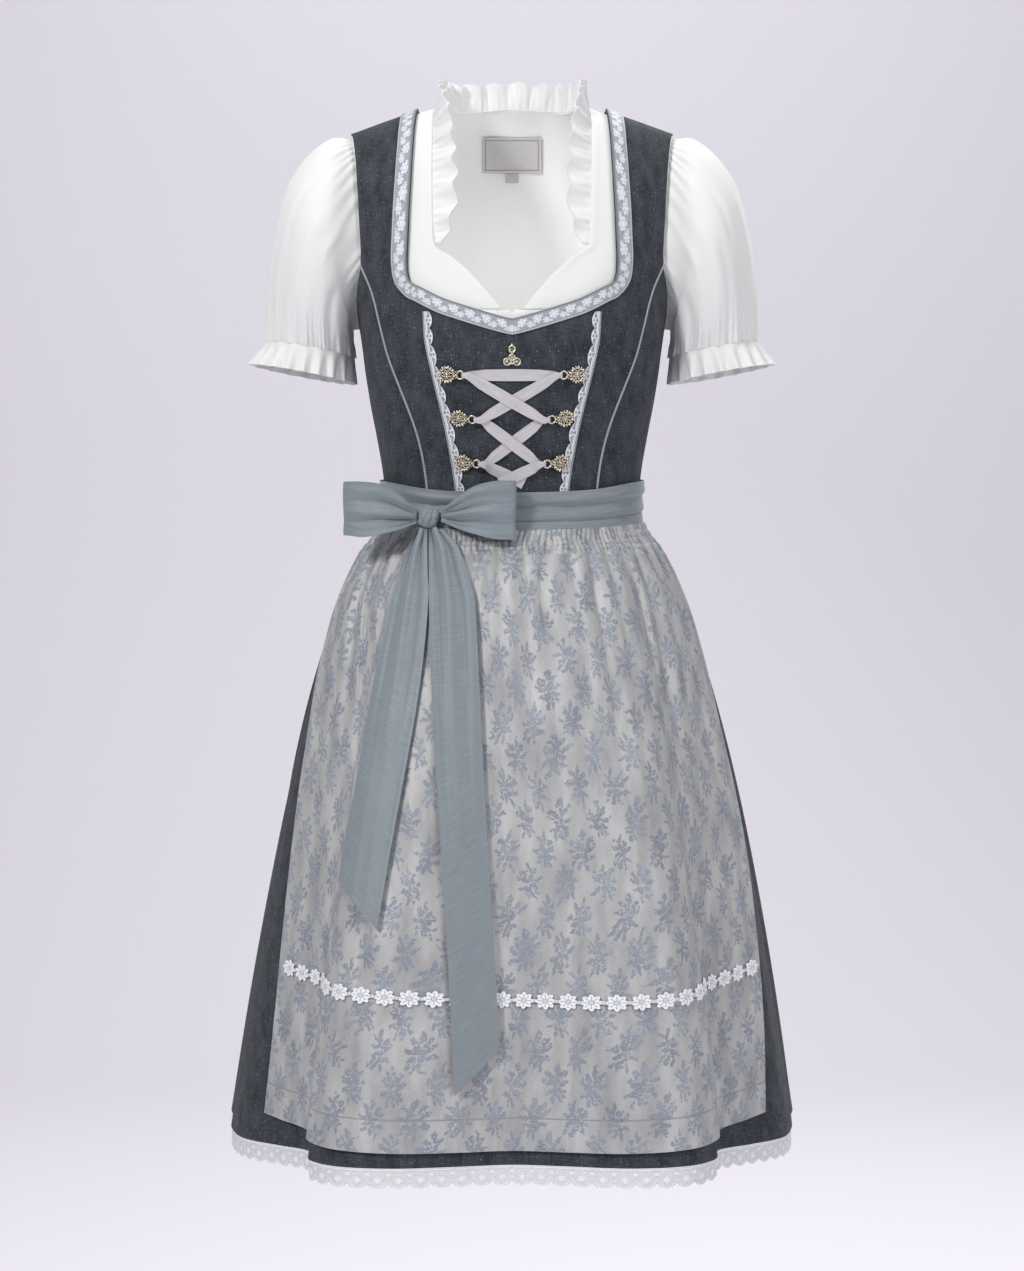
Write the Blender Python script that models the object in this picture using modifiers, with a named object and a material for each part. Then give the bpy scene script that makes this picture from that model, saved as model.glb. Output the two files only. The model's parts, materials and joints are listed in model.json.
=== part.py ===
"""Dirndl: dress with a laced bodice, puff-sleeved blouse and tied apron, worn out by an unseen figure.

The origin lies midway between the tops of the shoulder straps. X runs to the viewer's right, the front
faces -Y and Z is up. Every cloth piece is a flat cut laid on one figure form and given a wall. The tables
are in millimetres and degrees: "across" is the distance from the centre plane, "level" is a row of the
figure table counted down from the shoulder, and "angle" runs round the figure from the centre front (0)
over the viewer's right side (90) to the centre back (180).
"""
import math
from collections import namedtuple

import bmesh
import bpy
from mathutils import Matrix, Vector

MM = 0.001
SEAM_HALF_GAP = 0.15
CLEARANCE = 0.35

# Cloth walls in millimetres
DRESS_WALL = 2.0
BLOUSE_WALL = 1.2
APRON_WALL = 1.4
SASH_WALL = 1.3
TRIM_WALL = 1.0
LACE_WALL = 1.0
BLOUSE_OUT = -3.0

for old_object in list(bpy.data.objects):
    bpy.data.objects.remove(old_object, do_unlink=True)

PARTS = bpy.data.collections.new("dirndl")
bpy.context.scene.collection.children.link(PARTS)


# Materials
def cloth_material(name, colour, roughness, metallic=0.0):
    """A Principled BSDF material of one colour."""
    material = bpy.data.materials.new(name)
    material.use_nodes = True
    shader = material.node_tree.nodes["Principled BSDF"]
    shader.inputs["Base Color"].default_value = (*colour, 1.0)
    shader.inputs["Roughness"].default_value = roughness
    shader.inputs["Metallic"].default_value = metallic
    material.diffuse_color = (*colour, 1.0)
    return material


CHARCOAL_LINEN = cloth_material("charcoal_linen", (0.075, 0.085, 0.098), 0.9)
WHITE_COTTON = cloth_material("white_cotton", (0.84, 0.84, 0.84), 0.85)
SILVER_JACQUARD = cloth_material("silver_jacquard", (0.36, 0.38, 0.42), 0.45)
BLUE_GREY_TAFFETA = cloth_material("blue_grey_taffeta", (0.26, 0.30, 0.33), 0.5)
GREY_PIPING = cloth_material("grey_piping", (0.42, 0.44, 0.47), 0.6)
RIBBON_TRIM = cloth_material("ribbon_trim", (0.45, 0.46, 0.49), 0.6)
WHITE_LACE = cloth_material("white_lace", (0.70, 0.70, 0.73), 0.85)
SATIN_LACING = cloth_material("satin_lacing", (0.48, 0.47, 0.49), 0.35)
LABEL_CLOTH = cloth_material("label_cloth", (0.56, 0.55, 0.56), 0.8)
ANTIQUE_SILVER = cloth_material("antique_silver", (0.20, 0.19, 0.17), 0.4, 1.0)


# The figure form
FigureLevel = namedtuple("FigureLevel", "height half_width front back")
SkirtLevel = namedtuple("SkirtLevel", "height half_width front back fold_share")
FoldPoint = namedtuple("FoldPoint", "angle push")
SeamPoint = namedtuple("SeamPoint", "across level")

# From the shoulder ridge (level 0) to the waist seam (level 12)
FIGURE = (
    FigureLevel(0, 188, 0, 0),
    FigureLevel(-3, 188, 20, 26),
    FigureLevel(-12, 187, 40, 46),
    FigureLevel(-32, 185, 62, 62),
    FigureLevel(-65, 182, 83, 73),
    FigureLevel(-110, 176, 102, 81),
    FigureLevel(-165, 167, 120, 88),
    FigureLevel(-222, 157, 133, 93),
    FigureLevel(-262, 151.5, 133, 92),
    FigureLevel(-298, 146, 126, 89),
    FigureLevel(-334, 139, 115, 85),
    FigureLevel(-370, 133, 105, 81),
    FigureLevel(-405, 129.5, 100, 79),
)
FIGURE_ROUNDNESS = 2.4
SHOULDER_RISE = 44
SHOULDER_SLOPE = 0.36
SHOULDER_REACH = 222
WAIST_LEVEL = 12
WAIST_HEIGHT = FIGURE[WAIST_LEVEL].height

# From the waist seam to the hem
SKIRT = (
    SkirtLevel(WAIST_HEIGHT - 0.7, 129.5, 100, 79, 0.0),
    SkirtLevel(-423, 131.5, 101.5, 82, 0.0),
    SkirtLevel(-440, 141.5, 110, 92, 0.02),
    SkirtLevel(-461, 156, 123, 107, 0.05),
    SkirtLevel(-500, 174.5, 139, 127, 0.12),
    SkirtLevel(-550, 192.5, 154, 147, 0.22),
    SkirtLevel(-620, 212.5, 172, 169, 0.36),
    SkirtLevel(-710, 233.5, 191, 191, 0.52),
    SkirtLevel(-820, 255, 212, 213, 0.70),
    SkirtLevel(-930, 274, 231, 233, 0.86),
    SkirtLevel(-1044, 291.5, 248, 252, 1.0),
)
HEM_ROW = len(SKIRT) - 1
HEM_HEIGHT = SKIRT[HEM_ROW].height
WAIST_ROUNDNESS = 2.4
HEM_ROUNDNESS = 2.05

# How far the folds push the hem out, round the figure
SKIRT_FOLDS = (
    FoldPoint(-193, -9),
    FoldPoint(-180, 11),
    FoldPoint(-167, -8),
    FoldPoint(-154, 12),
    FoldPoint(-141, -10),
    FoldPoint(-128, 13),
    FoldPoint(-115, -9),
    FoldPoint(-102, 9),
    FoldPoint(-90, -2),
    FoldPoint(-76, 2),
    FoldPoint(-64, 5),
    FoldPoint(-53, -6),
    FoldPoint(-44, -8),
    FoldPoint(-38, 24),
    FoldPoint(-31, 36),
    FoldPoint(-21, 26),
    FoldPoint(-11, 5),
    FoldPoint(0, -10),
    FoldPoint(11, 3),
    FoldPoint(22, 27),
    FoldPoint(32, 35),
    FoldPoint(39, 20),
    FoldPoint(45, -9),
    FoldPoint(54, -5),
    FoldPoint(65, 6),
    FoldPoint(77, 1),
    FoldPoint(90, -2),
    FoldPoint(103, 10),
    FoldPoint(116, -9),
    FoldPoint(129, 12),
    FoldPoint(142, -11),
    FoldPoint(155, 12),
    FoldPoint(167, -9),
    FoldPoint(180, 11),
    FoldPoint(193, -8),
)


def cubic(before, start, end, after, share):
    """A smooth value between start and end, led by its two neighbours."""
    return 0.5 * (
        2 * start
        + (end - before) * share
        + (2 * before - 5 * start + 4 * end - after) * share**2
        + (3 * start - before - 3 * end + after) * share**3
    )


def read_smooth(values, place):
    """The smooth value of an evenly indexed list at a fractional place."""
    index = min(max(int(math.floor(place)), 0), len(values) - 2)
    start, end = values[index], values[index + 1]
    before = values[index - 1] if index > 0 else 2 * start - end
    after = values[index + 2] if index + 2 < len(values) else 2 * end - start
    return cubic(before, start, end, after, place - index)


def read_by_key(keys, values, key):
    """The smooth value at a key of a rising list of keys."""
    key = min(max(key, keys[0]), keys[-1])
    index = 0
    while index < len(keys) - 2 and key > keys[index + 1]:
        index += 1
    share = (key - keys[index]) / (keys[index + 1] - keys[index])
    return read_smooth(values, index + share)


def signed_power(value, power):
    return math.copysign(abs(value) ** power, value)


def figure_row(level):
    """Height, half width, front and back depth at a level; above the ridge it runs down the other side."""
    shoulder = abs(level)
    height = read_smooth([row.height for row in FIGURE], shoulder)
    if shoulder < 1:
        height = FIGURE[1].height * shoulder**2
    half_width = read_smooth([row.half_width for row in FIGURE], shoulder)
    front = read_smooth([row.front for row in FIGURE], shoulder)
    back = read_smooth([row.back for row in FIGURE], shoulder)
    if level < 0:
        front, back = -back, -front
    return height, half_width, front, back


def shoulder_lift(across, height):
    """The rise of the shoulder line towards the neck, faded out down to the bust."""
    share = min(max(1 + height / SHOULDER_REACH, 0), 1)
    return (SHOULDER_RISE - SHOULDER_SLOPE * abs(across)) * share * share * (3 - 2 * share)


def figure_surface(angle, level):
    height, half_width, front, back = figure_row(level)
    turn = math.radians(angle)
    power = 2 / FIGURE_ROUNDNESS
    across = half_width * signed_power(math.sin(turn), power)
    depth = front if math.cos(turn) > 0 else back
    forward = -depth * signed_power(math.cos(turn), power)
    return Vector((across, forward, height + shoulder_lift(across, height)))


def skirt_fold(angle):
    angle = (angle + 180) % 360 - 180
    return read_by_key([fold.angle for fold in SKIRT_FOLDS], [fold.push for fold in SKIRT_FOLDS], angle)


def skirt_surface(angle, row):
    """A point of the skirt's inner face at a fractional row of the skirt table."""
    height = read_smooth([level.height for level in SKIRT], row)
    half_width = read_smooth([level.half_width for level in SKIRT], row)
    front = read_smooth([level.front for level in SKIRT], row)
    back = read_smooth([level.back for level in SKIRT], row)
    fold_share = read_smooth([level.fold_share for level in SKIRT], row)
    roundness = WAIST_ROUNDNESS + (HEM_ROUNDNESS - WAIST_ROUNDNESS) * min(row / 4, 1)
    turn = math.radians(angle)
    power = 2 / roundness
    across = half_width * signed_power(math.sin(turn), power)
    depth = front if math.cos(turn) > 0 else back
    place = Vector((across, -depth * signed_power(math.cos(turn), power), height))
    outward = Vector((place.x / half_width**2, place.y / depth**2, 0)).normalized()
    return place + outward * skirt_fold(angle) * fold_share


def skirt_row_at(height):
    """The fractional row of the skirt table at a height."""
    heights = [-level.height for level in SKIRT]
    return read_by_key(heights, list(range(len(SKIRT))), -height)


def moved_out(surface, angle, place, out):
    """A point of a surface moved out along its normal."""
    step = 0.02
    along = surface(angle + step, place) - surface(angle - step, place)
    down = surface(angle, place + step) - surface(angle, place - step)
    normal = down.cross(along).normalized()
    return surface(angle, place) + normal * out


def moved_level(surface, angle, place, out):
    """A point moved straight out at its own height until it stands off the surface by a distance."""
    start = surface(angle, place)
    normal = moved_out(surface, angle, place, 1) - start
    level_part = Vector((normal.x, normal.y, 0))
    return start + level_part * (out / level_part.length_squared)


def on_figure(angle, level, out=0.0):
    return moved_out(figure_surface, angle, level, out)


def on_skirt(angle, height, out=0.0):
    return moved_level(skirt_surface, angle, skirt_row_at(height), out)


def angle_of(across, level, back=False):
    """The angle at which the figure is as wide as asked; wider than the figure means its side seam."""
    half_width = figure_row(level)[1]
    share = min(across / half_width, 1)
    angle = math.degrees(math.asin(share ** (FIGURE_ROUNDNESS / 2)))
    return 180 - angle if back else angle


def seam(points, back=False):
    """A seam as (angle, level) pairs."""
    return [(angle_of(point.across, point.level, back), point.level) for point in points]


def mirrored(curve):
    return [(-angle, level) for angle, level in curve]


# Building cloth
def finish_object(name, mesh, material):
    mesh.materials.append(material)
    made = bpy.data.objects.new(name, mesh)
    PARTS.objects.link(made)
    return made


def drape(name, columns, rows, place, wall, material, tube=False, edges="lrbt", centred=False):
    """A flat cut of columns by rows, each point laid by place(u, w), with a wall added outwards.

    u runs to the right as seen from outside and w runs up. The edges named in edges are drawn in by half
    a seam gap, so that two pieces sewn together stay apart.
    """
    shape = bmesh.new()
    bmesh.ops.create_grid(shape, x_segments=columns, y_segments=rows, size=0.5)
    nudge = 0.02
    for vertex in shape.verts:
        u = vertex.co.x + 0.5
        w = vertex.co.y + 0.5
        point = place(u, w)
        inward = Vector((0, 0, 0))
        if "l" in edges and u < 1e-4 and not tube:
            inward += (place(u + nudge, w) - point).normalized()
        if "r" in edges and u > 1 - 1e-4 and not tube:
            inward += (place(u - nudge, w) - point).normalized()
        if "b" in edges and w < 1e-4:
            inward += (place(u, w + nudge) - point).normalized()
        if "t" in edges and w > 1 - 1e-4:
            inward += (place(u, w - nudge) - point).normalized()
        vertex.co = (point + inward * SEAM_HALF_GAP) * MM
    if tube:
        bmesh.ops.remove_doubles(shape, verts=shape.verts, dist=1e-6)
    mesh = bpy.data.meshes.new(name)
    shape.to_mesh(mesh)
    shape.free()
    made = finish_object(name, mesh, material)
    shell = made.modifiers.new("wall", "SOLIDIFY")
    shell.thickness = wall * MM
    shell.offset = 0 if centred else 1
    shell.use_rim = True
    return made


def at_share(curve, share):
    """A point of an (angle, level) curve; whole steps of the curve fall on its own points."""
    place = share * (len(curve) - 1)
    return (
        read_smooth([point[0] for point in curve], place),
        read_smooth([point[1] for point in curve], place),
    )


def panel(name, left, right, columns, out, wall, material, rows=None):
    """A piece of cloth between two seams of as many points, both from the bottom up."""

    def place(u, w):
        left_angle, left_level = at_share(left, w)
        right_angle, right_level = at_share(right, w)
        angle = left_angle + (right_angle - left_angle) * u
        level = left_level + (right_level - left_level) * u
        return on_figure(angle, level, out)

    return drape(name, columns, rows or len(left) - 1, place, wall, material)


def panel_pair(name, inner, outer, columns, out, wall, material, rows=None):
    """The same panel on both sides, its inner seam towards the centre."""
    panel(name + "_right", inner, outer, columns, out, wall, material, rows)
    panel(name + "_left", mirrored(outer), mirrored(inner), columns, out, wall, material, rows)


# Bodice seams, from the waist up
LACE_SEAM = seam(
    (
        SeamPoint(55, 12),
        SeamPoint(57, 11.4),
        SeamPoint(62.5, 10.4),
        SeamPoint(70, 9.38),
        SeamPoint(78, 8.46),
        SeamPoint(86, 7.46),
        SeamPoint(88, 6.84),
        SeamPoint(90, 6.43),
    )
)
NECK_FRONT = seam(
    (
        SeamPoint(98, 6.36),
        SeamPoint(103.5, 6.2),
        SeamPoint(105.5, 5.9),
        SeamPoint(104.5, 5.3),
        SeamPoint(102.8, 4.4),
        SeamPoint(101.4, 3.6),
        SeamPoint(100.2, 2.8),
        SeamPoint(99.2, 2.1),
        SeamPoint(98.4, 1.4),
        SeamPoint(97.6, 0.7),
        SeamPoint(97, 0),
    )
)
PRINCESS_SEAM = seam(
    (
        SeamPoint(84, 12),
        SeamPoint(87, 11.1),
        SeamPoint(93, 10.2),
        SeamPoint(102, 9.4),
        SeamPoint(113, 8.6),
        SeamPoint(124, 7.8),
        SeamPoint(132, 7.05),
        SeamPoint(141, 6.4),
        SeamPoint(153, 5.86),
    )
)
ARMHOLE_FRONT = seam(
    (
        SeamPoint(153.5, 5.6),
        SeamPoint(155, 5.1),
        SeamPoint(157, 4.4),
        SeamPoint(159, 3.7),
        SeamPoint(161, 3.0),
        SeamPoint(162.7, 2.4),
        SeamPoint(164.3, 1.8),
        SeamPoint(165.7, 1.2),
        SeamPoint(166.9, 0.6),
        SeamPoint(168, 0),
    )
)
SIDE_LEVELS = (12, 11.2, 10.4, 9.6, 8.9, 8.3, 7.8, 7.4, 7.05)
SIDE_SEAM = [(90, level) for level in SIDE_LEVELS]
CENTRE_LEVELS = (12, 11.4, 10.4, 9.4, 8.6, 7.85, 7.4, 6.96)
CENTRE_FRONT = [(0, level) for level in CENTRE_LEVELS]
BACK_PRINCESS = seam(
    (
        SeamPoint(66, 12),
        SeamPoint(70, 11.2),
        SeamPoint(77, 10.4),
        SeamPoint(87, 9.6),
        SeamPoint(99, 8.8),
        SeamPoint(112, 8.0),
        SeamPoint(125, 7.2),
        SeamPoint(137, 6.5),
        SeamPoint(146, 5.9),
    ),
    back=True,
)
ARMHOLE_BACK = seam(
    (
        SeamPoint(147.5, 5.2),
        SeamPoint(150, 4.4),
        SeamPoint(154, 3.5),
        SeamPoint(158.5, 2.6),
        SeamPoint(162, 1.7),
        SeamPoint(165, 0.9),
        SeamPoint(168, 0),
    ),
    back=True,
)
BACK_LEVELS = (12, 11, 10, 8.9, 7.8, 6.7, 5.7, 4.8)
CENTRE_BACK = [(180, level) for level in BACK_LEVELS]
NECK_BACK = seam(
    (
        SeamPoint(30, 4.72),
        SeamPoint(55, 4.5),
        SeamPoint(73, 4.05),
        SeamPoint(85, 3.3),
        SeamPoint(91.5, 2.4),
        SeamPoint(95, 1.5),
        SeamPoint(96.5, 0.75),
        SeamPoint(97, 0),
    ),
    back=True,
)


def turned_back(curve):
    """The same curve on the far side of the centre back."""
    return [(360 - angle, level) for angle, level in curve]


# Dress bodice
panel_pair("bodice_centre_front", CENTRE_FRONT, LACE_SEAM, 4, 0, DRESS_WALL, CHARCOAL_LINEN)
panel_pair(
    "bodice_strap_front",
    LACE_SEAM + NECK_FRONT,
    PRINCESS_SEAM + ARMHOLE_FRONT,
    4,
    0,
    DRESS_WALL,
    CHARCOAL_LINEN,
)
panel_pair("bodice_side_front", PRINCESS_SEAM, SIDE_SEAM, 4, 0, DRESS_WALL, CHARCOAL_LINEN)
panel_pair("bodice_side_back", SIDE_SEAM, BACK_PRINCESS, 4, 0, DRESS_WALL, CHARCOAL_LINEN)
panel_pair(
    "bodice_back",
    BACK_PRINCESS + ARMHOLE_BACK,
    CENTRE_BACK + NECK_BACK,
    4,
    0,
    DRESS_WALL,
    CHARCOAL_LINEN,
)


# Trims of the bodice
def beside(curve, aside):
    """The curve moved sideways by a distance, to the right as seen from outside where it is positive."""
    moved = []
    for angle, level in curve:
        per_degree = (figure_surface(angle + 0.5, level) - figure_surface(angle - 0.5, level)).length
        moved.append((angle + aside / per_degree, level))
    return moved


PIPING_WIDTH = 2.2
PIPING_WALL = 1.2
TRIM_OUT = DRESS_WALL + 0.5


def piping(name, curve):
    left = beside(curve, -PIPING_WIDTH / 2)
    right = beside(curve, PIPING_WIDTH / 2)
    panel(name, left, right, 1, TRIM_OUT, PIPING_WALL, GREY_PIPING, rows=len(curve) - 1)


# Piping and lace stop just under the neckline ribbon
BELOW_RIBBON = 0.12
PIPED_LACE_SEAM = LACE_SEAM[:-2] + [(LACE_SEAM[-2][0], LACE_SEAM[-2][1] + BELOW_RIBBON)]
piping("piping_lace_seam_right", PIPED_LACE_SEAM)
piping("piping_lace_seam_left", mirrored(PIPED_LACE_SEAM))
piping("piping_front_right", PRINCESS_SEAM)
piping("piping_front_left", mirrored(PRINCESS_SEAM))
piping("piping_back_right", BACK_PRINCESS)
piping("piping_back_left", turned_back(BACK_PRINCESS))

LACE_EDGING_SCALLOPS = 11
LACE_EDGING_WIDTH = 8.5
LACE_EDGING_NOTCH = 3.5
LACE_EDGING_OUT = DRESS_WALL + 1.1


def lace_edging(name, sign):
    """Scalloped lace sewn into the lace seam, its points towards the centre."""
    steps = LACE_EDGING_SCALLOPS * 2

    def place(u, w):
        angle, level = at_share(PIPED_LACE_SEAM, w)
        per_degree = (figure_surface(angle + 0.5, level) - figure_surface(angle - 0.5, level)).length
        scallop = abs(math.sin(math.pi * LACE_EDGING_SCALLOPS * w))
        width = LACE_EDGING_WIDTH - LACE_EDGING_NOTCH * (1 - scallop)
        across_share = 1 - u if sign > 0 else u
        aside = PIPING_WIDTH / 2 + CLEARANCE + (width - PIPING_WIDTH / 2) * across_share
        return on_figure(sign * (angle - aside / per_degree), level, LACE_EDGING_OUT)

    drape(name, 1, steps, place, LACE_WALL, WHITE_LACE, edges="")


lace_edging("lace_edging_right", 1)
lace_edging("lace_edging_left", -1)

# Ribbon round the neckline
NECK_RIBBON_WIDTH = 18
NECK_RIBBON_OUT = DRESS_WALL + 1.0
NECK_TOP_OF_CENTRE = (
    SeamPoint(0, 6.96),
    SeamPoint(22, 6.85),
    SeamPoint(45, 6.72),
    SeamPoint(68, 6.58),
)


def away_from(curve, distance):
    """The curve moved to its right, on the figure, by a distance."""
    moved = []
    for index, (angle, level) in enumerate(curve):
        before = curve[max(index - 1, 0)]
        after = curve[min(index + 1, len(curve) - 1)]
        run = (figure_surface(*after) - figure_surface(*before)).normalized()
        per_degree = figure_surface(angle + 0.5, level) - figure_surface(angle - 0.5, level)
        per_level = (figure_surface(angle, level + 0.05) - figure_surface(angle, level - 0.05)) * 10
        normal = per_level.cross(per_degree).normalized()
        if index in (0, len(curve) - 1):
            run = (per_level if abs(run.z) > abs(run.x) else per_degree).normalized()
            run = -run if index and level < 1 else run
        aim = run.cross(normal) * distance
        new_angle = angle + aim.dot(per_degree) / per_degree.length_squared
        new_level = level + aim.dot(per_level) / per_level.length_squared
        moved.append((new_angle, max(new_level, 0)))
    return moved


NECK_RIBBON_FRONT = seam(NECK_TOP_OF_CENTRE) + LACE_SEAM[-1:] + NECK_FRONT
panel_pair(
    "neck_ribbon_front",
    NECK_RIBBON_FRONT,
    away_from(NECK_RIBBON_FRONT, NECK_RIBBON_WIDTH),
    1,
    NECK_RIBBON_OUT,
    TRIM_WALL,
    RIBBON_TRIM,
)
RIGHT_HALF_OF_BACK = ([(180, 4.8)] + NECK_BACK)[::-1]
NECK_RIBBON_BACK = RIGHT_HALF_OF_BACK + turned_back(RIGHT_HALF_OF_BACK)[-2::-1]
panel(
    "neck_ribbon_back",
    NECK_RIBBON_BACK,
    away_from(NECK_RIBBON_BACK, NECK_RIBBON_WIDTH),
    1,
    NECK_RIBBON_OUT,
    TRIM_WALL,
    RIBBON_TRIM,
)

# Blouse body
BLOUSE_HEM_LEVEL = 9.2
BLOUSE_CENTRE = [(0, level) for level in (BLOUSE_HEM_LEVEL, 8.4, 7.6, 6.84)]
SWEETHEART = seam(
    (
        SeamPoint(10, 6.76),
        SeamPoint(22, 6.53),
        SeamPoint(42, 6.17),
        SeamPoint(62, 5.88),
        SeamPoint(79, 5.66),
    )
)
BLOUSE_NECK = seam(
    (
        SeamPoint(81.5, 5.2),
        SeamPoint(82.3, 4.5),
        SeamPoint(82.7, 3.8),
        SeamPoint(82.8, 3.1),
        SeamPoint(82.6, 2.4),
        SeamPoint(82, 1.7),
        SeamPoint(81, 1.1),
        SeamPoint(79.6, 0.55),
        SeamPoint(78, 0),
    )
)
BLOUSE_NECK_BACK = seam(
    (
        SeamPoint(78, 0),
        SeamPoint(75, 0.5),
        SeamPoint(66, 1.1),
        SeamPoint(50, 1.7),
        SeamPoint(26, 2.1),
        SeamPoint(0, 2.2),
    ),
    back=True,
)

# The dress's armhole as a loop: underarm, front, shoulder, back, underarm
UNDERARM_STEPS = 4
UNDERARM_FRONT = [
    (
        SIDE_SEAM[-1][0] + (PRINCESS_SEAM[-1][0] - SIDE_SEAM[-1][0]) * step / UNDERARM_STEPS,
        SIDE_SEAM[-1][1] + (PRINCESS_SEAM[-1][1] - SIDE_SEAM[-1][1]) * step / UNDERARM_STEPS,
    )
    for step in range(UNDERARM_STEPS + 1)
]
UNDERARM_BACK = [
    (
        BACK_PRINCESS[-1][0] + (SIDE_SEAM[-1][0] - BACK_PRINCESS[-1][0]) * step / UNDERARM_STEPS,
        BACK_PRINCESS[-1][1] + (SIDE_SEAM[-1][1] - BACK_PRINCESS[-1][1]) * step / UNDERARM_STEPS,
    )
    for step in range(UNDERARM_STEPS + 1)
]
DRESS_ARMHOLE_FRONT = UNDERARM_FRONT + ARMHOLE_FRONT
DRESS_ARMHOLE_BACK = ARMHOLE_BACK[::-1] + UNDERARM_BACK
ARMHOLE_CENTRE_LEVEL = 4.3
SLEEVE_SEAM_SHIFT = 4.4


def towards_arm(curve, shift):
    """The armhole drawn in towards its middle, on the figure, by a distance."""
    moved = []
    for angle, level in curve:
        point = figure_surface(angle, level)
        middle = figure_surface(90, ARMHOLE_CENTRE_LEVEL)
        per_degree = figure_surface(angle + 0.5, level) - figure_surface(angle - 0.5, level)
        per_level = figure_surface(angle, level + 0.05) - figure_surface(angle, level - 0.05)
        aim = (middle - point).normalized() * shift
        d_angle = aim.dot(per_degree) / per_degree.length_squared
        d_level = 0.1 * aim.dot(per_level) / per_level.length_squared
        if level < 0.6:
            d_level = 0
            d_angle = math.copysign(shift / per_degree.length, 90 - angle)
        moved.append((angle + d_angle, level + d_level))
    return moved


BLOUSE_ARMHOLE_FRONT = towards_arm(DRESS_ARMHOLE_FRONT, SLEEVE_SEAM_SHIFT)
BLOUSE_ARMHOLE_BACK = towards_arm(DRESS_ARMHOLE_BACK, SLEEVE_SEAM_SHIFT)
BLOUSE_SIDE = [(90, level) for level in (BLOUSE_HEM_LEVEL, 8.5, 7.7)]
BLOUSE_FRONT_INNER = BLOUSE_CENTRE + SWEETHEART + BLOUSE_NECK
BLOUSE_FRONT_OUTER = BLOUSE_SIDE + BLOUSE_ARMHOLE_FRONT
panel_pair("blouse_front", BLOUSE_FRONT_INNER, BLOUSE_FRONT_OUTER, 4, BLOUSE_OUT, BLOUSE_WALL, WHITE_COTTON)

BLOUSE_BACK_COLUMNS = 10
BLOUSE_BACK_SIDE = BLOUSE_SIDE + BLOUSE_ARMHOLE_BACK[::-1]
BLOUSE_SHOULDER_SHARE = 0.2


def blouse_back_top(u):
    """Shoulder, neck curve and shoulder of the blouse's back, from the right side to the left."""
    half = u if u < 0.5 else 1 - u
    share = half / 0.5
    tip = BLOUSE_BACK_SIDE[-1]
    neck = BLOUSE_NECK_BACK[0]
    if share < 2 * BLOUSE_SHOULDER_SHARE:
        along = share / (2 * BLOUSE_SHOULDER_SHARE)
        angle, level = tip[0] + (neck[0] - tip[0]) * along, 0
    else:
        along = (share - 2 * BLOUSE_SHOULDER_SHARE) / (1 - 2 * BLOUSE_SHOULDER_SHARE)
        angle, level = at_share(BLOUSE_NECK_BACK, along)
    return (angle if u < 0.5 else 360 - angle), max(level, 0)


def blouse_back_place(u, w):
    """Blends the sides, hem and top of the blouse's back into one patch."""
    side_angle, side_level = at_share(BLOUSE_BACK_SIDE, w)
    tip_angle, tip_level = BLOUSE_BACK_SIDE[-1]
    foot_angle, foot_level = BLOUSE_BACK_SIDE[0]
    top_angle, top_level = blouse_back_top(u)
    across_angle = side_angle + (360 - 2 * side_angle) * u
    rise_angle = foot_angle + (360 - 2 * foot_angle) * u
    rise_angle += (top_angle - rise_angle) * w
    corner_angle = foot_angle + (360 - 2 * foot_angle) * u
    corner_angle += (tip_angle + (360 - 2 * tip_angle) * u - corner_angle) * w
    rise_level = foot_level + (top_level - foot_level) * w
    corner_level = foot_level + (tip_level - foot_level) * w
    angle = across_angle + rise_angle - corner_angle
    level = side_level + rise_level - corner_level
    return on_figure(angle, level, BLOUSE_OUT)


drape(
    "blouse_back",
    BLOUSE_BACK_COLUMNS,
    len(BLOUSE_BACK_SIDE) - 1,
    blouse_back_place,
    BLOUSE_WALL,
    WHITE_COTTON,
)

# Puff sleeves
SleeveRing = namedtuple("SleeveRing", "top_across top_height under_across under_height half_depth")
SLEEVE_RINGS = (
    SleeveRing(190, -20, 166.0, -220, 74),
    SleeveRing(216, -41, 166.0, -224, 81),
    SleeveRing(236, -75, 166.0, -228, 82),
    SleeveRing(249, -125, 165.5, -233, 78),
    SleeveRing(255.5, -178, 165.0, -238, 70),
    SleeveRing(256.5, -232, 165.0, -249, 57),
)
SLEEVE_LOOP = BLOUSE_ARMHOLE_FRONT + BLOUSE_ARMHOLE_BACK[1:]
SLEEVE_SEGMENTS = len(SLEEVE_LOOP) - 1
SLEEVE_TOP_SHARE = (len(BLOUSE_ARMHOLE_FRONT) - 1) / SLEEVE_SEGMENTS
SLEEVE_SEAM_GAP = 0.8
SLEEVE_DEPTH_CENTRE = 4
SLEEVE_GATHERS = 14
SLEEVE_GATHER_DEPTH = 1.6


def sleeve_loop_point(share):
    """A point of the sleeve's seam in the armhole, counted from the underarm over the front."""
    place = share * SLEEVE_SEGMENTS
    index = min(int(place + 1e-6), SLEEVE_SEGMENTS - 1)
    start = on_figure(*SLEEVE_LOOP[index], BLOUSE_OUT)
    end = on_figure(*SLEEVE_LOOP[index + 1], BLOUSE_OUT)
    return start.lerp(end, place - index) + Vector((SLEEVE_SEAM_GAP, 0, 0))


def sleeve_turn(share):
    """How far round the arm a share of the loop lies: 180 underneath, 90 in front, 0 on top."""
    if share < SLEEVE_TOP_SHARE:
        return math.pi * (1 - share / SLEEVE_TOP_SHARE)
    return -math.pi * (share - SLEEVE_TOP_SHARE) / (1 - SLEEVE_TOP_SHARE)


def sleeve_ring_point(ring, share):
    turn = sleeve_turn(share)
    top = Vector((ring.top_across, SLEEVE_DEPTH_CENTRE, ring.top_height))
    under = Vector((ring.under_across, SLEEVE_DEPTH_CENTRE, ring.under_height))
    forward = Vector((0, -ring.half_depth, 0))
    return (top + under) / 2 + (top - under) / 2 * math.cos(turn) + forward * math.sin(turn)


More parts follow.
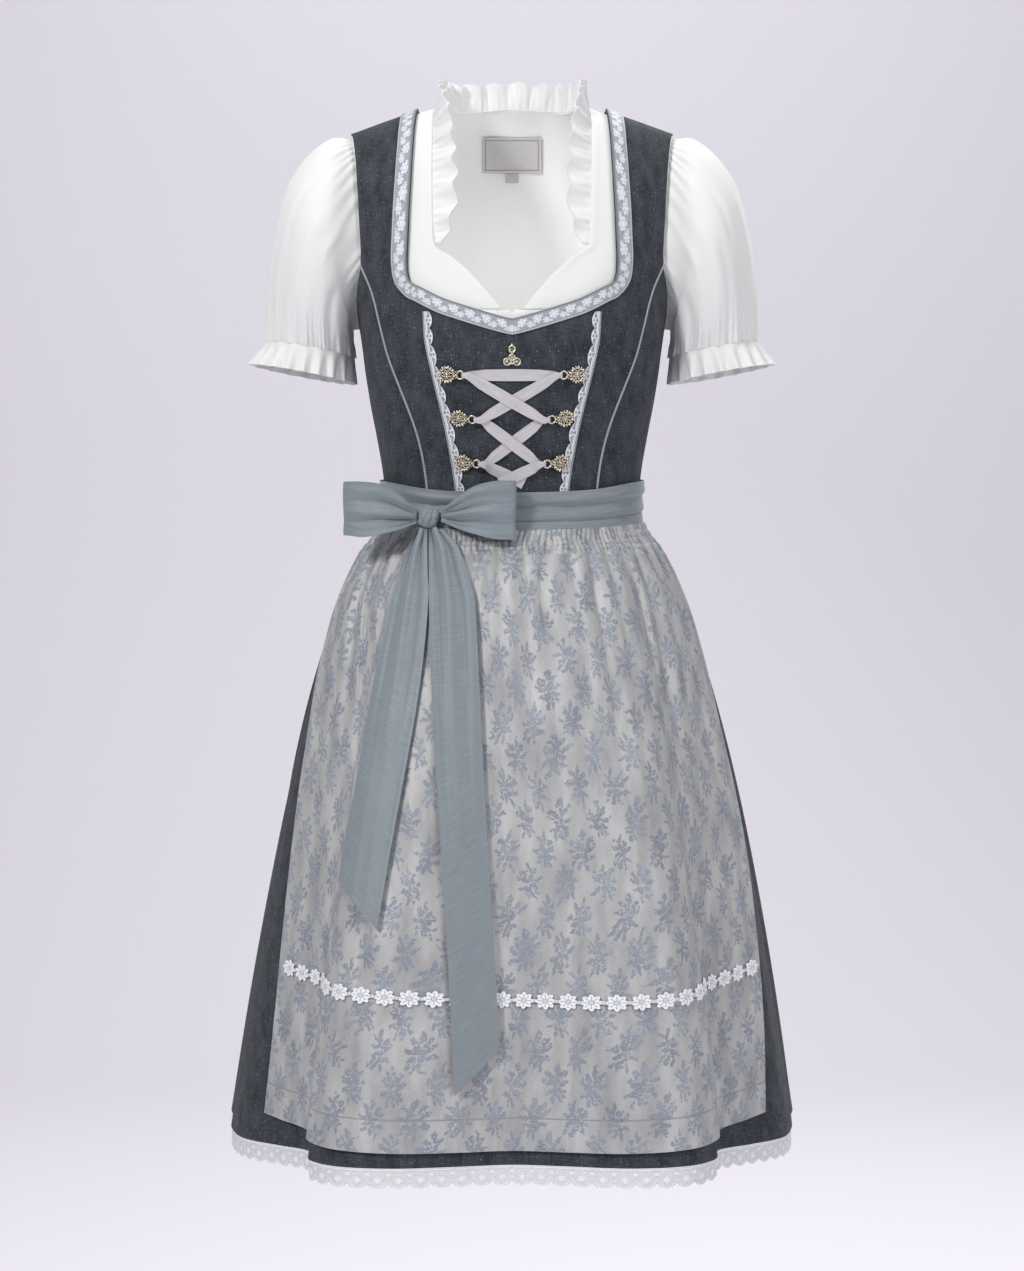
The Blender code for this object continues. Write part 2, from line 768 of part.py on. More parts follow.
def sleeve_point(share, row):
    """A point of the sleeve, row 0 at the armhole seam and the last row at the gathered edge."""
    points = [sleeve_loop_point(share)] + [sleeve_ring_point(ring, share) for ring in SLEEVE_RINGS]
    return read_smooth(points, row)


def sleeve_pair(name, place, columns, rows, wall, material, edges):
    """The sleeve's piece on the viewer's right and its mirror image on the left."""

    def mirror_place(u, w):
        point = place(1 - u, w)
        return Vector((-point.x, point.y, point.z))

    drape(name + "_right", columns, rows, place, wall, material, tube=True, edges=edges)
    drape(name + "_left", columns, rows, mirror_place, wall, material, tube=True, edges=edges)


def sleeve_place(u, w):
    """Seen from outside with the armhole on top, u runs round the arm from the underarm over the back."""
    row = (1 - w) * len(SLEEVE_RINGS)
    share = 1 - u
    point = sleeve_point(share, row)
    middle = (sleeve_point(0, row) + sleeve_point(SLEEVE_TOP_SHARE, row)) / 2
    gather = (1 - w) ** 4 * SLEEVE_GATHER_DEPTH * math.cos(2 * math.pi * SLEEVE_GATHERS * u)
    return point + (point - middle).normalized() * gather


sleeve_pair("blouse_sleeve", sleeve_place, SLEEVE_SEGMENTS, len(SLEEVE_RINGS), BLOUSE_WALL, WHITE_COTTON, "b")

SLEEVE_FRILL_WAVES = 18
SLEEVE_FRILL_LENGTH = 27
SLEEVE_FRILL_FLARE = 12
SLEEVE_FRILL_WAVE = 4.0


def sleeve_frill_place(u, w):
    """The frill hangs from the gathered edge and waves in and out."""
    share = 1 - u
    ring = SLEEVE_RINGS[-1]
    edge = sleeve_ring_point(ring, share)
    middle = (sleeve_ring_point(ring, 0) + sleeve_ring_point(ring, SLEEVE_TOP_SHARE)) / 2
    outward = (edge - middle).normalized()
    slope = Vector((ring.top_across - ring.under_across, 0, ring.top_height - ring.under_height)).normalized()
    down = slope.cross(Vector((0, -1, 0)))
    if down.z > 0:
        down = -down
    drop = 1 - w
    wave = SLEEVE_FRILL_WAVE * math.cos(2 * math.pi * SLEEVE_FRILL_WAVES * u) * drop
    flare = SLEEVE_FRILL_FLARE * drop * (0.35 + 0.65 * max(outward.x, 0))
    return edge + down * (SLEEVE_FRILL_LENGTH * drop + 2 * SEAM_HALF_GAP) + outward * (flare + wave)


sleeve_pair(
    "sleeve_frill",
    sleeve_frill_place,
    SLEEVE_FRILL_WAVES * 2,
    1,
    BLOUSE_WALL,
    WHITE_COTTON,
    "",
)

# Neck frill, from the left corner of the neckline round the back to the right corner
NECK_FRILL_SEAM = (
    mirrored([SWEETHEART[-1]] + BLOUSE_NECK)
    + turned_back(BLOUSE_NECK_BACK)[1:]
    + BLOUSE_NECK_BACK[-2::-1]
    + ([SWEETHEART[-1]] + BLOUSE_NECK)[-2::-1]
)
NECK_FRILL_WAVES = 30
NECK_FRILL_WAVE = 3.6
NECK_FRILL_GAP = 1.1
NECK_FRILL_BACK_GAP = 1.6
NECK_FRILL_WIDTH = 24
NECK_FRILL_BACK_WIDTH = 28


def neck_frill_base(share):
    """The seam point of the frill and the way it stands: inwards at the front, upwards at the back."""
    place = share * (len(NECK_FRILL_SEAM) - 1)
    index = min(int(place), len(NECK_FRILL_SEAM) - 2)
    part = place - index
    start = on_figure(*NECK_FRILL_SEAM[index], BLOUSE_OUT)
    end = on_figure(*NECK_FRILL_SEAM[index + 1], BLOUSE_OUT)
    return start.lerp(end, part)


def neck_frill_place(u, w):
    share = u
    base = neck_frill_base(share)
    tangent = (neck_frill_base(min(share + 0.01, 1)) - neck_frill_base(max(share - 0.01, 0))).normalized()
    rise = math.sin(math.pi * share) ** 0.8
    front_way = Vector((-math.copysign(1, base.x), -0.25, 0.1)).normalized()
    up_way = Vector((-0.12 * math.copysign(1, base.x) * min(abs(base.x) / 40, 1), 0, 1)).normalized()
    stand = front_way.lerp(up_way, min(rise * 1.15, 1))
    stand = (stand - tangent * stand.dot(tangent)).normalized()
    aside = stand.cross(tangent)
    width = NECK_FRILL_WIDTH + (NECK_FRILL_BACK_WIDTH - NECK_FRILL_WIDTH) * rise
    wave = NECK_FRILL_WAVE * math.cos(2 * math.pi * NECK_FRILL_WAVES * share) * w
    gap = NECK_FRILL_GAP + NECK_FRILL_BACK_GAP * rise
    return base + stand * (gap + width * w) + aside * wave


drape("neck_frill", NECK_FRILL_WAVES * 2, 1, neck_frill_place, BLOUSE_WALL, WHITE_COTTON, edges="")

# Neck label and size tab, both bare, sewn inside the blouse's back
LABEL_WIDTH = 64
LABEL_HEIGHT = 38
LABEL_MIDDLE_HEIGHT = -27
SIZE_TAB_WIDTH = 14
SIZE_TAB_HEIGHT = 10
SIZE_TAB_GAP = 0.6
LABEL_WALL = 1.0
LABEL_GAP = 0.9
LEVEL_STEP = 0.001


def back_level_at(height):
    """The level of the figure's centre back at a height."""
    low, high = 0.0, float(WAIST_LEVEL)
    while high - low > LEVEL_STEP:
        middle = (low + high) / 2
        if figure_surface(180, middle).z > height:
            low = middle
        else:
            high = middle
    return low


def label_patch(name, width, low, high, columns, wall, material):
    """A small cloth patch on the inner face of the blouse's back, seen through the neck."""

    def place(u, w):
        level = back_level_at(low + (high - low) * w)
        angle = angle_of(abs(u - 0.5) * width, level, back=True)
        angle = angle if u > 0.5 else 360 - angle
        return on_figure(angle, level, BLOUSE_OUT - LABEL_GAP - wall)

    drape(name, columns, 2, place, wall, material, edges="")


label_patch(
    "neck_label",
    LABEL_WIDTH,
    LABEL_MIDDLE_HEIGHT - LABEL_HEIGHT / 2,
    LABEL_MIDDLE_HEIGHT + LABEL_HEIGHT / 2,
    4,
    LABEL_WALL,
    LABEL_CLOTH,
)
label_patch(
    "size_tab",
    SIZE_TAB_WIDTH,
    LABEL_MIDDLE_HEIGHT - LABEL_HEIGHT / 2 - SIZE_TAB_HEIGHT,
    LABEL_MIDDLE_HEIGHT - LABEL_HEIGHT / 2 - SIZE_TAB_GAP,
    2,
    LABEL_WALL,
    LABEL_CLOTH,
)

# Skirt
FOLD_ANGLES = [fold.angle for fold in SKIRT_FOLDS]
SIDE_LEFT = FOLD_ANGLES.index(-90)
SIDE_RIGHT = FOLD_ANGLES.index(90)
FRONT_ANGLES = FOLD_ANGLES[SIDE_LEFT:SIDE_RIGHT + 1]
BACK_RIGHT_ANGLES = FOLD_ANGLES[SIDE_RIGHT:FOLD_ANGLES.index(180) + 1]
BACK_LEFT_ANGLES = [angle + 360 for angle in FOLD_ANGLES[FOLD_ANGLES.index(-180):SIDE_LEFT + 1]]


def spread(angles, share):
    """An angle at an even share of the steps between the listed angles."""
    place = share * (len(angles) - 1)
    index = min(int(place + 1e-6), len(angles) - 2)
    return angles[index] + (angles[index + 1] - angles[index]) * (place - index)


def skirt_panel(name, angles):
    """One panel, with a column on each fold's crest, on each hollow and half way between them."""

    def place(u, w):
        return skirt_surface(spread(angles, u), (1 - w) * HEM_ROW)

    drape(name, 2 * (len(angles) - 1), HEM_ROW, place, DRESS_WALL, CHARCOAL_LINEN)


skirt_panel("skirt_front", FRONT_ANGLES)
skirt_panel("skirt_back_right", BACK_RIGHT_ANGLES)
skirt_panel("skirt_back_left", BACK_LEFT_ANGLES)

# Lace under the hem
HEM_LACE_PITCH_ANGLE = 3.6
HEM_LACE_TOP = HEM_HEIGHT - 0.7
HEM_LACE_BOTTOM = HEM_HEIGHT - 20
HEM_LACE_NOTCH = 5
HEM_LACE_OUT = 0.5


def hem_lace(name, start_angle, end_angle):
    """Pointed scallops, two steps each."""
    scallops = round((end_angle - start_angle) / HEM_LACE_PITCH_ANGLE)

    def place(u, w):
        angle = start_angle + (end_angle - start_angle) * u
        point = abs(math.sin(math.pi * scallops * u))
        bottom = HEM_LACE_BOTTOM + HEM_LACE_NOTCH * (1 - point)
        top = moved_out(skirt_surface, angle, HEM_ROW, HEM_LACE_OUT)
        top.z = HEM_LACE_TOP
        low = top.copy()
        low.z = bottom
        return low.lerp(top, w)

    drape(name, scallops * 2, 1, place, LACE_WALL, WHITE_LACE)


hem_lace("hem_lace_front", -90, 90)
hem_lace("hem_lace_back_right", 90, 180)
hem_lace("hem_lace_back_left", 180, 270)

# Apron
ApronEdge = namedtuple("ApronEdge", "height left_angle right_angle")
APRON_EDGES = (
    ApronEdge(-457, -79, 79),
    ApronEdge(-500, -80, 79),
    ApronEdge(-550, -74, 76),
    ApronEdge(-620, -68, 72),
    ApronEdge(-710, -64, 71),
    ApronEdge(-820, -61, 67),
    ApronEdge(-930, -59, 63),
    ApronEdge(-1030, -58, 59),
)
APRON_OUT = DRESS_WALL + 3.2
APRON_GATHERS = 20
APRON_GATHER_DEPTH = 2.0
APRON_HEM_RISE = 16
APRON_TOP = APRON_EDGES[0].height
APRON_BOTTOM = APRON_EDGES[-1].height
APRON_COLUMNS = 2 * APRON_GATHERS
APRON_ROW_SHARES = (0.0, 0.16, 0.32, 0.48, 0.62, 0.74, 0.84, 0.92, 0.97, 1.0)


def apron_angle(u, height):
    depths = [-edge.height for edge in APRON_EDGES]
    left = read_by_key(depths, [edge.left_angle for edge in APRON_EDGES], -height)
    right = read_by_key(depths, [edge.right_angle for edge in APRON_EDGES], -height)
    return left + (right - left) * u


def apron_point(u, height, out):
    """A point on the apron's form; gathers run down from the header and fade."""
    angle = apron_angle(u, height)
    share = (height - APRON_BOTTOM) / (APRON_TOP - APRON_BOTTOM)
    depth = APRON_GATHER_DEPTH * max(share, 0) ** 3
    gather = depth * math.cos(2 * math.pi * APRON_GATHERS * u)
    return on_skirt(angle, height, out + gather)


def apron_hem(u):
    return APRON_BOTTOM + APRON_HEM_RISE * abs(2 * u - 1) ** 3


def apron_place(u, w):
    w = read_smooth(APRON_ROW_SHARES, w * (len(APRON_ROW_SHARES) - 1))
    hem = apron_hem(u)
    return apron_point(u, hem + (APRON_TOP - hem) * w, APRON_OUT)


drape(
    "apron_panel",
    APRON_COLUMNS,
    len(APRON_ROW_SHARES) - 1,
    apron_place,
    APRON_WALL,
    SILVER_JACQUARD,
)

# Sash round the waist
SashEdge = namedtuple("SashEdge", "angle top bottom")
SASH_EDGES = (
    SashEdge(0, -393, -432),
    SashEdge(30, -390, -430),
    SashEdge(60, -382, -425),
    SashEdge(90, -377, -421),
    SashEdge(135, -373, -417),
    SashEdge(180, -371, -415),
)
SASH_OUT = DRESS_WALL + 2.9
SASH_FOLD = 0.5
SASH_ROWS = 4


def dress_outside(angle, height, out):
    """A point off the dress near the waist, on the bodice or on the skirt."""
    if height >= WAIST_HEIGHT:
        upper, lower = FIGURE[WAIST_LEVEL - 1], FIGURE[WAIST_LEVEL]
        level = WAIST_LEVEL - (height - lower.height) / (upper.height - lower.height)
        return moved_level(figure_surface, angle, min(level, WAIST_LEVEL - 0.03), out)
    return moved_level(skirt_surface, angle, max(skirt_row_at(height), 0.03), out)


def sash_edge(angle, edge):
    around = abs((angle + 180) % 360 - 180)
    angles = [row.angle for row in SASH_EDGES]
    return read_by_key(angles, [getattr(row, edge) for row in SASH_EDGES], around)


def sash_band(name, start_angle, end_angle, columns):
    def place(u, w):
        angle = start_angle + (end_angle - start_angle) * u
        bottom = sash_edge(angle, "bottom")
        height = bottom + (sash_edge(angle, "top") - bottom) * w
        fold = SASH_FOLD * (1 - math.cos(4 * math.pi * w)) / 2
        return dress_outside(angle, height, SASH_OUT + fold)

    drape(name, columns, SASH_ROWS, place, SASH_WALL, BLUE_GREY_TAFFETA)


sash_band("sash_front", -90, 90, 18)
sash_band("sash_back", 90, 270, 14)

# Shirred header of the apron, between the sash and the panel
HEADER_RIDGE = 1.0
HEADER_GAP = 0.6
HEADER_ROWS = 2


def header_place(u, w):
    """Upright tucks, raised by turns, held by the rows of shirring."""
    angle = apron_angle(u, APRON_TOP)
    top = sash_edge(angle, "bottom") - 2 * SEAM_HALF_GAP
    low = APRON_TOP + HEADER_GAP
    height = low + (top - low) * w
    tuck = HEADER_RIDGE * math.cos(2 * math.pi * APRON_GATHERS * u)
    top_out = SASH_OUT + 1.2
    out = APRON_OUT + (top_out - APRON_OUT) * w
    return dress_outside(angle, height, out + tuck * (1 - 0.6 * w))


drape("apron_header", APRON_COLUMNS, HEADER_ROWS, header_place, APRON_WALL, SILVER_JACQUARD)

# Flower braid across the apron
BRAID_MOTIFS = 27
BRAID_HEIGHT = 16
BRAID_NOTCH = 5
BraidPoint = namedtuple("BraidPoint", "share height")
BRAID_LINE = (
    BraidPoint(0.0, -868),
    BraidPoint(0.12, -877),
    BraidPoint(0.3, -884),
    BraidPoint(0.5, -888),
    BraidPoint(0.7, -888),
    BraidPoint(0.88, -880),
    BraidPoint(1.0, -869),
)
BRAID_INSET = 0.012
BRAID_GAP = 2.3


def braid_place(u, w):
    along = BRAID_INSET + (1 - 2 * BRAID_INSET) * u
    middle = read_by_key([row.share for row in BRAID_LINE], [row.height for row in BRAID_LINE], along)
    motif = abs(math.sin(math.pi * BRAID_MOTIFS * u))
    half = (BRAID_HEIGHT - BRAID_NOTCH * (1 - motif)) / 2
    height = middle + (2 * w - 1) * half
    column = min(int(along * APRON_COLUMNS), APRON_COLUMNS - 1)
    out = APRON_OUT + APRON_WALL + BRAID_GAP
    start = apron_point(column / APRON_COLUMNS, height, out)
    end = apron_point((column + 1) / APRON_COLUMNS, height, out)
    return start.lerp(end, along * APRON_COLUMNS - column)


drape("flower_braid", BRAID_MOTIFS * 2, 1, braid_place, LACE_WALL, WHITE_LACE, edges="")

# Bow: knot, two loops and two tails
KNOT_CENTRE = Vector((-84, -103.9, -418))
KNOT_SIZE = Vector((27, 22, 25))
KNOT_TILT = math.radians(20)


def knot(name):
    shape = bmesh.new()
    bmesh.ops.create_uvsphere(shape, u_segments=12, v_segments=7, radius=0.5)
    stretch = Matrix.Diagonal((*(KNOT_SIZE * MM), 1))
    turn = Matrix.Rotation(KNOT_TILT, 4, "Y")
    placed = Matrix.Translation(KNOT_CENTRE * MM) @ turn @ stretch
    bmesh.ops.transform(shape, matrix=placed, verts=shape.verts)
    mesh = bpy.data.meshes.new(name)
    shape.to_mesh(mesh)
    shape.free()
    return finish_object(name, mesh, BLUE_GREY_TAFFETA)


knot("bow_knot")

LoopRow = namedtuple("LoopRow", "across out middle half_height")
LEFT_LOOP = (
    LoopRow(-96.9, -107.4, -417, 7),
    LoopRow(-112, -115, -413, 17),
    LoopRow(-131, -117, -410, 25),
    LoopRow(-150, -111, -410, 28),
    LoopRow(-164, -103, -409, 27.5),
    LoopRow(-170, -95, -409, 27),
    LoopRow(-164, -89, -409, 26.5),
    LoopRow(-150, -87, -410, 26),
    LoopRow(-131, -88, -410, 23),
    LoopRow(-112, -93.5, -413, 15),
    LoopRow(-96.4, -99, -417, 6),
)
RIGHT_LOOP = (
    LoopRow(-70.8, -108.6, -416, 6),
    LoopRow(-56, -119, -414, 15),
    LoopRow(-38, -129, -411, 24),
    LoopRow(-18, -133, -411, 29),
    LoopRow(-3, -131.5, -411, 29.5),
    LoopRow(3, -127, -411, 29.5),
    LoopRow(-3, -122.5, -411, 29),
    LoopRow(-18, -120.5, -411, 27),
    LoopRow(-38, -117, -411, 21),
    LoopRow(-56, -111, -414, 13),
    LoopRow(-70.7, -104.3, -416, 5),
)
LOOP_STEPS = 16
LOOP_ROWS = 3
LOOP_CRUMPLES = 2
LOOP_CRUMPLE_DEPTH = 1.6


def bow_loop(name, table, flip):
    """A band folded round at its outer end; its crumples run out from the knot."""
    columns = [[row[index] for row in table] for index in range(4)]

    def place(u, w):
        share = 1 - u if flip else u
        place_on = share * (len(table) - 1)
        across, out, middle, half = (read_smooth(column, place_on) for column in columns)
        near_knot = abs(2 * share - 1)
        crumple = LOOP_CRUMPLE_DEPTH * math.cos(2 * math.pi * LOOP_CRUMPLES * w) * near_knot
        side = 1 if share < 0.5 else -0.5
        return Vector((across, out - crumple * side * (1 - near_knot**4), middle + (2 * w - 1) * half))

    drape(name, LOOP_STEPS, LOOP_ROWS, place, SASH_WALL, BLUE_GREY_TAFFETA, edges="")


bow_loop("bow_loop_left", LEFT_LOOP, True)
bow_loop("bow_loop_right", RIGHT_LOOP, False)

TailRow = namedtuple("TailRow", "height left right")
LEFT_TAIL = (
    TailRow(-429.9, -96, -86),
    TailRow(-448, -105, -85.5),
    TailRow(-475, -114, -84.5),
    TailRow(-501, -122, -83.5),
    TailRow(-550, -131, -87),
    TailRow(-602, -141, -93.5),
    TailRow(-668, -151, -104.5),
    TailRow(-734, -163, -116),
    TailRow(-777, -170, -123.5),
)
LEFT_TAIL_TIP = 43
RIGHT_TAIL = (
    TailRow(-429.9, -84, -71),
    TailRow(-448, -84, -54),
    TailRow(-475, -83.5, -45),
    TailRow(-501, -83, -37),
    TailRow(-598, -79, -31.5),
    TailRow(-711, -71.5, -25.5),
    TailRow(-845, -62.5, -17.3),
    TailRow(-934, -57.5, -12.4),
)
RIGHT_TAIL_TIP = 42
TAIL_OUT = APRON_OUT + APRON_WALL + APRON_GATHER_DEPTH + 2.8
TAIL_COLUMNS = 4
TAIL_ROWS = 14
TAIL_PLEATS = 2
TAIL_PLEAT_DEPTH = 1.8
TAIL_KNOT_RISE = 5
TAIL_KNOT_REACH = 70


TAIL_SCAN = [-75 + 3 * step for step in range(31)]


def front_depth_at(across, height, out):
    """The foremost depth, at a distance from the centre, of the skirt's form moved out."""
    line = [on_skirt(angle, height, out) for angle in TAIL_SCAN]
    found = []
    for start, end in zip(line, line[1:]):
        if min(start.x, end.x) <= across <= max(start.x, end.x) and start.x != end.x:
            found.append(start.y + (end.y - start.y) * (across - start.x) / (end.x - start.x))
    return min(found)


def sash_tail(name, table, tip, tip_side):
    """A band that hangs from the knot over the apron; its end is cut on a slant."""
    heights = [-row.height for row in table]
    lefts = [row.left for row in table]
    rights = [row.right for row in table]
    top, bottom = table[0].height, table[-1].height

    def place(u, w):
        slant = (1 - u) if tip_side == "left" else u
        low = bottom - tip * slant
        height = low + (top - low) * w
        key = min(-height, heights[-1])
        left = read_by_key(heights, lefts, key)
        right = read_by_key(heights, rights, key)
        beyond = max(-height - heights[-1], 0)
        run = (lefts[-1] - lefts[-2]) / (heights[-1] - heights[-2])
        across = left + (right - left) * u + run * beyond
        fade = max(w - 0.45, 0) / 0.55
        pleat = TAIL_PLEAT_DEPTH * math.cos(2 * math.pi * TAIL_PLEATS * u + 1) * fade
        near_knot = max(1 - (top - height) / TAIL_KNOT_REACH, 0)
        out = TAIL_OUT + pleat + near_knot**2 * TAIL_KNOT_RISE
        return Vector((across, front_depth_at(across, height, out), height))

    drape(name, TAIL_COLUMNS, TAIL_ROWS, place, SASH_WALL, BLUE_GREY_TAFFETA, edges="")


sash_tail("sash_tail_left", LEFT_TAIL, LEFT_TAIL_TIP, "right")
sash_tail("sash_tail_right", RIGHT_TAIL, RIGHT_TAIL_TIP, "left")

# Lacing hooks
HookSeat = namedtuple("HookSeat", "across level lift")
HOOK_SEATS = (HookSeat(64, 8.33, 2.5), HookSeat(53, 9.54, 1.4), HookSeat(48.5, 10.77, 2.9))
ROSETTE_RADIUS = 8.6
ROSETTE_PETALS = 8
ROSETTE_SCALLOP = 0.9
EYE_MIDDLE = 14.6
EYE_RADIUS = 4.9
EYE_HOLE_LENGTH = 5.0
EYE_HOLE_HALF_HEIGHT = 2.9
HOOK_THICKNESS = 1.8
HOOK_TILT = math.radians(4)


def closed_spline(curve, points):
    spline = curve.splines.new("POLY")
    spline.points.add(len(points) - 1)
    for target, (x, y) in zip(spline.points, points):
        target.co = (x * MM, y * MM, 0, 1)
    spline.use_cyclic_u = True


def plate(name, outlines, thickness, matrix, material):
    """A flat outline with its holes, as thick as asked."""
    curve = bpy.data.curves.new(name, "CURVE")
    curve.dimensions = "2D"
    curve.fill_mode = "BOTH"
    curve.extrude = thickness * MM / 2
    for points in outlines:
        closed_spline(curve, points)
    made = bpy.data.objects.new(name, curve)
    made.matrix_world = matrix
    made.data.materials.append(material)
    PARTS.objects.link(made)
    return made


def rosette_with_eye():
    """A petalled disc that runs into a round eye, along +X."""
    outline = []
    steps = ROSETTE_PETALS * 2
    for step in range(steps):
        turn = 2 * math.pi * step / steps
        if abs(math.sin(turn)) < 0.2 and math.cos(turn) > 0:
            continue
        radius = ROSETTE_RADIUS - ROSETTE_SCALLOP * (step % 2)
        outline.append((turn, radius * math.cos(turn), radius * math.sin(turn)))
    body = [(x, y) for turn, x, y in outline]
    eye = []
    eye_steps = 8
    for step in range(eye_steps + 1):
        turn = math.radians(-135 + 270 * step / eye_steps)
        eye.append((EYE_MIDDLE + EYE_RADIUS * math.cos(turn), EYE_RADIUS * math.sin(turn)))
    first_upper = [point for point in body if point[1] > 0 and point[0] > 0]
    upper = body[body.index(first_upper[0]):]
    return eye + upper


HOOK_HOLE = (
    (EYE_MIDDLE - EYE_HOLE_LENGTH / 2, -EYE_HOLE_HALF_HEIGHT * 0.6),
    (EYE_MIDDLE - EYE_HOLE_LENGTH / 4, -EYE_HOLE_HALF_HEIGHT),
    (EYE_MIDDLE + EYE_HOLE_LENGTH / 2, -EYE_HOLE_HALF_HEIGHT),
    (EYE_MIDDLE + EYE_HOLE_LENGTH / 2, EYE_HOLE_HALF_HEIGHT),
    (EYE_MIDDLE - EYE_HOLE_LENGTH / 4, EYE_HOLE_HALF_HEIGHT),
    (EYE_MIDDLE - EYE_HOLE_LENGTH / 2, EYE_HOLE_HALF_HEIGHT * 0.6),
)


def seat_matrix(angle, level, out, towards_centre, tilt):
    """A frame on the bodice: X towards the centre front, Z out of the cloth."""
    origin = on_figure(angle, level, out)
    normal = (on_figure(angle, level, out + 1) - origin).normalized()
    way = Vector((towards_centre, 0, 0))
    x_axis = (way - normal * way.dot(normal)).normalized()
    y_axis = normal.cross(x_axis)
    frame = Matrix((x_axis, y_axis, normal)).transposed().to_4x4()
    frame.translation = origin * MM
    return frame @ Matrix.Rotation(-tilt, 4, "Y")


HOOK_FRAMES = {}
for row_index, seat in enumerate(HOOK_SEATS):
    for side_name, sign in (("left", -1), ("right", 1)):
        seat_angle = sign * angle_of(seat.across, seat.level)
        seat_out = DRESS_WALL + seat.lift + HOOK_THICKNESS / 2
        hook_frame = seat_matrix(seat_angle, seat.level, seat_out, -sign, HOOK_TILT)
        HOOK_FRAMES[side_name, row_index] = hook_frame
        plate(
            f"lacing_hook_{side_name}_{row_index + 1}",
            [rosette_with_eye(), HOOK_HOLE],
            HOOK_THICKNESS,
            hook_frame,
            ANTIQUE_SILVER,
        )

# Pendant on the zip's slider, its foot behind the top lacing
PENDANT_LEVEL = 7.83
PENDANT_OUTLINE = (
    (-9, -11),
    (9, -11),
    (8, -5),
    (4.5, -1),
    (5, 4),
    (3.5, 8.5),
    (0, 11.5),
    (-3.5, 8.5),
    (-5, 4),
    (-4.5, -1),
    (-8, -5),
)
PENDANT_HOLE = ((-2.2, 3.2), (2.2, 3.2), (2.2, 6.4), (0, 8), (-2.2, 6.4))
PENDANT_THICKNESS = 1.6
PENDANT_FRAME = seat_matrix(0, PENDANT_LEVEL, DRESS_WALL + CLEARANCE + PENDANT_THICKNESS / 2, 1, 0)
plate("zip_pendant", [PENDANT_OUTLINE, PENDANT_HOLE], PENDANT_THICKNESS, PENDANT_FRAME, ANTIQUE_SILVER)

# Lacing ribbon: one band through all six eyes
RIBBON_WALL = 0.7
RIBBON_HALF_WIDTH = 6.0
RIBBON_EYE_HALF_WIDTH = 2.2
RIBBON_TAPER = 1.6
STRETCH_SHARES = (0.18, 0.38, 0.5, 0.62, 0.82)
BAR_MIDDLE = EYE_MIDDLE + EYE_HOLE_LENGTH / 2 + (EYE_RADIUS - EYE_HOLE_LENGTH / 2) / 2
RIBBON_BEND = HOOK_THICKNESS / 2 + 2 * CLEARANCE + RIBBON_WALL / 2
HOLE_PLACE = EYE_MIDDLE + EYE_HOLE_LENGTH / 2 - 2 * CLEARANCE - RIBBON_WALL / 2
BEND_ROUND = 0.35
LacingStop = namedtuple("LacingStop", "side row enters")
LACING_STOPS = (
    LacingStop("left", 2, "over"),
    LacingStop("right", 1, "under"),
    LacingStop("left", 0, "over"),
    LacingStop("right", 0, "under"),
    LacingStop("left", 1, "over"),
    LacingStop("right", 2, "under"),
)
UNDER_OUT = 3.6
OVER_OUT = 5.3
LACING_END_LEVEL = 11.38
LACING_END_ACROSS = 12
LacingPoint = namedtuple("LacingPoint", "place half_width side")


def eye_points(stop):
    """The band round the inner bar of an eye, in the order in which it runs."""
    frame = HOOK_FRAMES[stop.side, stop.row]
    local = (
        (BAR_MIDDLE + 4.5, RIBBON_BEND, RIBBON_EYE_HALF_WIDTH + 1.6),
        (BAR_MIDDLE + 1.4, RIBBON_BEND, RIBBON_EYE_HALF_WIDTH),
        (HOLE_PLACE + BEND_ROUND, RIBBON_BEND, RIBBON_EYE_HALF_WIDTH),
        (HOLE_PLACE, 0, RIBBON_EYE_HALF_WIDTH),
        (HOLE_PLACE + BEND_ROUND, -RIBBON_BEND, RIBBON_EYE_HALF_WIDTH),
        (BAR_MIDDLE + 1.4, -RIBBON_BEND, RIBBON_EYE_HALF_WIDTH),
        (BAR_MIDDLE + 4.5, -RIBBON_BEND, RIBBON_EYE_HALF_WIDTH + 1.6),
    )
    if stop.enters == "under":
        local = local[::-1]
    side = Vector(frame.col[1][:3]).normalized()
    side = side if side.z > 0 else -side
    return [LacingPoint(frame @ Vector((x * MM, 0, z * MM)) / MM, half, side) for x, z, half in local]


def bodice_point(across, level, out):
    return on_figure(math.copysign(angle_of(abs(across), level), across), level, out)


def level_of_point(point):
    """The level of the bodice's front at the height of a point."""
    level = 7.0
    while figure_surface(0, level).z > point.z:
        level += 0.02
    return level


def band_side(run, across, level):
    """Across the band and along the cloth under it."""
    normal = bodice_point(across, level, 1) - bodice_point(across, level, 0)
    side = run.cross(normal).normalized()
    return side if side.z > 0 else -side


def stretch_points(start, end, out):
    """The flat run between two eyes, standing off the bodice by out in its middle."""
    run = []
    for share in STRETCH_SHARES:
        middle = start.lerp(end, share)
        level = level_of_point(middle)
        near_end = abs(2 * share - 1)
        aim = bodice_point(middle.x, level, out)
        place = Vector((middle.x, aim.y + (middle.y - aim.y) * near_end**3, middle.z))
        half_width = RIBBON_HALF_WIDTH - RIBBON_TAPER * near_end**3
        run.append(LacingPoint(place, half_width, band_side(end - start, middle.x, level)))
    return run


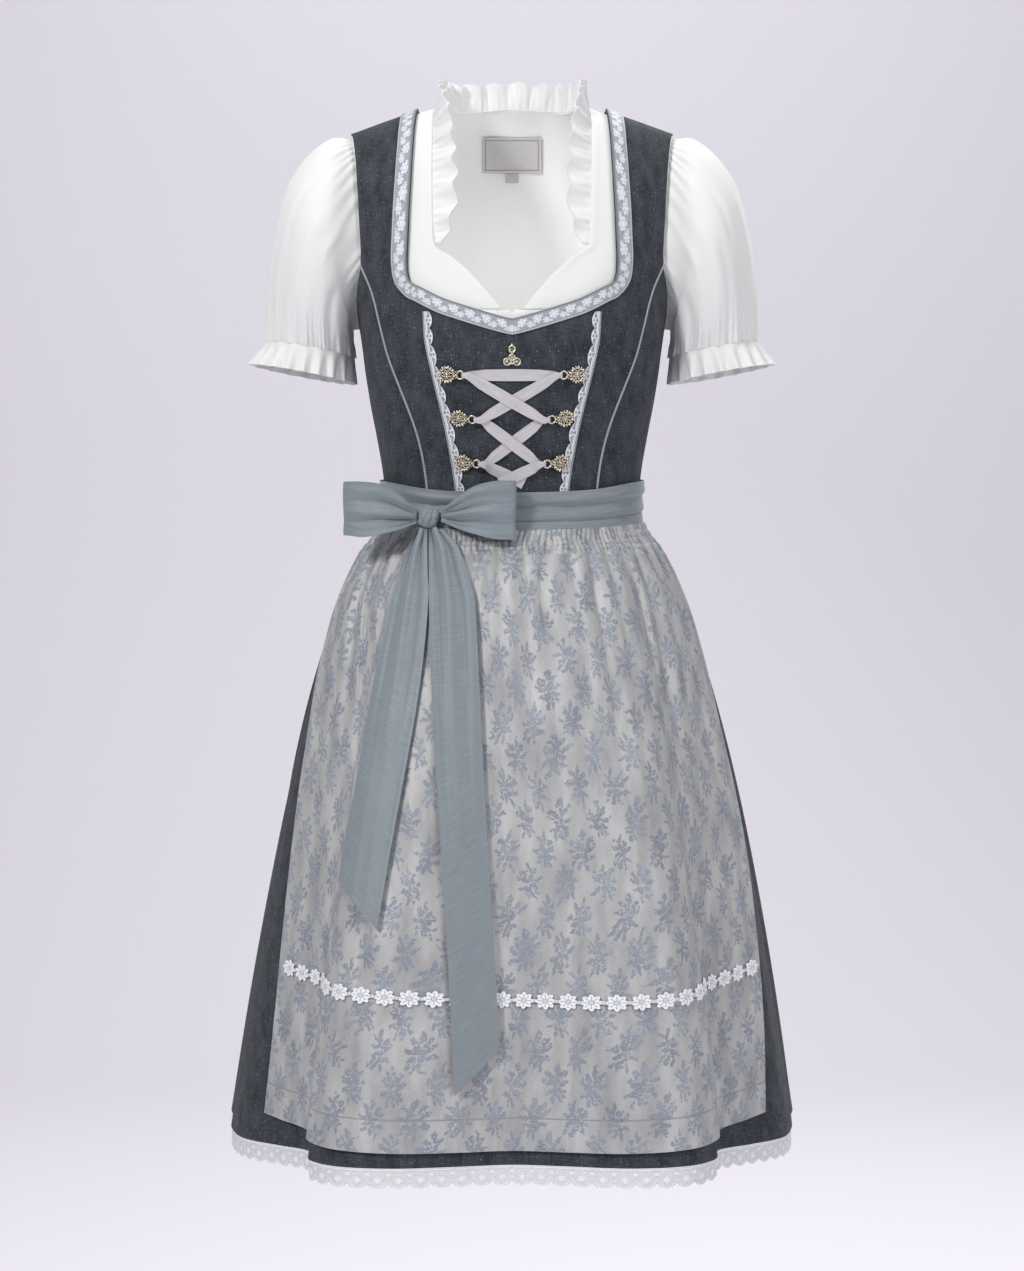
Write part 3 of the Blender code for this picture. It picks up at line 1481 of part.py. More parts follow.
def lacing_path():
    """All points of the band from one end at the sash to the other."""
    start = bodice_point(LACING_END_ACROSS, LACING_END_LEVEL, UNDER_OUT)
    finish = bodice_point(-LACING_END_ACROSS, LACING_END_LEVEL, OVER_OUT)
    eyes = [eye_points(stop) for stop in LACING_STOPS]
    first, last = eyes[0][0].place, eyes[-1][-1].place
    start_side = band_side(first - start, start.x, LACING_END_LEVEL)
    finish_side = band_side(finish - last, finish.x, LACING_END_LEVEL)
    path = [LacingPoint(start, RIBBON_HALF_WIDTH, start_side)]
    path += stretch_points(start, first, UNDER_OUT)
    outs = (UNDER_OUT, OVER_OUT, OVER_OUT - 1.0, UNDER_OUT, OVER_OUT)
    for index, eye in enumerate(eyes):
        path += eye
        if index + 1 < len(eyes):
            path += stretch_points(eye[-1].place, eyes[index + 1][0].place, outs[index])
    path += stretch_points(last, finish, OVER_OUT)
    path.append(LacingPoint(finish, RIBBON_HALF_WIDTH, finish_side))
    return path


LACING = lacing_path()


def lacing_place(u, w):
    here = LACING[round(w * (len(LACING) - 1))]
    return here.place + here.side * here.half_width * (2 * u - 1)


drape("lacing_ribbon", 1, len(LACING) - 1, lacing_place, RIBBON_WALL, SATIN_LACING, edges="", centred=True)
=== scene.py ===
"""Dirndl: the finished cloth, lace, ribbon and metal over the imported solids."""
import json
import math
from collections import namedtuple

import bmesh
import bpy
from mathutils import Matrix, Vector, noise

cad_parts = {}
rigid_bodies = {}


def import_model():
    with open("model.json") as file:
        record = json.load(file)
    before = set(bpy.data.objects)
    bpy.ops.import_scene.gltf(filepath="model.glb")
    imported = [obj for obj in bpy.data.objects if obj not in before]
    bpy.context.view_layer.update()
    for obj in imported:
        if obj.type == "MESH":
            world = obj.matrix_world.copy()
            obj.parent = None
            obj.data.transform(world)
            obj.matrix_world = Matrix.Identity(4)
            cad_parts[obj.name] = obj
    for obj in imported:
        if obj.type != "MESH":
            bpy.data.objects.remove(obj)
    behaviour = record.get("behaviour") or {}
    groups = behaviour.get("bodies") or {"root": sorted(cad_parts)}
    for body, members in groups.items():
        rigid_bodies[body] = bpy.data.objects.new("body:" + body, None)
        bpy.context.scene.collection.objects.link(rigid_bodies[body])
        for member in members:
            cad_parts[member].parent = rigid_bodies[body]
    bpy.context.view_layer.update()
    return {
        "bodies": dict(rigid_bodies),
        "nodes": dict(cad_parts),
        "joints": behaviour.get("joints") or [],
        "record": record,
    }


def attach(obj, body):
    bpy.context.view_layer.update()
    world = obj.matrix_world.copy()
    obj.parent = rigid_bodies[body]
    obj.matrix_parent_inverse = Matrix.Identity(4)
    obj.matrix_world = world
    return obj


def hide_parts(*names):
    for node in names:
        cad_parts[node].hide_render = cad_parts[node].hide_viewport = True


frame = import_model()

# The dress bodice: charcoal linen-look cloth cut in ten panels, sewn edge to edge and laid on the figure.
# The figure is never seen; its levels run from the shoulder ridge (0) down to the waist seam (12).
MM = 0.001
SEAM_HALF_GAP = 0.002
CLEARANCE = 0.35
DRESS_WALL = 2.0
FigureLevel = namedtuple("FigureLevel", "height half_width front back")
SkirtLevel = namedtuple("SkirtLevel", "height half_width front back fold_share")

# From the shoulder ridge (level 0) to the waist seam (level 12)
FIGURE = [
    FigureLevel(*row)
    for row in (
        (0, 188, 0, 0), (-3, 188, 20, 26), (-12, 187, 40, 46), (-32, 185, 62, 62), (-65, 182, 83, 73),
        (-110, 176, 102, 81), (-165, 167, 120, 88), (-222, 157, 133, 93), (-262, 151.5, 133, 92),
        (-298, 146, 126, 89), (-334, 139, 115, 85), (-370, 133, 105, 81), (-405, 129.5, 100, 79),
    )
]
FIGURE_HEIGHTS, FIGURE_HALF_WIDTHS, FIGURE_FRONTS, FIGURE_BACKS = zip(*FIGURE)
FIGURE_ROUNDNESS = 2.4
SHOULDER_RISE = 44
SHOULDER_SLOPE = 0.36
SHOULDER_REACH = 222
NAPE_ROUND = 26
WAIST_LEVEL = 12
WAIST_HEIGHT = FIGURE[WAIST_LEVEL].height

# From the waist seam to the hem
WAIST_SEAM_GAP = 0.7
SKIRT = [
    SkirtLevel(*row)
    for row in (
        (WAIST_HEIGHT - WAIST_SEAM_GAP, 129.5, 100, 79, 0.0), (-423, 131.5, 101.5, 82, 0.0),
        (-440, 141.5, 110, 92, 0.02), (-461, 156, 123, 107, 0.05), (-500, 174.5, 139, 127, 0.12),
        (-550, 192.5, 154, 147, 0.22), (-620, 212.5, 172, 169, 0.36), (-710, 233.5, 191, 191, 0.52),
        (-820, 255, 212, 213, 0.70), (-930, 274, 231, 233, 0.86), (-1044, 291.5, 248, 252, 1.0),
    )
]
SKIRT_HEIGHTS, SKIRT_HALF_WIDTHS, SKIRT_FRONTS, SKIRT_BACKS, SKIRT_FOLD_SHARES = zip(*SKIRT)
SKIRT_DROPS = [-height for height in SKIRT_HEIGHTS]
HEM_ROW = len(SKIRT) - 1
HEM_HEIGHT = SKIRT[HEM_ROW].height
WAIST_ROUNDNESS = 2.4
HEM_ROUNDNESS = 2.05

# The angle round the figure, and how far the folds push the hem out there
SKIRT_FOLDS = (
    (-193, -9), (-180, 11), (-167, -8), (-154, 12), (-141, -10), (-128, 13), (-115, -9), (-102, 9), (-90, -2),
    (-76, 2), (-64, 5), (-53, -6), (-44, -8), (-38, 24), (-31, 36), (-21, 26), (-11, 5), (0, -10), (11, 3),
    (22, 27), (32, 35), (39, 20), (45, -9), (54, -5), (65, 6), (77, 1), (90, -2), (103, 10), (116, -9),
    (129, 12), (142, -11), (155, 12), (167, -9), (180, 11), (193, -8),
)
FOLD_ANGLES, FOLD_PUSHES = zip(*SKIRT_FOLDS)


def cubic(before, start, end, after, share):
    """A smooth value between start and end, led by its two neighbours."""
    return 0.5 * (
        2 * start
        + (end - before) * share
        + (2 * before - 5 * start + 4 * end - after) * share**2
        + (3 * start - before - 3 * end + after) * share**3
    )


def read_smooth(values, place):
    """The smooth value of an evenly indexed list at a fractional place."""
    index = min(max(int(math.floor(place)), 0), len(values) - 2)
    start, end = values[index], values[index + 1]
    before = values[index - 1] if index > 0 else 2 * start - end
    after = values[index + 2] if index + 2 < len(values) else 2 * end - start
    return cubic(before, start, end, after, place - index)


def read_by_key(keys, values, key):
    """The smooth value at a key of a rising list of keys."""
    key = min(max(key, keys[0]), keys[-1])
    index = 0
    while index < len(keys) - 2 and key > keys[index + 1]:
        index += 1
    share = (key - keys[index]) / (keys[index + 1] - keys[index])
    return read_smooth(values, index + share)


def signed_power(value, power):
    return math.copysign(abs(value) ** power, value)


def figure_row(level):
    """Height, half width, front and back depth at a level; above the ridge it runs down the other side."""
    shoulder = abs(level)
    height = read_smooth(FIGURE_HEIGHTS, shoulder)
    if shoulder < 1:
        height = FIGURE[1].height * shoulder**2
    half_width = read_smooth(FIGURE_HALF_WIDTHS, shoulder)
    front = read_smooth(FIGURE_FRONTS, shoulder)
    back = read_smooth(FIGURE_BACKS, shoulder)
    if level < 0:
        front, back = -back, -front
    return height, half_width, front, back


def shoulder_lift(across, height):
    """The rise of the shoulder line towards the neck, faded out down to the bust."""
    share = min(max(1 + height / SHOULDER_REACH, 0), 1)
    rise = SHOULDER_RISE - SHOULDER_SLOPE * math.hypot(across, NAPE_ROUND)
    return rise * share * share * (3 - 2 * share)


def figure_surface(angle, level):
    height, half_width, front, back = figure_row(level)
    turn = math.radians(angle)
    power = 2 / FIGURE_ROUNDNESS
    across = half_width * signed_power(math.sin(turn), power)
    depth = front if math.cos(turn) > 0 else back
    forward = -depth * signed_power(math.cos(turn), power)
    return Vector((across, forward, height + shoulder_lift(across, height)))


def skirt_fold(angle):
    angle = (angle + 180) % 360 - 180
    return read_by_key(FOLD_ANGLES, FOLD_PUSHES, angle)


def skirt_surface(angle, row):
    """A point of the skirt's inner face at a fractional row of the skirt table."""
    height = read_smooth(SKIRT_HEIGHTS, row)
    half_width = read_smooth(SKIRT_HALF_WIDTHS, row)
    front = read_smooth(SKIRT_FRONTS, row)
    back = read_smooth(SKIRT_BACKS, row)
    fold_share = read_smooth(SKIRT_FOLD_SHARES, row)
    roundness = WAIST_ROUNDNESS + (HEM_ROUNDNESS - WAIST_ROUNDNESS) * min(row / 4, 1)
    turn = math.radians(angle)
    power = 2 / roundness
    across = half_width * signed_power(math.sin(turn), power)
    depth = front if math.cos(turn) > 0 else back
    place = Vector((across, -depth * signed_power(math.cos(turn), power), height))
    outward = Vector((place.x / half_width**2, place.y / depth**2, 0)).normalized()
    return place + outward * skirt_fold(angle) * fold_share


def skirt_row_at(height):
    """The fractional row of the skirt table at a height."""
    return read_by_key(SKIRT_DROPS, range(len(SKIRT)), -height)


def moved_out(surface, angle, place, out):
    """A point of a surface moved out along its normal."""
    step = 0.02
    along = surface(angle + step, place) - surface(angle - step, place)
    down = surface(angle, place + step) - surface(angle, place - step)
    normal = down.cross(along).normalized()
    return surface(angle, place) + normal * out


def moved_level(surface, angle, place, out):
    """A point moved straight out at its own height until it stands off the surface by a distance."""
    start = surface(angle, place)
    normal = moved_out(surface, angle, place, 1) - start
    level_part = Vector((normal.x, normal.y, 0))
    return start + level_part * (out / level_part.length_squared)


def per_degree_at(angle, level):
    """How far and which way a degree leads on the figure."""
    return figure_surface(angle + 0.5, level) - figure_surface(angle - 0.5, level)


def on_figure(angle, level, out=0.0):
    return moved_out(figure_surface, angle, level, out)


def on_skirt(angle, height, out=0.0):
    return moved_level(skirt_surface, angle, skirt_row_at(height), out)


def angle_of(across, level, back=False):
    """The angle at which the figure is as wide as asked; wider than the figure means its side seam."""
    half_width = figure_row(level)[1]
    share = min(across / half_width, 1)
    angle = math.degrees(math.asin(share ** (FIGURE_ROUNDNESS / 2)))
    return 180 - angle if back else angle


def seam(points, back=False):
    """A seam as (angle, level) pairs, from its distances from the centre and its levels."""
    return [(angle_of(across, level, back), level) for across, level in points]


def mirrored(curve):
    return [(-angle, level) for angle, level in curve]


def at_share(curve, share):
    """A point of an (angle, level) curve; whole steps of the curve fall on its own points."""
    place = share * (len(curve) - 1)
    return (
        read_smooth([point[0] for point in curve], place),
        read_smooth([point[1] for point in curve], place),
    )


def bell(value, middle, width):
    """1 at the middle, fading to nothing over about two widths."""
    return math.exp(-(((value - middle) / width) ** 2))


def wander(x, y, seed):
    """A soft uneven value between -1 and 1."""
    return noise.noise(Vector((x, y, seed)))


def grain(point, middle=0.0):
    """Where a point of worn cloth lay on its flat cut: round the body from a panel's middle, and up."""
    turn = math.atan2(point.x, -point.y) - math.radians(middle)
    turn = (turn + math.pi) % (2 * math.pi) - math.pi
    return turn * math.hypot(point.x, point.y) * MM, point.z * MM


SHARP_FROM = math.radians(50)


def settle(made, node):
    """Shades a piece softly and puts it in the place of its solid."""
    made.data.polygons.foreach_set("use_smooth", [True] * len(made.data.polygons))
    made.data.set_sharp_from_angle(angle=SHARP_FROM)
    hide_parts(node)
    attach(made, "root")
    return made


def baked(name, shape):
    """The mesh of a bmesh, which ends with it."""
    mesh = bpy.data.meshes.new(name)
    shape.to_mesh(mesh)
    shape.free()
    return mesh


def placed(name, data):
    """An object of the scene, at the origin and unturned."""
    made = bpy.data.objects.new(name, data)
    bpy.context.scene.collection.objects.link(made)
    return made


def with_wall(name, mesh, wall, offset):
    """The piece of a mesh, with a closed wall of cloth."""
    made = placed(name, mesh)
    shell = made.modifiers.new("wall", "SOLIDIFY")
    shell.thickness = wall * MM
    shell.offset = offset
    shell.use_rim = True
    closed = bpy.data.meshes.new_from_object(made.evaluated_get(bpy.context.evaluated_depsgraph_get()))
    made.modifiers.clear()
    made.data = closed
    bpy.data.meshes.remove(mesh)
    return made


def lay_cloth(
    node, columns, rows, place, wall, finish, slot_name, held="stretched", rests_on=(), trims=(),
    grain_at=None, relief=None, tube=False, edges="lrbt", offset=1, flat=None,
):
    """A piece of cloth of columns by rows, laid by place(u, w) and folded by relief(u, w) in millimetres.

    u runs to the right as seen from outside and w up. flat is the cut's width and length in metres where
    they are known; a width under 0 counts from the right, and a length of None is measured on the piece.
    """
    shape = bmesh.new()
    cloth_map = shape.loops.layers.uv.new("cloth")
    bmesh.ops.create_grid(shape, x_segments=columns, y_segments=rows, size=0.5)
    spots = {}
    nudge = 0.02
    for vertex in shape.verts:
        u = vertex.co.x + 0.5
        w = vertex.co.y + 0.5
        point = place(u, w)
        inward = Vector((0, 0, 0))
        if "l" in edges and u < 1e-4 and not tube:
            inward += (place(u + nudge, w) - point).normalized()
        if "r" in edges and u > 1 - 1e-4 and not tube:
            inward += (place(u - nudge, w) - point).normalized()
        if "b" in edges and w < 1e-4:
            inward += (place(u, w + nudge) - point).normalized()
        if "t" in edges and w > 1 - 1e-4:
            inward += (place(u, w - nudge) - point).normalized()
        spots[vertex] = (u, w, grain_at(point) if grain_at else None)
        vertex.co = (point + inward * SEAM_HALF_GAP) * MM
    size = measured(shape, spots, columns, rows)
    across, along = flat or size[:2]
    along = along or size[1]
    for face in shape.faces:
        for loop in face.loops:
            u, w, laid = spots[loop.vert]
            loop[cloth_map].uv = laid or ((u if across > 0 else u - 1) * across, w * along)
    if tube:
        bmesh.ops.remove_doubles(shape, verts=shape.verts, dist=1e-6)
    if relief:
        shape.normal_update()
        for vertex in shape.verts:
            u, w, _ = spots[vertex]
            vertex.co += vertex.normal * relief(u, w) * MM
        if not tube:
            size = measured(shape, spots, columns, rows)
    mesh = baked(node, shape)
    mesh.materials.append(finish)
    made = settle(with_wall("cloth_" + node, mesh, wall, offset), node)
    if held:
        width, length = (abs(flat[0]), flat[1] or size[1]) if flat else size[:2]
        min(size[2], width * length)
        ["cloth_" + trim for trim in trims]
    return made


def measured(shape, spots, columns, rows):
    """The width, length and area of laid cloth, in metres."""
    order = {(round(u * columns), round(w * rows)): vertex for vertex, (u, w, _) in spots.items()}
    widths = [
        sum((order[i + 1, j].co - order[i, j].co).length for i in range(columns)) for j in range(rows + 1)
    ]
    lengths = [
        sum((order[i, j + 1].co - order[i, j].co).length for j in range(rows)) for i in range(columns + 1)
    ]
    area = sum(face.calc_area() for face in shape.faces)
    return max(widths), max(lengths), min(area, max(widths) * max(lengths))


class Field:
    """A value that changes over a surface, worked out by Math nodes."""

    def __init__(self, tree, socket):
        self.tree = tree
        self.socket = socket

    def run(self, operation, *others):
        step = self.tree.nodes.new("ShaderNodeMath")
        step.operation = operation
        self.tree.links.new(self.socket, step.inputs[0])
        for index, other in enumerate(others, 1):
            if isinstance(other, Field):
                self.tree.links.new(other.socket, step.inputs[index])
            else:
                step.inputs[index].default_value = other
        return Field(self.tree, step.outputs[0])

    def __add__(self, other):
        return self.run("ADD", other)

    def __sub__(self, other):
        return self.run("SUBTRACT", other)

    def __mul__(self, other):
        return self.run("MULTIPLY", other)

    def __truediv__(self, other):
        return self.run("DIVIDE", other)

    def most(self, *others):
        """The highest of some fields."""
        for other in others:
            self = self.run("MAXIMUM", other)
        return self

    def swing(self):
        """A smooth wave between 0 and 1 whose phase is the field."""
        return self.run("SINE") * 0.5 + 0.5

    def near(self, middle, half, soft):
        """1 within half of a middle and 0 beyond, with a soft change between."""
        return (self - middle).run("ABSOLUTE").below(half, soft)

    def below(self, edge, soft):
        """1 under the edge and 0 over it, with a soft change between."""
        step = self.tree.nodes.new("ShaderNodeMapRange")
        step.interpolation_type = "SMOOTHSTEP"
        self.tree.links.new(self.socket, step.inputs["Value"])
        ends = {"From Min": edge - soft, "From Max": edge + soft, "To Min": 1.0, "To Max": 0.0}
        for name, other in ends.items():
            if isinstance(other, Field):
                self.tree.links.new(other.socket, step.inputs[name])
            else:
                step.inputs[name].default_value = other
        return Field(self.tree, step.outputs["Result"])

    def cell(self, pitch):
        """The distance from the middle of its repeat."""
        return (self / pitch).run("FRACT") * pitch - pitch / 2


def cloth_fields(tree):
    """The two directions of the flat cloth, in millimetres."""
    source = tree.nodes.new("ShaderNodeUVMap")
    source.uv_map = "cloth"
    parts = tree.nodes.new("ShaderNodeSeparateXYZ")
    tree.links.new(source.outputs["UV"], parts.inputs[0])
    return Field(tree, parts.outputs[0]) * 1000, Field(tree, parts.outputs[1]) * 1000


def length_of(x, y):
    return (x * x + y * y).run("SQRT")


def joined(x, y):
    step = x.tree.nodes.new("ShaderNodeCombineXYZ")
    x.tree.links.new(x.socket, step.inputs[0])
    x.tree.links.new(y.socket, step.inputs[1])
    return step.outputs[0]


def mottle(x, y, detail=2.0, roughness=0.5):
    """Noise about 0.5 whose grains are one unit of x by one unit of y."""
    step = x.tree.nodes.new("ShaderNodeTexNoise")
    step.inputs["Scale"].default_value = 1.0
    step.inputs["Detail"].default_value = detail
    step.inputs["Roughness"].default_value = roughness
    x.tree.links.new(joined(x, y), step.inputs["Vector"])
    return Field(x.tree, step.outputs[0])


def grains(x, y, feature):
    """Cells of one unit: the distance to a cell's middle or to its edge."""
    step = x.tree.nodes.new("ShaderNodeTexVoronoi")
    step.feature = feature
    step.inputs["Scale"].default_value = 1.0
    x.tree.links.new(joined(x, y), step.inputs["Vector"])
    return Field(x.tree, step.outputs["Distance"])


def new_group(name, inputs, outputs):
    group = bpy.data.node_groups.new(name, "ShaderNodeTree")
    for label in inputs:
        group.interface.new_socket(name=label, in_out="INPUT", socket_type="NodeSocketFloat")
    for label in outputs:
        group.interface.new_socket(name=label, in_out="OUTPUT", socket_type="NodeSocketFloat")
    into = group.nodes.new("NodeGroupInput")
    out = group.nodes.new("NodeGroupOutput")
    return group, [Field(group, into.outputs[label]) for label in inputs], out


def used(group, inputs, outputs):
    """The output fields of a node group for some input fields and values."""
    tree = inputs["Across"].tree
    use = tree.nodes.new("ShaderNodeGroup")
    use.node_tree = group
    for label, value in inputs.items():
        if isinstance(value, Field):
            tree.links.new(value.socket, use.inputs[label])
        else:
            use.inputs[label].default_value = value
    return [Field(tree, use.outputs[label]) for label in outputs]


def woven_threads():
    """Plain weave: threads over and under each other, uneven in thickness and shade."""
    group, (across, along, thread, slub), out = new_group(
        "woven_threads", ("Across", "Along", "Thread", "Slub"), ("Shade", "Height")
    )
    warp = (across / thread * math.pi).run("SINE")
    weft = (along / thread * math.pi).run("SINE")
    crossing = warp * weft * 0.5 + 0.5
    weft_slub = mottle(across / thread / 22, along / thread / 1.6, 3.0, 0.6) - 0.5
    warp_slub = mottle(across / thread / 1.6, along / thread / 26, 3.0, 0.6) - 0.5
    shade = (weft_slub + warp_slub) * slub + 0.5
    height = crossing * 0.6 + (weft_slub + warp_slub) * slub
    group.links.new(shade.socket, out.inputs["Shade"])
    group.links.new(height.socket, out.inputs["Height"])
    return group


WOVEN_THREADS = woven_threads()


def threads(across, along, thread, slub):
    """The weave of one cloth: its shade and height."""
    inputs = {"Across": across, "Along": along, "Thread": thread, "Slub": slub}
    return used(WOVEN_THREADS, inputs, ("Shade", "Height"))


def dyed(share, low, high):
    """A colour between two, by a field."""
    step = share.tree.nodes.new("ShaderNodeMix")
    step.data_type = "RGBA"
    share.tree.links.new(share.socket, step.inputs[0])
    for index, colour in ((6, low), (7, high)):
        if isinstance(colour, tuple):
            step.inputs[index].default_value = (*colour, 1.0)
        else:
            share.tree.links.new(colour, step.inputs[index])
    return step.outputs[2]


def new_finish(name, roughness, sheen=0.0, metallic=0.0, specular=0.5, anisotropic=0.0):
    """A Principled material and its tree, with the values that are the same all over."""
    finish = bpy.data.materials.new(name)
    finish.use_nodes = True
    tree = finish.node_tree
    shader = tree.nodes["Principled BSDF"]
    shader.inputs["Roughness"].default_value = roughness
    shader.inputs["Sheen Weight"].default_value = sheen
    shader.inputs["Sheen Roughness"].default_value = 0.5
    shader.inputs["Metallic"].default_value = metallic
    shader.inputs["Specular IOR Level"].default_value = specular
    shader.inputs["Anisotropic"].default_value = anisotropic
    return finish, tree, shader


def cloth_finish(name, roughness, **more):
    """A finish, its shader, and the two directions of the flat cloth in millimetres."""
    finish, tree, shader = new_finish(name, roughness, **more)
    return (finish, shader, *cloth_fields(tree))


def wire(shader, label, source):
    """Leads a field or a colour into a socket of the shader."""
    shader.id_data.links.new(source.socket if isinstance(source, Field) else source, shader.inputs[label])


def raised(shader, height, depth, strength=1.0):
    """Bump from a height field; depth is in millimetres."""
    tree = height.tree
    step = tree.nodes.new("ShaderNodeBump")
    step.inputs["Strength"].default_value = strength
    step.inputs["Distance"].default_value = depth * MM
    tree.links.new(height.socket, step.inputs["Height"])
    tree.links.new(step.outputs["Normal"], shader.inputs["Normal"])


LINEN_DARK = (0.014, 0.018, 0.023)
LINEN_LIGHT = (0.074, 0.084, 0.098)
LINEN_FLECK = (0.34, 0.36, 0.38)
LINEN_FLECK_FROM = 0.785


def charcoal_linen():
    """Coarse slubby weave with clouded shade and light flecks strewn over it."""
    finish, shader, across, along = cloth_finish("charcoal_linen", 0.9, sheen=0.06, specular=0.2)
    shade, height = threads(across, along, 0.55, 1.5)
    cloudy = mottle(across / 16, along / 26, 3.0) - 0.5
    ground = dyed(shade + cloudy * 1.3, LINEN_DARK, LINEN_LIGHT)
    fleck = mottle(across / 1.5, along / 1.9, 0.0).below(LINEN_FLECK_FROM, 0.035) * -1 + 1
    wire(shader, "Base Color", dyed(fleck * 0.75, ground, LINEN_FLECK))
    raised(shader, height, 0.35, 0.6)
    return finish


CHARCOAL_LINEN = charcoal_linen()


def panel(node, left, right, columns, out, wall, finish, slot_name, rows, **more):
    """A piece of cloth between two seams of as many points, both from the bottom up."""

    def place(u, w):
        left_angle, left_level = at_share(left, w)
        right_angle, right_level = at_share(right, w)
        angle = left_angle + (right_angle - left_angle) * u
        level = left_level + (right_level - left_level) * u
        return on_figure(angle, level, out)

    return lay_cloth(node, columns, rows, place, wall, finish, slot_name, **more)


def panel_pair(node, inner, outer, columns, out, wall, finish, slot_name, rows, **more):
    """The same panel on both sides, its inner seam towards the centre."""
    panel(node + "_right", inner, outer, columns, out, wall, finish, slot_name, rows, **more)
    left, right = mirrored(outer), mirrored(inner)
    panel(node + "_left", left, right, columns, out, wall, finish, slot_name, rows, **more)


# Bodice seams, from the waist up
LACE_SEAM = seam(
    ((55, 12), (57, 11.4), (62.5, 10.4), (70, 9.38), (78, 8.46), (86, 7.46), (88, 6.84), (90, 6.43))
)
NECK_FRONT = seam(
    (
        (98, 6.36), (103.5, 6.2), (105.5, 5.9), (104.5, 5.3), (102.8, 4.4), (101.4, 3.6), (100.2, 2.8),
        (99.2, 2.1), (98.4, 1.4), (97.6, 0.7), (97, 0),
    )
)
PRINCESS_SEAM = seam(
    (
        (84, 12), (87, 11.1), (93, 10.2), (102, 9.4), (113, 8.6), (124, 7.8), (132, 7.05), (141, 6.4),
        (153, 5.86),
    )
)
ARMHOLE_FRONT = seam(
    (
        (153.5, 5.6), (155, 5.1), (157, 4.4), (159, 3.7), (161, 3.0), (162.7, 2.4), (164.3, 1.8),
        (165.7, 1.2), (166.9, 0.6), (168, 0),
    )
)
SIDE_LEVELS = (12, 11.2, 10.4, 9.6, 8.9, 8.3, 7.8, 7.4, 7.05)
SIDE_SEAM = [(90, level) for level in SIDE_LEVELS]
CENTRE_LEVELS = (12, 11.4, 10.4, 9.4, 8.6, 7.85, 7.4, 6.96)
CENTRE_FRONT = [(0, level) for level in CENTRE_LEVELS]
BACK_PRINCESS = seam(
    ((66, 12), (70, 11.2), (77, 10.4), (87, 9.6), (99, 8.8), (112, 8.0), (125, 7.2), (137, 6.5), (146, 5.9)),
    back=True,
)
ARMHOLE_BACK = seam(
    ((147.5, 5.2), (150, 4.4), (154, 3.5), (158.5, 2.6), (162, 1.7), (165, 0.9), (168, 0)), back=True,
)
BACK_LEVELS = (12, 11, 10, 8.9, 7.8, 6.7, 5.7, 4.8)
CENTRE_BACK = [(180, level) for level in BACK_LEVELS]
NECK_BACK = seam(
    ((30, 4.72), (55, 4.5), (73, 4.05), (85, 3.3), (91.5, 2.4), (95, 1.5), (96.5, 0.75), (97, 0)), back=True,
)


def turned_back(curve):
    """The same curve on the far side of the centre back."""
    return [(360 - angle, level) for angle, level in curve]


# Satin piping in the lace seams and the princess seams: a thin cord covered in pale grey satin, caught in
# the seam so that half of it shows.
PIPING_WIDTH = 1.6
PIPING_WALL = 0.5
TRIM_OUT = DRESS_WALL + 0.5
PIPING_LIGHT = (0.36, 0.39, 0.43)
PIPING_DARK = (0.22, 0.24, 0.27)


def grey_piping():
    finish, shader, across, along = cloth_finish("grey_piping", 0.5, sheen=0.1)
    twist = (across * 2.2 + along * 2.4).swing()
    wire(shader, "Base Color", dyed(twist, PIPING_DARK, PIPING_LIGHT))
    raised(shader, twist, 0.25)
    return finish


GREY_PIPING = grey_piping()


def beside(curve, aside):
    """The curve moved sideways by a distance, to the right as seen from outside where it is positive."""
    moved = []
    for angle, level in curve:
        per_degree = per_degree_at(angle, level).length
        moved.append((angle + aside / per_degree, level))
    return moved


def piping(node, curve, steps):
    """Rounded by its relief, and thin at both edges."""
    left = beside(curve, -PIPING_WIDTH / 2)
    right = beside(curve, PIPING_WIDTH / 2)
    panel(
        node, left, right, 6, TRIM_OUT, PIPING_WALL, GREY_PIPING, "grey_piping", steps, held=None,
        relief=lambda u, w: 0.8 * math.sqrt(max(1 - (2 * u - 1) ** 2, 0)) - 0.3,
    )


# Piping and lace stop just under the neckline ribbon
PIPED_LACE_SEAM = LACE_SEAM[:-2] + seam(((88.2, 6.80),))
for name, curve, other_side, steps in (
    ("piping_lace_seam", PIPED_LACE_SEAM, mirrored, 60), ("piping_front", PRINCESS_SEAM, mirrored, 64),
    ("piping_back", BACK_PRINCESS, turned_back, 64),
):
    piping(name + "_right", curve, steps)
    piping(name + "_left", other_side(curve), steps)

# Scalloped cotton lace along the lace seams: eleven scallops a side, each with small eyelets, sewn under
# the piping with its points towards the centre front.
LACE_EDGING_SCALLOPS = 11
LACE_EDGING_WIDTH = 8.5
LACE_EDGING_NOTCH = 3.5
LACE_EDGING_OUT = DRESS_WALL + 1.1
LACE_WHITE = (0.80, 0.80, 0.84)
LACE_SHADE = (0.42, 0.42, 0.47)


def edging_lace():
    """Each scallop has a corded rim, a fan of ribs and a round eyelet; the rest is open net."""
    finish, shader, across, along = cloth_finish("edging_lace", 0.9, sheen=0.2, specular=0.2)
    beat = along.cell(EDGING_PITCH)
    far = length_of(beat, across - 6.2)
    rim = across.below(1.5, 0.3)
    eyelet = far.near(2.2, 0.55, 0.2)
    rays = ((across - 7.0).run("ARCTAN2", beat) * 7.0).run("SINE").below(-0.25, 0.3)
    fan = (rays * far.below(2.4, 0.2) * -1 + rays).most(0.0)
    root = across.near(7.9, 0.7, 0.2)
    net = grains(across / 1.1, along / 1.1, "DISTANCE_TO_EDGE").below(0.16, 0.06)
    cord = rim.most(eyelet, fan, root)
    cover = cord.most(net)
    strand = mottle(across / 0.5, along / 0.5, 1.0)
    wire(shader, "Alpha", cover)
    wire(shader, "Base Color", dyed(cord * (strand * 0.6 + 0.6), LACE_SHADE, LACE_WHITE))
    raised(shader, cord + strand * 0.5, 0.4)
    return finish


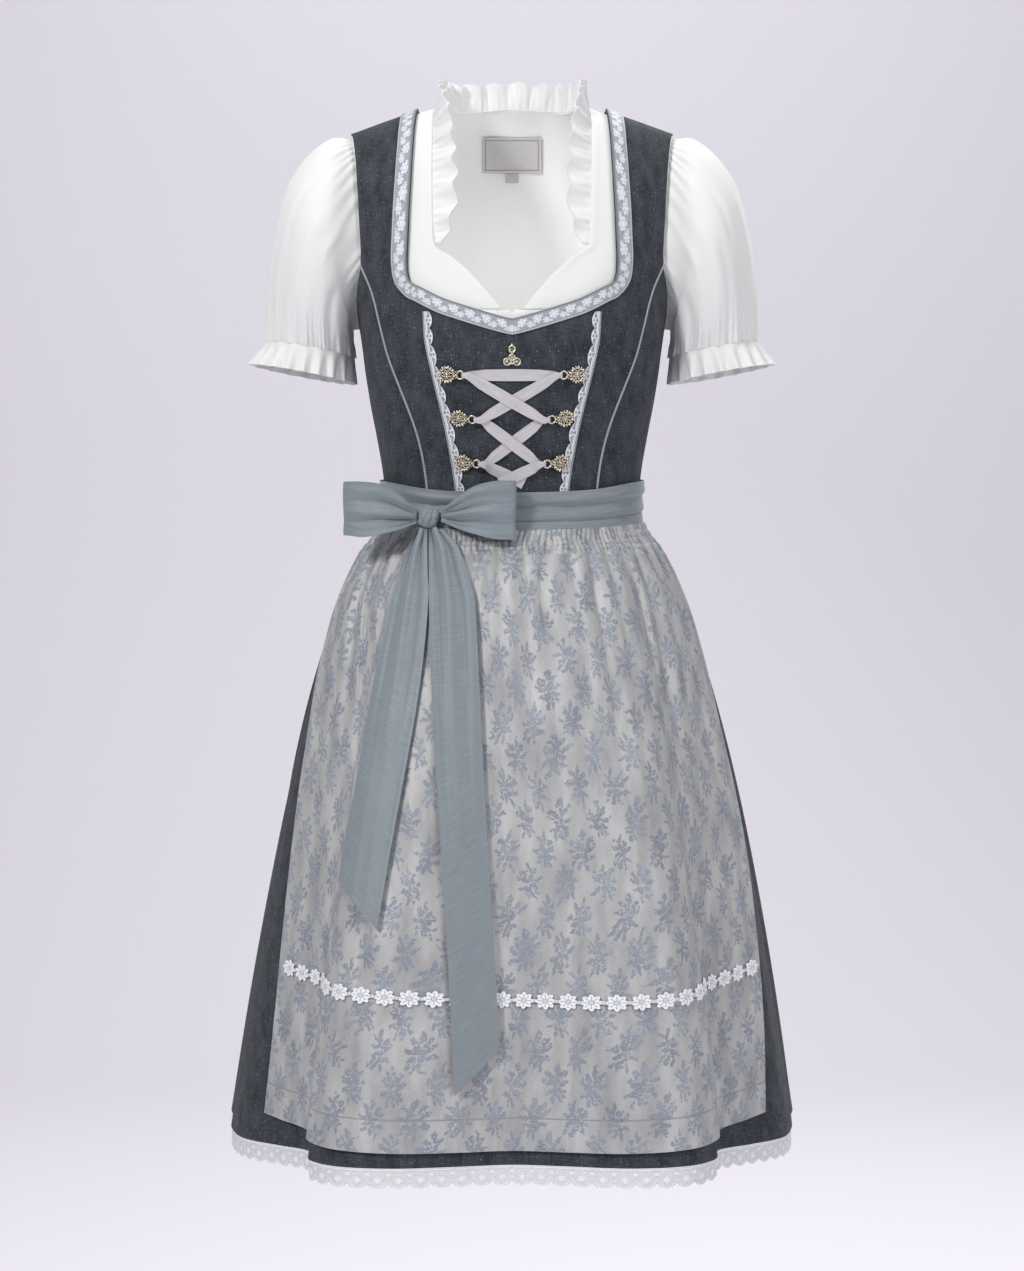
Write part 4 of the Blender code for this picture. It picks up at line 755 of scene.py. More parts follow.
EDGING_PITCH = 17.2
EDGING_LACE = edging_lace()


def lace_edging(node, sign):
    def place(u, w):
        angle, level = at_share(PIPED_LACE_SEAM, w)
        per_degree = per_degree_at(angle, level).length
        scallop = abs(math.sin(math.pi * LACE_EDGING_SCALLOPS * w)) ** 0.7
        width = LACE_EDGING_WIDTH - LACE_EDGING_NOTCH * (1 - scallop)
        across_share = 1 - u if sign > 0 else u
        aside = PIPING_WIDTH / 2 + CLEARANCE + (width - PIPING_WIDTH / 2) * across_share
        return on_figure(sign * (angle - aside / per_degree), level, LACE_EDGING_OUT)

    lay_cloth(
        node, 5, LACE_EDGING_SCALLOPS * 10, place, 0.5, EDGING_LACE, "white_lace", edges="", held=None,
        flat=(LACE_EDGING_WIDTH * MM * sign, LACE_EDGING_SCALLOPS * EDGING_PITCH * MM),
    )


lace_edging("lace_edging_right", 1)
lace_edging("lace_edging_left", -1)

# The ten panels of the bodice, from the centre front to the centre back
BODICE_RIPPLE = 0.35


def bodice_ripple(u, w):
    """The slight pull of laced cloth, level at both seams."""
    inside = min(8 * u, 8 * (1 - u), 1)
    return BODICE_RIPPLE * wander(u * 2.1, w * 6.0, 1.5) * inside * inside * (3 - 2 * inside)


def bodice_panels(node, inner, outer, rows, trims=(), middle=0.0):
    """The same panel on both sides; the piping and lace in its seams are pieces of their own."""
    for side, left, right in (("_right", inner, outer), ("_left", mirrored(outer), mirrored(inner))):
        panel(
            node + side, left, right, 16, 0, DRESS_WALL, CHARCOAL_LINEN, "charcoal_linen", rows,
            grain_at=lambda point: grain(point, middle), relief=bodice_ripple,
            trims=[trim + side for trim in trims],
        )


STRAP_TRIMS = ["piping_lace_seam", "lace_edging", "piping_front"]
bodice_panels("bodice_centre_front", CENTRE_FRONT, LACE_SEAM, 42)
bodice_panels("bodice_strap_front", LACE_SEAM + NECK_FRONT, PRINCESS_SEAM + ARMHOLE_FRONT, 72, STRAP_TRIMS)
bodice_panels("bodice_side_front", PRINCESS_SEAM, SIDE_SEAM, 40)
bodice_panels("bodice_side_back", SIDE_SEAM, BACK_PRINCESS, 40, middle=180.0)
bodice_panels(
    "bodice_back", BACK_PRINCESS + ARMHOLE_BACK, CENTRE_BACK + NECK_BACK, 60, ["piping_back"], 180.0
)

# Ribbon round the neckline: grey ribbon with woven white flowers, mitred at the centre front and bound
# along its inner edge; it runs up both straps and round the back of the neck.
NECK_RIBBON_WIDTH = 18
NECK_RIBBON_STEPS = 120
NECK_RIBBON_OUT = DRESS_WALL + 1.0
NECK_TOP_OF_CENTRE = ((0, 6.96), (22, 6.85), (45, 6.72), (68, 6.58))


def away_from(curve, distance):
    """The curve moved to its right, on the figure, by a distance."""
    moved = []
    for index, (angle, level) in enumerate(curve):
        before = curve[max(index - 1, 0)]
        after = curve[min(index + 1, len(curve) - 1)]
        run = (figure_surface(*after) - figure_surface(*before)).normalized()
        per_degree = per_degree_at(angle, level)
        per_level = (figure_surface(angle, level + 0.05) - figure_surface(angle, level - 0.05)) * 10
        normal = per_level.cross(per_degree).normalized()
        if index in (0, len(curve) - 1):
            run = (per_level if abs(run.z) > abs(run.x) else per_degree).normalized()
            run = -run if index and level < 1 else run
        aim = run.cross(normal) * distance
        new_angle = angle + aim.dot(per_degree) / per_degree.length_squared
        new_level = level + aim.dot(per_level) / per_level.length_squared
        moved.append((new_angle, max(new_level, 0)))
    return moved


NECK_CORNER = seam(((90, 6.385), (98.3, 6.31)))
NECK_RIBBON_FRONT = seam(NECK_TOP_OF_CENTRE) + NECK_CORNER + NECK_FRONT[1:]
RIGHT_HALF_OF_BACK = ([(180, 4.755)] + NECK_BACK)[::-1]
NECK_RIBBON_BACK = RIGHT_HALF_OF_BACK + turned_back(RIGHT_HALF_OF_BACK)[-2::-1]
RIBBON_GREY = (0.20, 0.22, 0.25)
RIBBON_SILVER = (0.36, 0.38, 0.42)
RIBBON_WHITE = (0.74, 0.76, 0.80)
RIBBON_BINDING = (0.17, 0.185, 0.21)


def flowered_ribbon():
    """White flower heads and leaves in a close wavy garland; the binding runs along the inner edge."""
    finish, shader, across, along = cloth_finish("flowered_ribbon", 0.6, sheen=0.15)
    ragged_across = across + (mottle(across / 1.8, along / 1.8) - 0.5) * 2.4
    ragged_along = along + (mottle(across / 1.8 + 17.0, along / 1.8) - 0.5) * 2.4
    white = None
    for shift, side, size in ((0.0, 7.2, 4.6), (8.6, 11.2, 3.6), (4.4, 12.6, 2.0), (12.8, 5.2, 2.2)):
        beat = (ragged_along + shift).cell(17.2)
        offset = ragged_across - side
        far = length_of(beat, offset)
        petal = (offset.run("ARCTAN2", beat) * 3.0).run("SINE").run("ABSOLUTE")
        ring = far.near(size * 0.5, 0.3, 0.3)
        flower = (far - petal * size * 0.35).below(size * 0.72, 0.4) * (ring * -0.6 + 1)
        white = white.most(flower) if white else flower
    strewn = mottle(across / 1.2, along / 1.6, 2.0, 0.7).below(0.54, 0.04) * -1 + 1
    band = across.near(9.3, 6.4, 0.7)
    white = white.most(strewn * 0.5) * band
    edge_line = across.near(17.0, 0.5, 0.2)
    shade, height = threads(across, along, 0.5, 0.8)
    ground = dyed(shade, RIBBON_GREY, RIBBON_SILVER)
    pattern = dyed(white.most(edge_line * 0.45), ground, RIBBON_WHITE)
    binding = across.below(1.7, 0.25)
    wire(shader, "Base Color", dyed(binding, pattern, RIBBON_BINDING))
    raised(shader, height * 0.4 + white, 0.35)
    return finish


FLOWERED_RIBBON = flowered_ribbon()


def neck_ribbon(node, inner, mirror):
    """The bound edge is the neckline's own."""
    outer = away_from(inner, NECK_RIBBON_WIDTH)
    left, right = (mirrored(outer), mirrored(inner)) if mirror else (inner, outer)
    panel(
        node, left, right, 6, NECK_RIBBON_OUT, 0.7, FLOWERED_RIBBON, "ribbon_trim", NECK_RIBBON_STEPS,
        held="laid", flat=(-NECK_RIBBON_WIDTH * MM if mirror else NECK_RIBBON_WIDTH * MM, None),
    )


neck_ribbon("neck_ribbon_front_right", NECK_RIBBON_FRONT, False)
neck_ribbon("neck_ribbon_front_left", NECK_RIBBON_FRONT, True)
neck_ribbon("neck_ribbon_back", NECK_RIBBON_BACK, False)

# The blouse: white cotton poplin, two front pieces with a sweetheart edge and one back, tucked inside the
# dress.
BLOUSE_WALL = 1.2
BLOUSE_OUT = -3.0
COTTON_WHITE = (0.84, 0.84, 0.83)
COTTON_SHADE = (0.76, 0.76, 0.76)


def white_cotton():
    finish, shader, across, along = cloth_finish("white_cotton", 0.85, sheen=0.2, specular=0.25)
    shade, height = threads(across, along, 0.35, 0.5)
    wire(shader, "Base Color", dyed(shade, COTTON_SHADE, COTTON_WHITE))
    raised(shader, height, 0.12, 0.4)
    return finish


WHITE_COTTON = white_cotton()


BLOUSE_HEM_LEVEL = 9.2
BLOUSE_CENTRE = [(0, level) for level in (BLOUSE_HEM_LEVEL, 8.4, 7.6, 6.84)]
SWEETHEART = seam(
    ((10, 6.76), (22, 6.53), (42, 6.17), (62, 5.88), (79, 5.66))
)
BLOUSE_NECK = seam(
    (
        (81.5, 5.2), (82.3, 4.5), (82.7, 3.8), (82.8, 3.1), (82.6, 2.4), (82, 1.7), (81, 1.1), (79.6, 0.55),
        (78, 0),
    )
)
BLOUSE_NECK_BACK = seam(((78, 0), (75, 0.5), (66, 1.1), (50, 1.7), (26, 2.1), (0, 2.2)), back=True)

# The dress's armhole as a loop: underarm, front, shoulder, back, underarm
UNDERARM_STEPS = 4


def underarm(start, end):
    """Even steps between two (angle, level) points."""
    return [
        tuple(low + (high - low) * step / UNDERARM_STEPS for low, high in zip(start, end))
        for step in range(UNDERARM_STEPS + 1)
    ]


UNDERARM_FRONT = underarm(SIDE_SEAM[-1], PRINCESS_SEAM[-1])
UNDERARM_BACK = underarm(BACK_PRINCESS[-1], SIDE_SEAM[-1])
DRESS_ARMHOLE_FRONT = UNDERARM_FRONT + ARMHOLE_FRONT
DRESS_ARMHOLE_BACK = ARMHOLE_BACK[::-1] + UNDERARM_BACK
ARMHOLE_CENTRE_LEVEL = 4.3
SLEEVE_SEAM_SHIFT = 4.4


def towards_arm(curve, shift):
    """The armhole drawn in towards its middle, on the figure, by a distance."""
    moved = []
    for angle, level in curve:
        point = figure_surface(angle, level)
        middle = figure_surface(90, ARMHOLE_CENTRE_LEVEL)
        per_degree = per_degree_at(angle, level)
        per_level = figure_surface(angle, level + 0.05) - figure_surface(angle, level - 0.05)
        aim = (middle - point).normalized() * shift
        d_angle = aim.dot(per_degree) / per_degree.length_squared
        d_level = 0.1 * aim.dot(per_level) / per_level.length_squared
        if level < 0.6:
            d_level = 0
            d_angle = math.copysign(shift / per_degree.length, 90 - angle)
        moved.append((angle + d_angle, level + d_level))
    return moved


BLOUSE_ARMHOLE_FRONT = towards_arm(DRESS_ARMHOLE_FRONT, SLEEVE_SEAM_SHIFT)
BLOUSE_ARMHOLE_BACK = towards_arm(DRESS_ARMHOLE_BACK, SLEEVE_SEAM_SHIFT)
BLOUSE_SIDE = [(90, level) for level in (BLOUSE_HEM_LEVEL, 8.5, 7.7)]
BLOUSE_FRONT_INNER = BLOUSE_CENTRE + SWEETHEART + BLOUSE_NECK
BLOUSE_FRONT_OUTER = BLOUSE_SIDE + BLOUSE_ARMHOLE_FRONT


def blouse_ripple(u, w):
    """Soft folds that run down from the gathered neck edge, and the turned sweetheart edge."""
    turned = 0.5 * bell(u, 0.03, 0.02)
    return turned + 0.8 * wander(u * 5.0, w * 2.2, 7.5)


panel_pair(
    "blouse_front", BLOUSE_FRONT_INNER, BLOUSE_FRONT_OUTER, 40, BLOUSE_OUT, BLOUSE_WALL, WHITE_COTTON,
    "white_cotton", 80, grain_at=grain, relief=blouse_ripple,
)

BLOUSE_BACK_SIDE = BLOUSE_SIDE + BLOUSE_ARMHOLE_BACK[::-1]
BLOUSE_SHOULDER_SHARE = 0.2


def blouse_back_top(u):
    """Shoulder, neck curve and shoulder of the blouse's back, from the right side to the left."""
    half = u if u < 0.5 else 1 - u
    share = half / 0.5
    tip = BLOUSE_BACK_SIDE[-1]
    neck = BLOUSE_NECK_BACK[0]
    if share < 2 * BLOUSE_SHOULDER_SHARE:
        along = share / (2 * BLOUSE_SHOULDER_SHARE)
        angle, level = tip[0] + (neck[0] - tip[0]) * along, 0
    else:
        along = (share - 2 * BLOUSE_SHOULDER_SHARE) / (1 - 2 * BLOUSE_SHOULDER_SHARE)
        angle, level = at_share(BLOUSE_NECK_BACK, along)
    return (angle if u < 0.5 else 360 - angle), max(level, 0)


def blouse_back_place(u, w):
    """Blends the sides, hem and top of the blouse's back into one patch."""
    side_angle, side_level = at_share(BLOUSE_BACK_SIDE, w)
    tip_angle, tip_level = BLOUSE_BACK_SIDE[-1]
    foot_angle, foot_level = BLOUSE_BACK_SIDE[0]
    top_angle, top_level = blouse_back_top(u)
    across_angle = side_angle + (360 - 2 * side_angle) * u
    rise_angle = foot_angle + (360 - 2 * foot_angle) * u
    rise_angle += (top_angle - rise_angle) * w
    corner_angle = foot_angle + (360 - 2 * foot_angle) * u
    corner_angle += (tip_angle + (360 - 2 * tip_angle) * u - corner_angle) * w
    rise_level = foot_level + (top_level - foot_level) * w
    corner_level = foot_level + (tip_level - foot_level) * w
    angle = across_angle + rise_angle - corner_angle
    level = side_level + rise_level - corner_level
    return on_figure(angle, level, BLOUSE_OUT)


def blouse_back_ripple(u, w):
    """Upright folds let in below the neck frill, fading downwards."""
    bands = math.cos(2 * math.pi * (6 * u + 0.5 * wander(u * 3, w, 2.5)))
    return -0.9 * bands * w**2 + 0.7 * wander(u * 6.0, w * 1.6, 4.5) - 0.4


lay_cloth(
    "blouse_back", 90, 70, blouse_back_place, BLOUSE_WALL, WHITE_COTTON, "white_cotton",
    grain_at=lambda point: grain(point, 180.0), relief=blouse_back_ripple,
)

# Puff sleeves: cotton gathered into the armhole and again into a narrow cuff seam.
SleeveRing = namedtuple("SleeveRing", "top_across top_height under_across under_height half_depth")
SLEEVE_RINGS = [
    SleeveRing(*row)
    for row in (
        (190, -20, 166.0, -220, 74), (216, -41, 166.0, -224, 81), (236, -75, 166.0, -228, 82),
        (249, -125, 165.5, -233, 78), (255.5, -178, 165.0, -238, 70), (256.5, -232, 165.0, -249, 57),
    )
]
SLEEVE_LOOP = BLOUSE_ARMHOLE_FRONT + BLOUSE_ARMHOLE_BACK[1:]
SLEEVE_SEGMENTS = len(SLEEVE_LOOP) - 1
SLEEVE_TOP_SHARE = (len(BLOUSE_ARMHOLE_FRONT) - 1) / SLEEVE_SEGMENTS
SLEEVE_SEAM_GAP = 0.8
SLEEVE_DEPTH_CENTRE = 4
SLEEVE_GATHERS = 14
SLEEVE_GATHER_DEPTH = 1.6


def sleeve_loop_point(share):
    """A point of the sleeve's seam in the armhole, counted from the underarm over the front."""
    place = share * SLEEVE_SEGMENTS
    index = min(int(place + 1e-6), SLEEVE_SEGMENTS - 1)
    start = on_figure(*SLEEVE_LOOP[index], BLOUSE_OUT)
    end = on_figure(*SLEEVE_LOOP[index + 1], BLOUSE_OUT)
    return start.lerp(end, place - index) + Vector((SLEEVE_SEAM_GAP, 0, 0))


def sleeve_turn(share):
    """How far round the arm a share of the loop lies: 180 underneath, 90 in front, 0 on top."""
    if share < SLEEVE_TOP_SHARE:
        return math.pi * (1 - share / SLEEVE_TOP_SHARE)
    return -math.pi * (share - SLEEVE_TOP_SHARE) / (1 - SLEEVE_TOP_SHARE)


def sleeve_ring_point(ring, share):
    turn = sleeve_turn(share)
    top = Vector((ring.top_across, SLEEVE_DEPTH_CENTRE, ring.top_height))
    under = Vector((ring.under_across, SLEEVE_DEPTH_CENTRE, ring.under_height))
    forward = Vector((0, -ring.half_depth, 0))
    return (top + under) / 2 + (top - under) / 2 * math.cos(turn) + forward * math.sin(turn)


def sleeve_point(share, row):
    """A point of the sleeve, row 0 at the armhole seam and the last row at the gathered edge."""
    points = [sleeve_loop_point(share)] + [sleeve_ring_point(ring, share) for ring in SLEEVE_RINGS]
    return read_smooth(points, row)


def sleeve_place(u, w):
    """Seen from outside with the armhole on top, u runs round the arm from the underarm over the back."""
    row = (1 - w) * len(SLEEVE_RINGS)
    share = 1 - u
    point = sleeve_point(share, row)
    middle = (sleeve_point(0, row) + sleeve_point(SLEEVE_TOP_SHARE, row)) / 2
    gather = (1 - w) ** 4 * SLEEVE_GATHER_DEPTH * math.cos(2 * math.pi * SLEEVE_GATHERS * u)
    return point + (point - middle).normalized() * gather


SLEEVE_HEAD_GATHERS = 29
SLEEVE_CUFF_GATHERS = 46
SleeveCrease = namedtuple("SleeveCrease", "turn slant top bottom depth width")
SLEEVE_CREASES = [
    SleeveCrease(*row)
    for row in (
        (0.13, 0.03, 0.95, 0.30, -1.6, 0.016), (0.22, -0.04, 0.70, 0.06, 1.5, 0.020),
        (0.31, 0.02, 1.00, 0.45, 1.7, 0.018), (0.39, -0.03, 0.88, 0.20, -1.9, 0.014),
        (0.47, 0.02, 1.00, 0.55, 1.4, 0.017), (0.55, 0.05, 0.60, 0.02, -1.7, 0.019),
        (0.62, -0.02, 0.98, 0.35, 1.8, 0.015), (0.70, 0.04, 0.80, 0.10, -1.8, 0.021),
        (0.77, -0.05, 0.96, 0.50, -1.5, 0.013), (0.84, 0.02, 0.75, 0.05, 1.9, 0.018),
        (0.92, -0.03, 0.90, 0.28, -1.3, 0.016),
    )
]


def sleeve_folds(u, w):
    """Fine gathers at both seams and long uneven creases between them."""
    turn = 2 * math.pi * u
    sway = wander(math.cos(turn) * 2, math.sin(turn) * 2 + w, 3.5)
    head = max((w - 0.7) / 0.3, 0) ** 1.6
    cuff = max((0.26 - w) / 0.26, 0) ** 1.4
    folds = 0.55 * head * math.cos(SLEEVE_HEAD_GATHERS * turn + 9 * sway)
    folds += 1.0 * cuff * math.cos(SLEEVE_CUFF_GATHERS * turn + 6 * sway)
    for crease in SLEEVE_CREASES:
        middle = crease.turn + crease.slant * (w - 0.5)
        share = (w - crease.bottom) / (crease.top - crease.bottom)
        if 0 < share < 1:
            folds += crease.depth * bell(u, middle, crease.width) * math.sin(math.pi * share) ** 0.8
    return folds + 1.2 * sway * math.sin(math.pi * min(w * 1.1, 1))


# How far the creases of one sleeve are turned against the other's
SLEEVE_UNLIKE = 0.021


def sleeve_pair(node, place, columns, rows, edges, relief):
    """The sleeve's piece on the viewer's right and its mirror image on the left."""

    def mirror_place(u, w):
        point = place(1 - u, w)
        return Vector((-point.x, point.y, point.z))

    def mirror_relief(u, w):
        return relief(1 - u + SLEEVE_UNLIKE, w)

    for side, laid, folds in (("_right", place, relief), ("_left", mirror_place, mirror_relief)):
        lay_cloth(
            node + side, columns, rows, laid, BLOUSE_WALL, WHITE_COTTON, "white_cotton", tube=True,
            edges=edges, relief=folds, held="gathered",
        )


sleeve_pair("blouse_sleeve", sleeve_place, 240, 46, "b", sleeve_folds)

# Frills on the sleeves: a straight strip of cotton gathered into the cuff seam, its edge rolled.
SLEEVE_FRILL_WAVES = 18
SLEEVE_FRILL_LENGTH = 27
SLEEVE_FRILL_FLARE = 12
SLEEVE_FRILL_WAVE = 4.0


def sleeve_frill_place(u, w):
    """The frill hangs from the gathered edge and waves in and out."""
    share = 1 - u
    ring = SLEEVE_RINGS[-1]
    edge = sleeve_ring_point(ring, share)
    middle = (sleeve_ring_point(ring, 0) + sleeve_ring_point(ring, SLEEVE_TOP_SHARE)) / 2
    outward = (edge - middle).normalized()
    slope = Vector((ring.top_across - ring.under_across, 0, ring.top_height - ring.under_height)).normalized()
    down = slope.cross(Vector((0, -1, 0)))
    if down.z > 0:
        down = -down
    drop = 1 - w
    wave = SLEEVE_FRILL_WAVE * math.cos(2 * math.pi * SLEEVE_FRILL_WAVES * u) * drop
    flare = SLEEVE_FRILL_FLARE * drop * (0.35 + 0.65 * max(outward.x, 0))
    return edge + down * (SLEEVE_FRILL_LENGTH * drop + 2 * SEAM_HALF_GAP) + outward * (flare + wave)


def rolled_edge(u, w):
    """A thin stitched roll along the free edge, at w = 0."""
    return 0.35 * bell(w, 0.07, 0.04) + 0.45 * wander(u * 41.0, w * 2.0, 6.5)


sleeve_pair("sleeve_frill", sleeve_frill_place, SLEEVE_FRILL_WAVES * 12, 10, "", rolled_edge)

# Frill round the neck: a straight strip of cotton gathered along the neck edge from one corner of the
# sweetheart edge, round the back, to the other.
NECK_FRILL_SEAM = (
    mirrored([SWEETHEART[-1]] + BLOUSE_NECK)
    + turned_back(BLOUSE_NECK_BACK)[1:]
    + BLOUSE_NECK_BACK[-2::-1]
    + ([SWEETHEART[-1]] + BLOUSE_NECK)[-2::-1]
)
NECK_FRILL_WAVES = 30
NECK_FRILL_WAVE = 3.6
NECK_FRILL_GAP = 0.6
NECK_FRILL_BACK_GAP = 0.2
NECK_FRILL_WIDTH = 24
NECK_FRILL_BACK_WIDTH = 28
NECK_FRILL_TAPER = 0.07


def neck_frill_base(share):
    """The point of the neck seam at a share of the frill's length."""
    place = share * (len(NECK_FRILL_SEAM) - 1)
    index = min(int(place), len(NECK_FRILL_SEAM) - 2)
    part = place - index
    start = on_figure(*NECK_FRILL_SEAM[index], BLOUSE_OUT)
    end = on_figure(*NECK_FRILL_SEAM[index + 1], BLOUSE_OUT)
    return start.lerp(end, part)


def neck_frill_place(share, w):
    """The frill stands inwards at the front and upwards at the back, and waves to both sides."""
    base = neck_frill_base(share)
    tangent = (neck_frill_base(min(share + 0.01, 1)) - neck_frill_base(max(share - 0.01, 0))).normalized()
    rise = math.sin(math.pi * share) ** 0.8
    front_way = Vector((-math.copysign(1, base.x), -0.25, 0.1)).normalized()
    up_way = Vector((-0.12 * math.copysign(1, base.x) * min(abs(base.x) / 40, 1), 0, 1)).normalized()
    stand = front_way.lerp(up_way, min(rise * 1.15, 1))
    stand = (stand - tangent * stand.dot(tangent)).normalized()
    aside = stand.cross(tangent)
    width = NECK_FRILL_WIDTH + (NECK_FRILL_BACK_WIDTH - NECK_FRILL_WIDTH) * rise
    turn = 2 * math.pi * NECK_FRILL_WAVES * share
    wave = NECK_FRILL_WAVE * math.cos(turn + 1.2 * wander(share * 11, 0.5, 1.5)) * w
    width += 1.9 * math.sin(turn + 2.5 * wander(share * 17, 0.5, 5.5)) * w
    end = min(min(share, 1 - share) / NECK_FRILL_TAPER, 1)
    width *= 0.3 + 0.7 * end * (2 - end)
    gap = NECK_FRILL_GAP + NECK_FRILL_BACK_GAP * rise
    return base + stand * (gap + width * w) + aside * wave


NECK_FRILL_GATHERS = 104


def neck_frill_folds(u, w):
    """Fine gathers from the seam, and the rolled edge."""
    gather = 1.1 * math.cos(2 * math.pi * NECK_FRILL_GATHERS * u + 5 * wander(u * 9, 0.5, 3.5))
    return gather * (1 - w) ** 0.7 * min(12 * w, 1) + rolled_edge(u * 3.1, 1 - w)


lay_cloth(
    "neck_frill", NECK_FRILL_WAVES * 12, 10, neck_frill_place, BLOUSE_WALL, WHITE_COTTON, "white_cotton",
    edges="", held="gathered", relief=neck_frill_folds,
)

# Neck label with a dashed border of stitches, and a size tab; both are woven tape, folded and sewn inside
# the blouse's back, and bare.
LABEL_WIDTH = 64
LABEL_HEIGHT = 38
LABEL_MIDDLE_HEIGHT = -27
SIZE_TAB_WIDTH = 14
SIZE_TAB_HEIGHT = 10
SIZE_TAB_GAP = 0.6
LABEL_WALL = 1.0
LABEL_GAP = 0.9
LEVEL_STEP = 0.001


def back_level_at(height, across):
    """The level of the figure's back at a height and a distance from the centre."""
    low, high = 0.0, float(WAIST_LEVEL)
    while high - low > LEVEL_STEP:
        middle = (low + high) / 2
        if figure_surface(angle_of(across, middle, back=True), middle).z > height:
            low = middle
        else:
            high = middle
    return low


LABEL_LIGHT = (0.60, 0.58, 0.59)
LABEL_DARK = (0.44, 0.43, 0.44)
LABEL_THREAD = (0.16, 0.085, 0.07)
LABEL_STITCH = 2.6
LABEL_STITCH_INSET = 3.4


def label_cloth(name, stitched):
    finish, shader, across, along = cloth_finish(name, 0.75, sheen=0.1)
    shade, height = threads(across, along, 0.4, 0.9)
    cloth = dyed(shade, LABEL_DARK, LABEL_LIGHT)
    if stitched:
        side = (across - LABEL_WIDTH / 2).run("ABSOLUTE") - (LABEL_WIDTH / 2 - LABEL_STITCH_INSET)
        end = (along - LABEL_HEIGHT / 2).run("ABSOLUTE") - (LABEL_HEIGHT / 2 - LABEL_STITCH_INSET)
        line = side.most(end).run("ABSOLUTE").below(0.45, 0.1)
        upright = along.cell(LABEL_STITCH).run("ABSOLUTE").below(LABEL_STITCH * 0.33, 0.1)
        level = across.cell(LABEL_STITCH).run("ABSOLUTE").below(LABEL_STITCH * 0.33, 0.1)
        at_side = (side - end).below(0, 0.02)
        dash = upright * (at_side * -1 + 1) + level * at_side
        cloth = dyed(line * dash, cloth, LABEL_THREAD)
        height = height * 0.4 + line * dash
    wire(shader, "Base Color", cloth)
    raised(shader, height, 0.3)
    return finish


def label_patch(node, width, low, high, columns, finish, held="laid", trims=()):
    """A small patch on the inner face of the blouse's back, seen through the neck."""

    def place(u, w):
        level = back_level_at(low + (high - low) * w, abs(u - 0.5) * width)
        angle = angle_of(abs(u - 0.5) * width, level, back=True)
        angle = angle if u > 0.5 else 360 - angle
        return on_figure(angle, level, BLOUSE_OUT - LABEL_GAP - LABEL_WALL)

    return lay_cloth(
        node, columns, 12, place, 0.6, finish, "label_cloth", edges="", held=held, trims=trims,
        flat=(width * MM, (high - low) * MM),
    )


label_patch(
    "size_tab", SIZE_TAB_WIDTH, LABEL_MIDDLE_HEIGHT - LABEL_HEIGHT / 2 - SIZE_TAB_HEIGHT,
    LABEL_MIDDLE_HEIGHT - LABEL_HEIGHT / 2 - SIZE_TAB_GAP, 6, label_cloth("size_tab_cloth", False), held=None,
)
label_patch(
    "neck_label", LABEL_WIDTH, LABEL_MIDDLE_HEIGHT - LABEL_HEIGHT / 2, LABEL_MIDDLE_HEIGHT + LABEL_HEIGHT / 2,
    24, label_cloth("label_cloth", True), trims=["size_tab"],
)

# The skirt: charcoal linen in three panels, gathered at the back and sides and hanging in deep folds.
SIDE_LEFT = FOLD_ANGLES.index(-90)
SIDE_RIGHT = FOLD_ANGLES.index(90)
FRONT_ANGLES = FOLD_ANGLES[SIDE_LEFT:SIDE_RIGHT + 1]
BACK_RIGHT_ANGLES = FOLD_ANGLES[SIDE_RIGHT:FOLD_ANGLES.index(180) + 1]
BACK_LEFT_ANGLES = [angle + 360 for angle in FOLD_ANGLES[FOLD_ANGLES.index(-180):SIDE_LEFT + 1]]


def spread(angles, share):
    """An angle at an even share of the steps between the listed angles."""
    place = share * (len(angles) - 1)
    index = min(int(place + 1e-6), len(angles) - 2)
    return angles[index] + (angles[index + 1] - angles[index]) * (place - index)


SkirtCrease = namedtuple("SkirtCrease", "angle lean top bottom depth width")
SKIRT_CREASES = [
    SkirtCrease(*row)
    for row in (
        (-170, 2, -430, -900, 2.2, 3.1), (-160, -1, -470, -1044, -2.4, 2.6), (-147, 3, -420, -760, 1.9, 2.2),
        (-136, -2, -560, -1060, 2.3, 3.4), (-122, 1, -430, -840, -2.0, 2.4),
        (-109, -3, -500, -1044, 2.5, 2.9), (-97, 2, -425, -700, 1.8, 2.0), (-84, -2, -470, -1010, -2.1, 2.7),
        (-71, 1, -440, -820, 1.5, 2.2), (-57, -1, -480, -1030, -1.8, 2.3), (-43, 1, -470, -800, -2.2, 1.5),
        (-34, 3, -560, -1040, 1.8, 2.2), (-23, -1, -465, -760, 2.0, 1.7), (-16, -2, -520, -960, -2.3, 1.6),
        (-5, 1, -465, -690, 1.7, 1.8), (4, 1, -470, -900, -1.9, 1.5), (14, 2, -600, -1044, 2.2, 2.1),
        (21, -1, -465, -740, -2.1, 1.4), (30, 2, -500, -930, 1.8, 2.0), (38, -2, -465, -820, -2.4, 1.6),
        (47, 1, -560, -1050, 1.7, 2.4), (58, 2, -470, -900, -1.9, 2.0), (69, -1, -440, -1000, 1.8, 2.5),
        (82, 2, -430, -780, -1.6, 2.2), (95, -2, -500, -1044, 2.3, 2.8), (107, 1, -425, -800, -1.8, 2.1),
        (121, 3, -470, -1020, 2.4, 3.2), (134, -1, -430, -720, 1.7, 2.3), (148, 2, -560, -1060, -2.2, 2.9),
        (161, -2, -425, -880, 2.1, 2.4), (174, 1, -480, -1030, -2.0, 2.8),
    )
]
BACK_CREASE_DEPTH = 1.7
SKIRT_ROWS = 70
WAIST_GATHERS = 84
WAIST_GATHER_DEPTH = 1.9
WAIST_GATHER_LENGTH = 75


